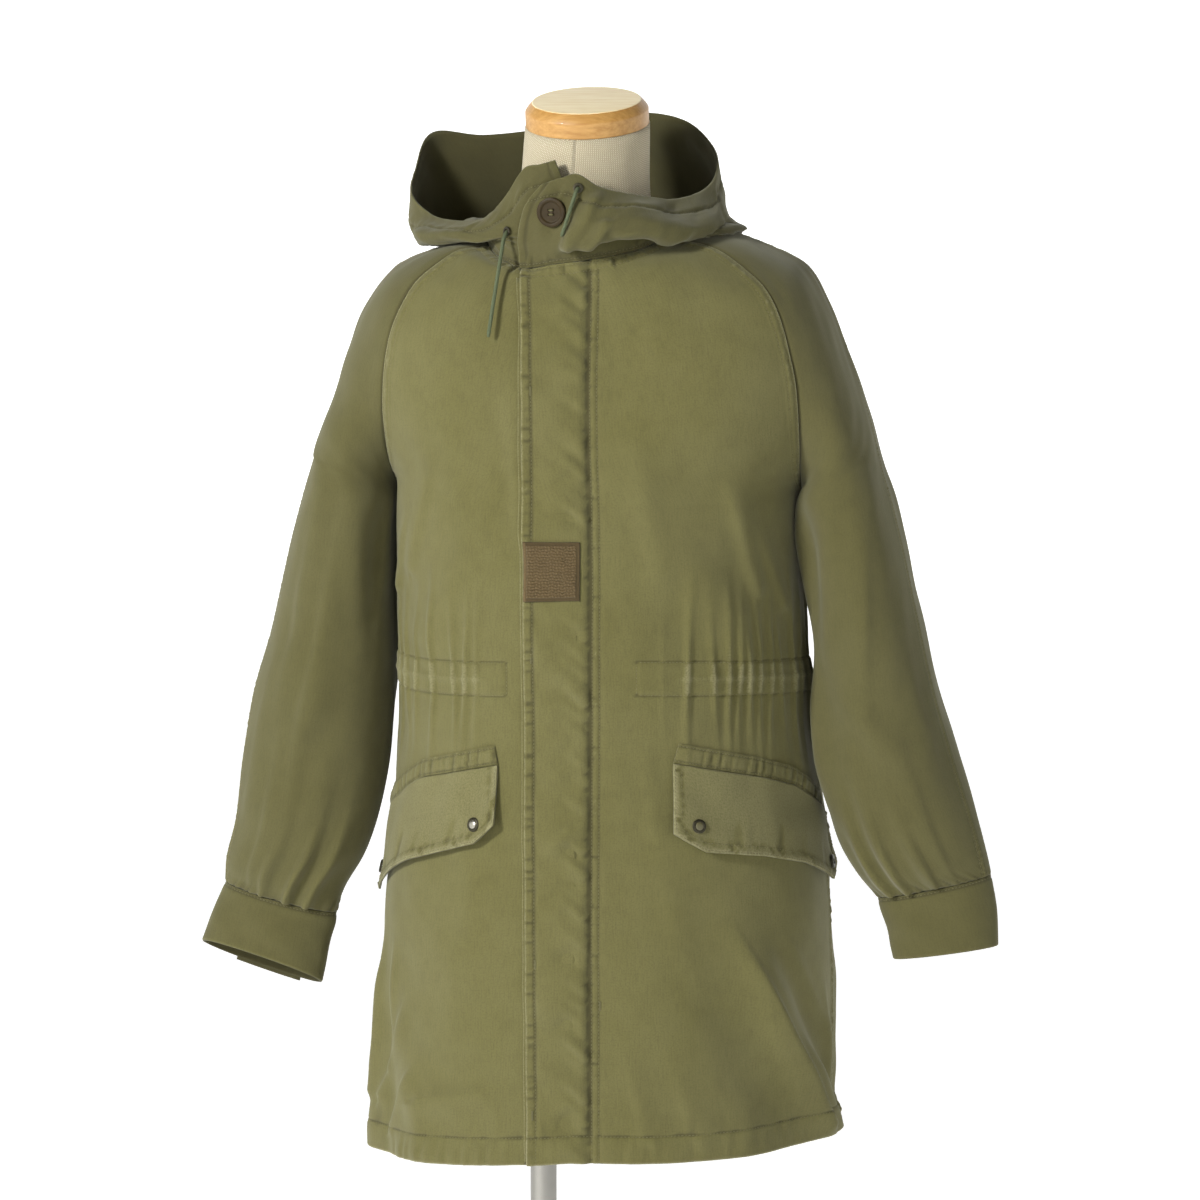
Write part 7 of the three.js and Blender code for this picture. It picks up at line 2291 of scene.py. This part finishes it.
FINISHES = (
    # The jacket's cloth: washed, paler on its seams and crests, with painted shade in its dents and
    # inside.
    ClothFinish("olive cotton sateen", "#5c582f", "#67633d", "#959171", "#35311a"),
    # The patch's loops: matt, paler at their tips.
    ClothFinish("cotton loop pile", "#493a20", "#534326", "#837050", "#262012", grain=1.1,
                bump=0.5, roughness=0.95, sheen=0.3),
    # All stitches and bar tacks.
    PlainFinish("cotton thread", "#6c6845", "#5a5635", 3.0, 0.8),
    # The throat button: nearly matt.
    PlainFinish("dark brown resin", "#3b301a", "#241c0e", 4.0, 0.4, specular=0.15),
    # The cap of the right flap's front snap, worn bright.
    PlainFinish("brushed steel", "#b9b6aa", "#8f8b7e", 1.5, 0.34, metallic=1.0),
    # The snaps' rings and hollow halves, and the eyelets.
    PlainFinish("blackened brass", "#4a4636", "#2a281f", 2.0, 0.42, metallic=0.8),
    # The cap of the left flap's front snap.
    PlainFinish("olive enamelled brass", "#5d583a", "#4d492e", 3.0, 0.4),
    # The drawcord, greener than the cloth.
    PlainFinish("braided cotton cord", "#566043", "#424a31", 1.2, 0.85, bump=0.3),
    # The cover of the form's torso and neck.
    LinenFinish("undyed linen", "#e3dac0", "#a3987c"),
    # The top of the neck cap.
    WoodFinish("turned beech", "#fdecc0", "#efd69e"),
    # The bevel and side of the neck cap.
    WoodFinish("varnished beech edge", "#bd9252", "#a27437"),
    # The pole.
    PlainFinish("polished chrome", "#9c9a94", "#8c8a84", 40.0, 0.12, metallic=1.0, bump=0.0),
    # The base.
    PlainFinish("white powder coat", "#e4e3df", "#dcdbd6", 1.2, 0.5),
)


class Part(Enum):
    """How a sewn piece is held, and what it lies on."""

    BODY = ("gathered", ("form_torso_linen",))
    SLEEVE = ("hung", ("form_torso_linen",))
    HOOD = ("folded", ("front_left_cloth", "front_right_cloth", "back_cloth"))
    TRIM = ("laid", ("front_left_cloth", "front_right_cloth"))


@dataclass
class Jacket:
    """The whole jacket: cloth pieces, sewing, button, snaps and cords."""

    finishes: dict[str, bpy.types.Material]
    cotton: str = "olive cotton sateen"
    thread: str = "cotton thread"
    tacks: tuple[tuple[float, float], ...] = (
        (-43.0, 1239.0), (-40.0, 997.0), (-33.0, 720.0), (25.5, 682.0), (-36.0, 582.0),
    )

    def cloth(
        self, name: str, wall: Wall, part: Part, finish: str = "", slot: str = "olive_cotton"
    ) -> None:
        """Build a cloth piece and hide the solid that it replaces."""
        piece = wall.build(f"{name}_cloth", self.finishes[finish or self.cotton])
        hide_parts(name)
        length = float(lengths_up(wall.outside)[-1].max()) * MM
        held, under = part.value
        under = [n for n in under if n != piece.name]

    def sewing(self, stitching: Stitching, name: str) -> None:
        """Build the stitches of one part of the jacket."""
        piece = stitching.build(name, self.finishes[self.thread])

    def body(self) -> None:
        """Build the fronts, the strip under the fly and the back, with their sewing."""
        panels = BodyPanels()
        left, measure = panels.left_front()
        self.cloth("front_left", left, Part.BODY)
        thread = Stitching()
        end = measure["across"][:, -1]
        for off in SEAM_STITCHES:
            thread.sew(traced(left, measure["across"], end - off))
        for off in (0.0, FLY_SECOND_STITCH):
            thread.sew(traced(left, measure["past"], off))
        thread.sew(traced(left, measure["across"], FLY_EDGE_STITCH))
        self.level_lines(thread, left, measure)
        for x, z in self.tacks:
            away = (left.outside - np.array([x, 0, z])) * np.array([1, 0, 1])
            off = np.linalg.norm(away, axis=-1)
            at = np.unravel_index(off.argmin(), off.shape)
            thread.tack(left.outside[at], np.array([0.0, 0.0, 1.0]), left.normals[at])
        self.sewing(thread, "stitching_front_left")
        right, measure = panels.right_front()
        self.cloth("front_right", right, Part.BODY)
        thread = Stitching()
        for off in SEAM_STITCHES:
            thread.sew(traced(right, measure["across"], off))
        self.level_lines(thread, right, measure)
        self.sewing(thread, "stitching_front_right")
        back, measure = panels.back()
        self.cloth("back", back, Part.BODY)
        thread = Stitching()
        low = panels.places < 0.2
        for off in SEAM_STITCHES:
            for value in (measure["across"][:, 0] + off, measure["across"][:, -1] - off):
                thread.sew(traced(back, measure["across"], value), keep=~low)
        self.level_lines(thread, back, measure)
        self.sewing(thread, "stitching_back")
        self.cloth("under_fly", panels.under_fly(), Part.BODY)

    def level_lines(self, thread: Stitching, wall: Wall, measure: dict[str, Array]) -> None:
        """Sew a panel's hem, its waist channel and its neck seam."""
        thread.sew(traced(wall, measure["up"], HEM_STITCH, up=True))
        for height in (CHANNEL_BOTTOM, CHANNEL_TOP):
            line = traced(wall, measure["height"], height, up=True)
            angle = angle_round(line[0]) % 360
            thread.sew(line, keep=(angle > CHANNEL_ENDS[0]) & (angle < 360 + CHANNEL_ENDS[1]))
        for angle in CHANNEL_ENDS:
            off = np.abs(angle_round(wall.outside) - angle)
            at = int(off[np.abs(measure["height"][:, 0] - 981).argmin()].argmin())
            height = measure["height"][:, at]
            keep = (height > CHANNEL_BOTTOM) & (height < CHANNEL_TOP) & (off.min() < 0.6)
            if keep.any():
                thread.sew((wall.outside[:, at], wall.normals[:, at]), keep=keep)
        top = measure["up"][-1]
        for off in (2.5, 10.0):
            thread.sew(traced(wall, measure["up"], top - off, up=True))

    def sleeves(self) -> None:
        """Build both sleeves with their cuffs."""
        arms = {
            "left": Sleeve(1, LEFT_SLEEVE, LEFT_SHOULDER, LEFT_CUFF, LEFT_PLEATS,
                           LEFT_SLEEVE_FOLDS),
            "right": Sleeve(-1, RIGHT_SLEEVE, RIGHT_SHOULDER, RIGHT_CUFF, RIGHT_PLEATS,
                            RIGHT_SLEEVE_FOLDS),
        }
        for name, arm in arms.items():
            thread = Stitching()
            for half, facing in (("front", -1), ("back", 1)):
                wall, across = arm.half(facing)
                self.cloth(f"sleeve_{half}_{name}", wall, Part.SLEEVE)
                at_end = (facing < 0) == (arm.side > 0)
                value = across[:, -1] - 2.2 if at_end else across[:, 0] + 2.2
                thread.sew(traced(wall, across, value))
            wall = arm.cuff_wall()
            self.cloth(f"cuff_{name}", wall, Part.SLEEVE)
            up = lengths_up(wall.outside)
            thread.sew(traced(wall, up, up[-1] - 2.6, up=True))
            self.sewing(thread, f"stitching_sleeve_{name}")
            self.cloth(f"cuff_end_{name}", arm.cuff_end(), Part.SLEEVE)

    def hood(self) -> None:
        """Build the hood's halves, its cords and the button."""
        halves = {
            "left": HoodHalf(1, LEFT_HOOD, FLY_LIFT, folds=LEFT_HOOD_FOLDS),
            "right": HoodHalf(-1, RIGHT_HOOD, 0.0, folds=RIGHT_HOOD_FOLDS),
        }
        for name, half in halves.items():
            wall, up = half.wall()
            self.cloth(f"hood_{name}", wall, Part.HOOD)
            thread = Stitching()
            for line in (up[-1] - half.casing, HOOD_SEAM_STITCH):
                thread.sew(traced(wall, up, line, up=True))
            self.sewing(thread, f"stitching_hood_{name}")
            if name == "left":
                place, out = half.front_place(wall, -28, 1397)
                button = Button(place, out)
                button.build(self.finishes["dark brown resin"], self.finishes[self.thread])
        for name, points in (("right", RIGHT_CORD_POINTS), ("left", LEFT_CORD_POINTS)):
            Drawcord(f"drawcord_{name}", points).build(
                self.finishes["braided cotton cord"], self.finishes["blackened brass"]
            )

    def pockets(self) -> None:
        """Build the pockets with their snaps, and the patch on the chest."""
        pockets = {
            "left": Pocket(1, LEFT_FLAP, 88.0, (0.1, 0.27), (0.93, 0.24)),
            "right": Pocket(-1, RIGHT_FLAP, 70.0, (0.09, 0.25), (0.92, 0.26)),
        }
        thread = Stitching()
        for name, pocket in pockets.items():
            wall, measure = pocket.flap()
            self.cloth(f"pocket_flap_{name}", wall, Part.TRIM)
            for off in (1.8, 8.0):
                self.round_flap(thread, wall, measure, off)
            band = pocket.band()
            self.cloth(f"pocket_band_{name}", band, Part.TRIM)
            up = lengths_up(band.outside)
            for value in (np.full(up.shape[1], 2.2), up[-1] - 2.2):
                thread.sew(traced(band, up, value, up=True))
            cap = "olive enamelled brass" if name == "left" else "brushed steel"
            for place, at in (("front", pocket.front_snap), ("side", pocket.side_snap)):
                centre, out = pocket.snap_place(at)
                Snap(centre, out, place == "side").build(
                    f"snap_{name}_{place}",
                    self.finishes["blackened brass"],
                    self.finishes["blackened brass" if place == "side" else cap],
                )
        self.sewing(thread, "stitching_pockets")
        self.cloth("loop_patch", LoopPatch().wall(), Part.TRIM, "cotton loop pile", "loop_pile")

    def round_flap(
        self, thread: Stitching, wall: Wall, measure: dict[str, Array], off: float
    ) -> None:
        """Sew round a flap's two sides and its bottom at one distance from the edge."""
        across, up = measure["across"], measure["up"]
        for value in (across[:, 0] + off, across[:, -1] - off):
            points, normals = traced(wall, across, value)
            thread.sew((points, normals), keep=up[:, 0] > off)
        bottom = traced(wall, up, off / 0.96, up=True)
        mid = across[0]
        thread.sew(bottom, keep=(mid > off) & (mid < mid[-1] - off))


# Folds of the hood by row number times ten and share of the way from seam to rim in percent:
# the pinch behind the button, the U of cloth beyond it, and the bunches behind.
LEFT_HOOD_FOLDS = (
    Fold((21, 6), (27, 92), 1.6, -2.6, 0.2),
    Fold((25, 2), (31, 96), 3.0, 5.2, 0.5),
    Fold((38, 30), (52, 24), 5.0, -9.0),
    Fold((33, 18), (36, 64), 2.6, 4.5, 0.3),
    Fold((40, 56), (56, 50), 5.0, 3.0),
    Fold((58, 26), (60, 60), 3.0, 3.2, 0.3),
    Fold((48, 55), (66, 62), 9.0, 2.2, 0.2),
    Fold((70, 35), (84, 60), 10.0, -2.4, 0.2),
    Fold((92, 25), (104, 80), 7.0, 3.4, 0.4),
    Fold((110, 20), (116, 90), 6.0, 3.0, -0.3),
)
RIGHT_HOOD_FOLDS = (
    Fold((30, 35), (42, 55), 9.0, 1.6, 0.2),
    Fold((52, 40), (66, 60), 9.0, 2.2, 0.3),
    Fold((76, 30), (90, 60), 8.0, -2.4, 0.3),
    Fold((100, 20), (108, 90), 6.0, 3.6, 0.4),
    Fold((118, 20), (122, 90), 6.0, 3.0, -0.3),
)


@dataclass
class Studio:
    """The pale floor, soft lights and the photograph's camera."""

    azimuth: float = 10.0
    distance: float = 4.4
    camera_height: float = 1.6
    target: tuple[float, float, float] = (0.0542, 0.0, 1.033)
    image_pixels: float = 1200.0
    pixels_at_one: float = 0.93
    glow: float = 0.6
    surround: float = 0.04

    def build(self) -> None:
        """Make the floor, the backdrop, the lights and the camera."""
        bpy.context.scene.view_settings.view_transform = "Standard"
        white = self.paint("lit white sweep", self.glow)
        bright = self.paint("bright white wall", 0.92)
        wide, tall, far = 30.0, 9.0, 9.0
        level = -0.0005
        ring = [(-wide, -wide), (wide, -wide), (wide, wide), (-wide, wide)]
        self.sheet("floor", white, [(*corner, level) for corner in ring])
        self.sheet("backdrop", white, self.upright((-wide, far), (wide, far), level, tall))
        for number, (start, stop) in enumerate(zip(ring, ring[1:] + ring[:1])):
            self.sheet(f"wall_{number}", bright, self.upright(start, stop, level, tall))
        self.lights()
        self.camera()

    def paint(self, name: str, glow: float) -> bpy.types.Material:
        """Make the studio's matt white, which glows a little so that it photographs as white."""
        white, _, shader = blank(name)
        shader.inputs["Base Color"].default_value = linear("#f4f4f2")
        shader.inputs["Roughness"].default_value = 0.9
        shader.inputs["Emission Color"].default_value = linear("#ffffff")
        shader.inputs["Emission Strength"].default_value = glow
        return white

    def upright(self, start: tuple, stop: tuple, low: float, high: float) -> list[tuple]:
        """List the corners of an upright sheet over a line of the floor."""
        return [(*start, low), (*stop, low), (*stop, high), (*start, high)]

    def sheet(self, name: str, white: bpy.types.Material, ring: list[tuple]) -> None:
        """Make a flat sheet of the studio's sweep, which isn't part of the object."""
        mesh = bpy.data.meshes.new(name)
        mesh.from_pydata(ring, [], [(0, 1, 2, 3)])
        mesh.materials.append(white)
        piece = bpy.data.objects.new(name, mesh)
        bpy.context.scene.collection.objects.link(piece)

    def lights(self) -> None:
        """Light softly from the front and both sides, with a dim white surround."""
        world = bpy.data.worlds.new("studio")
        bpy.context.scene.world = world
        world.use_nodes = True
        world.node_tree.nodes["Background"].inputs[0].default_value = linear("#ffffff")
        world.node_tree.nodes["Background"].inputs[1].default_value = self.surround
        for name, place, power, size in (
            ("key", (-2.0, -2.9, 2.6), 162.0, 0.6),
            ("fill", (2.2, -3.4, 1.6), 9.0, 1.6),
        ):
            light = bpy.data.lights.new(name, "AREA")
            light.energy, light.size = power, size
            lamp = bpy.data.objects.new(name, light)
            lamp.location = place
            aim = np.array([0.05, 0.0, 1.0]) - np.array(place)
            lamp.rotation_euler = aimed(aim)
            bpy.context.scene.collection.objects.link(lamp)

    def camera(self) -> None:
        """Stand the camera where the photograph was taken, with its field of view."""
        turn = math.radians(self.azimuth)
        place = np.array([
            BODY_AXIS_X * MM + self.distance * math.sin(turn),
            -self.distance * math.cos(turn),
            self.camera_height,
        ])
        aim = np.array(self.target) - place
        data = bpy.data.cameras.new("camera")
        focal_pixels = float(np.linalg.norm(aim)) / MM / self.pixels_at_one
        data.angle = 2 * math.atan(self.image_pixels / 2 / focal_pixels)
        camera = bpy.data.objects.new("camera", data)
        camera.location = place
        camera.rotation_euler = aimed(aim)
        bpy.context.scene.collection.objects.link(camera)
        bpy.context.scene.camera = camera


def aimed(way: Array) -> tuple[float, float, float]:
    """Give the turn about X, Y and Z that points -Z along a way, with the picture upright."""
    flat = math.hypot(way[0], way[1])
    return math.pi / 2 + math.atan2(way[2], flat), 0.0, math.atan2(way[1], way[0]) - math.pi / 2


def main() -> None:
    """Build the dress form, the jacket and the studio."""
    logging.basicConfig(level=logging.INFO, format="%(name)s: %(message)s")
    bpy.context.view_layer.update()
    finishes = {finish.name: finish.material() for finish in FINISHES}
    DressForm().build({
        "linen": finishes["undyed linen"],
        "cap_wood": finishes["turned beech"],
        "cap_edge": finishes["varnished beech edge"],
        "pole_chrome": finishes["polished chrome"],
        "base_paint": finishes["white powder coat"],
    })
    jacket = Jacket(finishes)
    jacket.body()
    jacket.sleeves()
    jacket.hood()
    jacket.pockets()
    Studio().build()


if __name__ == "__main__":
    main()
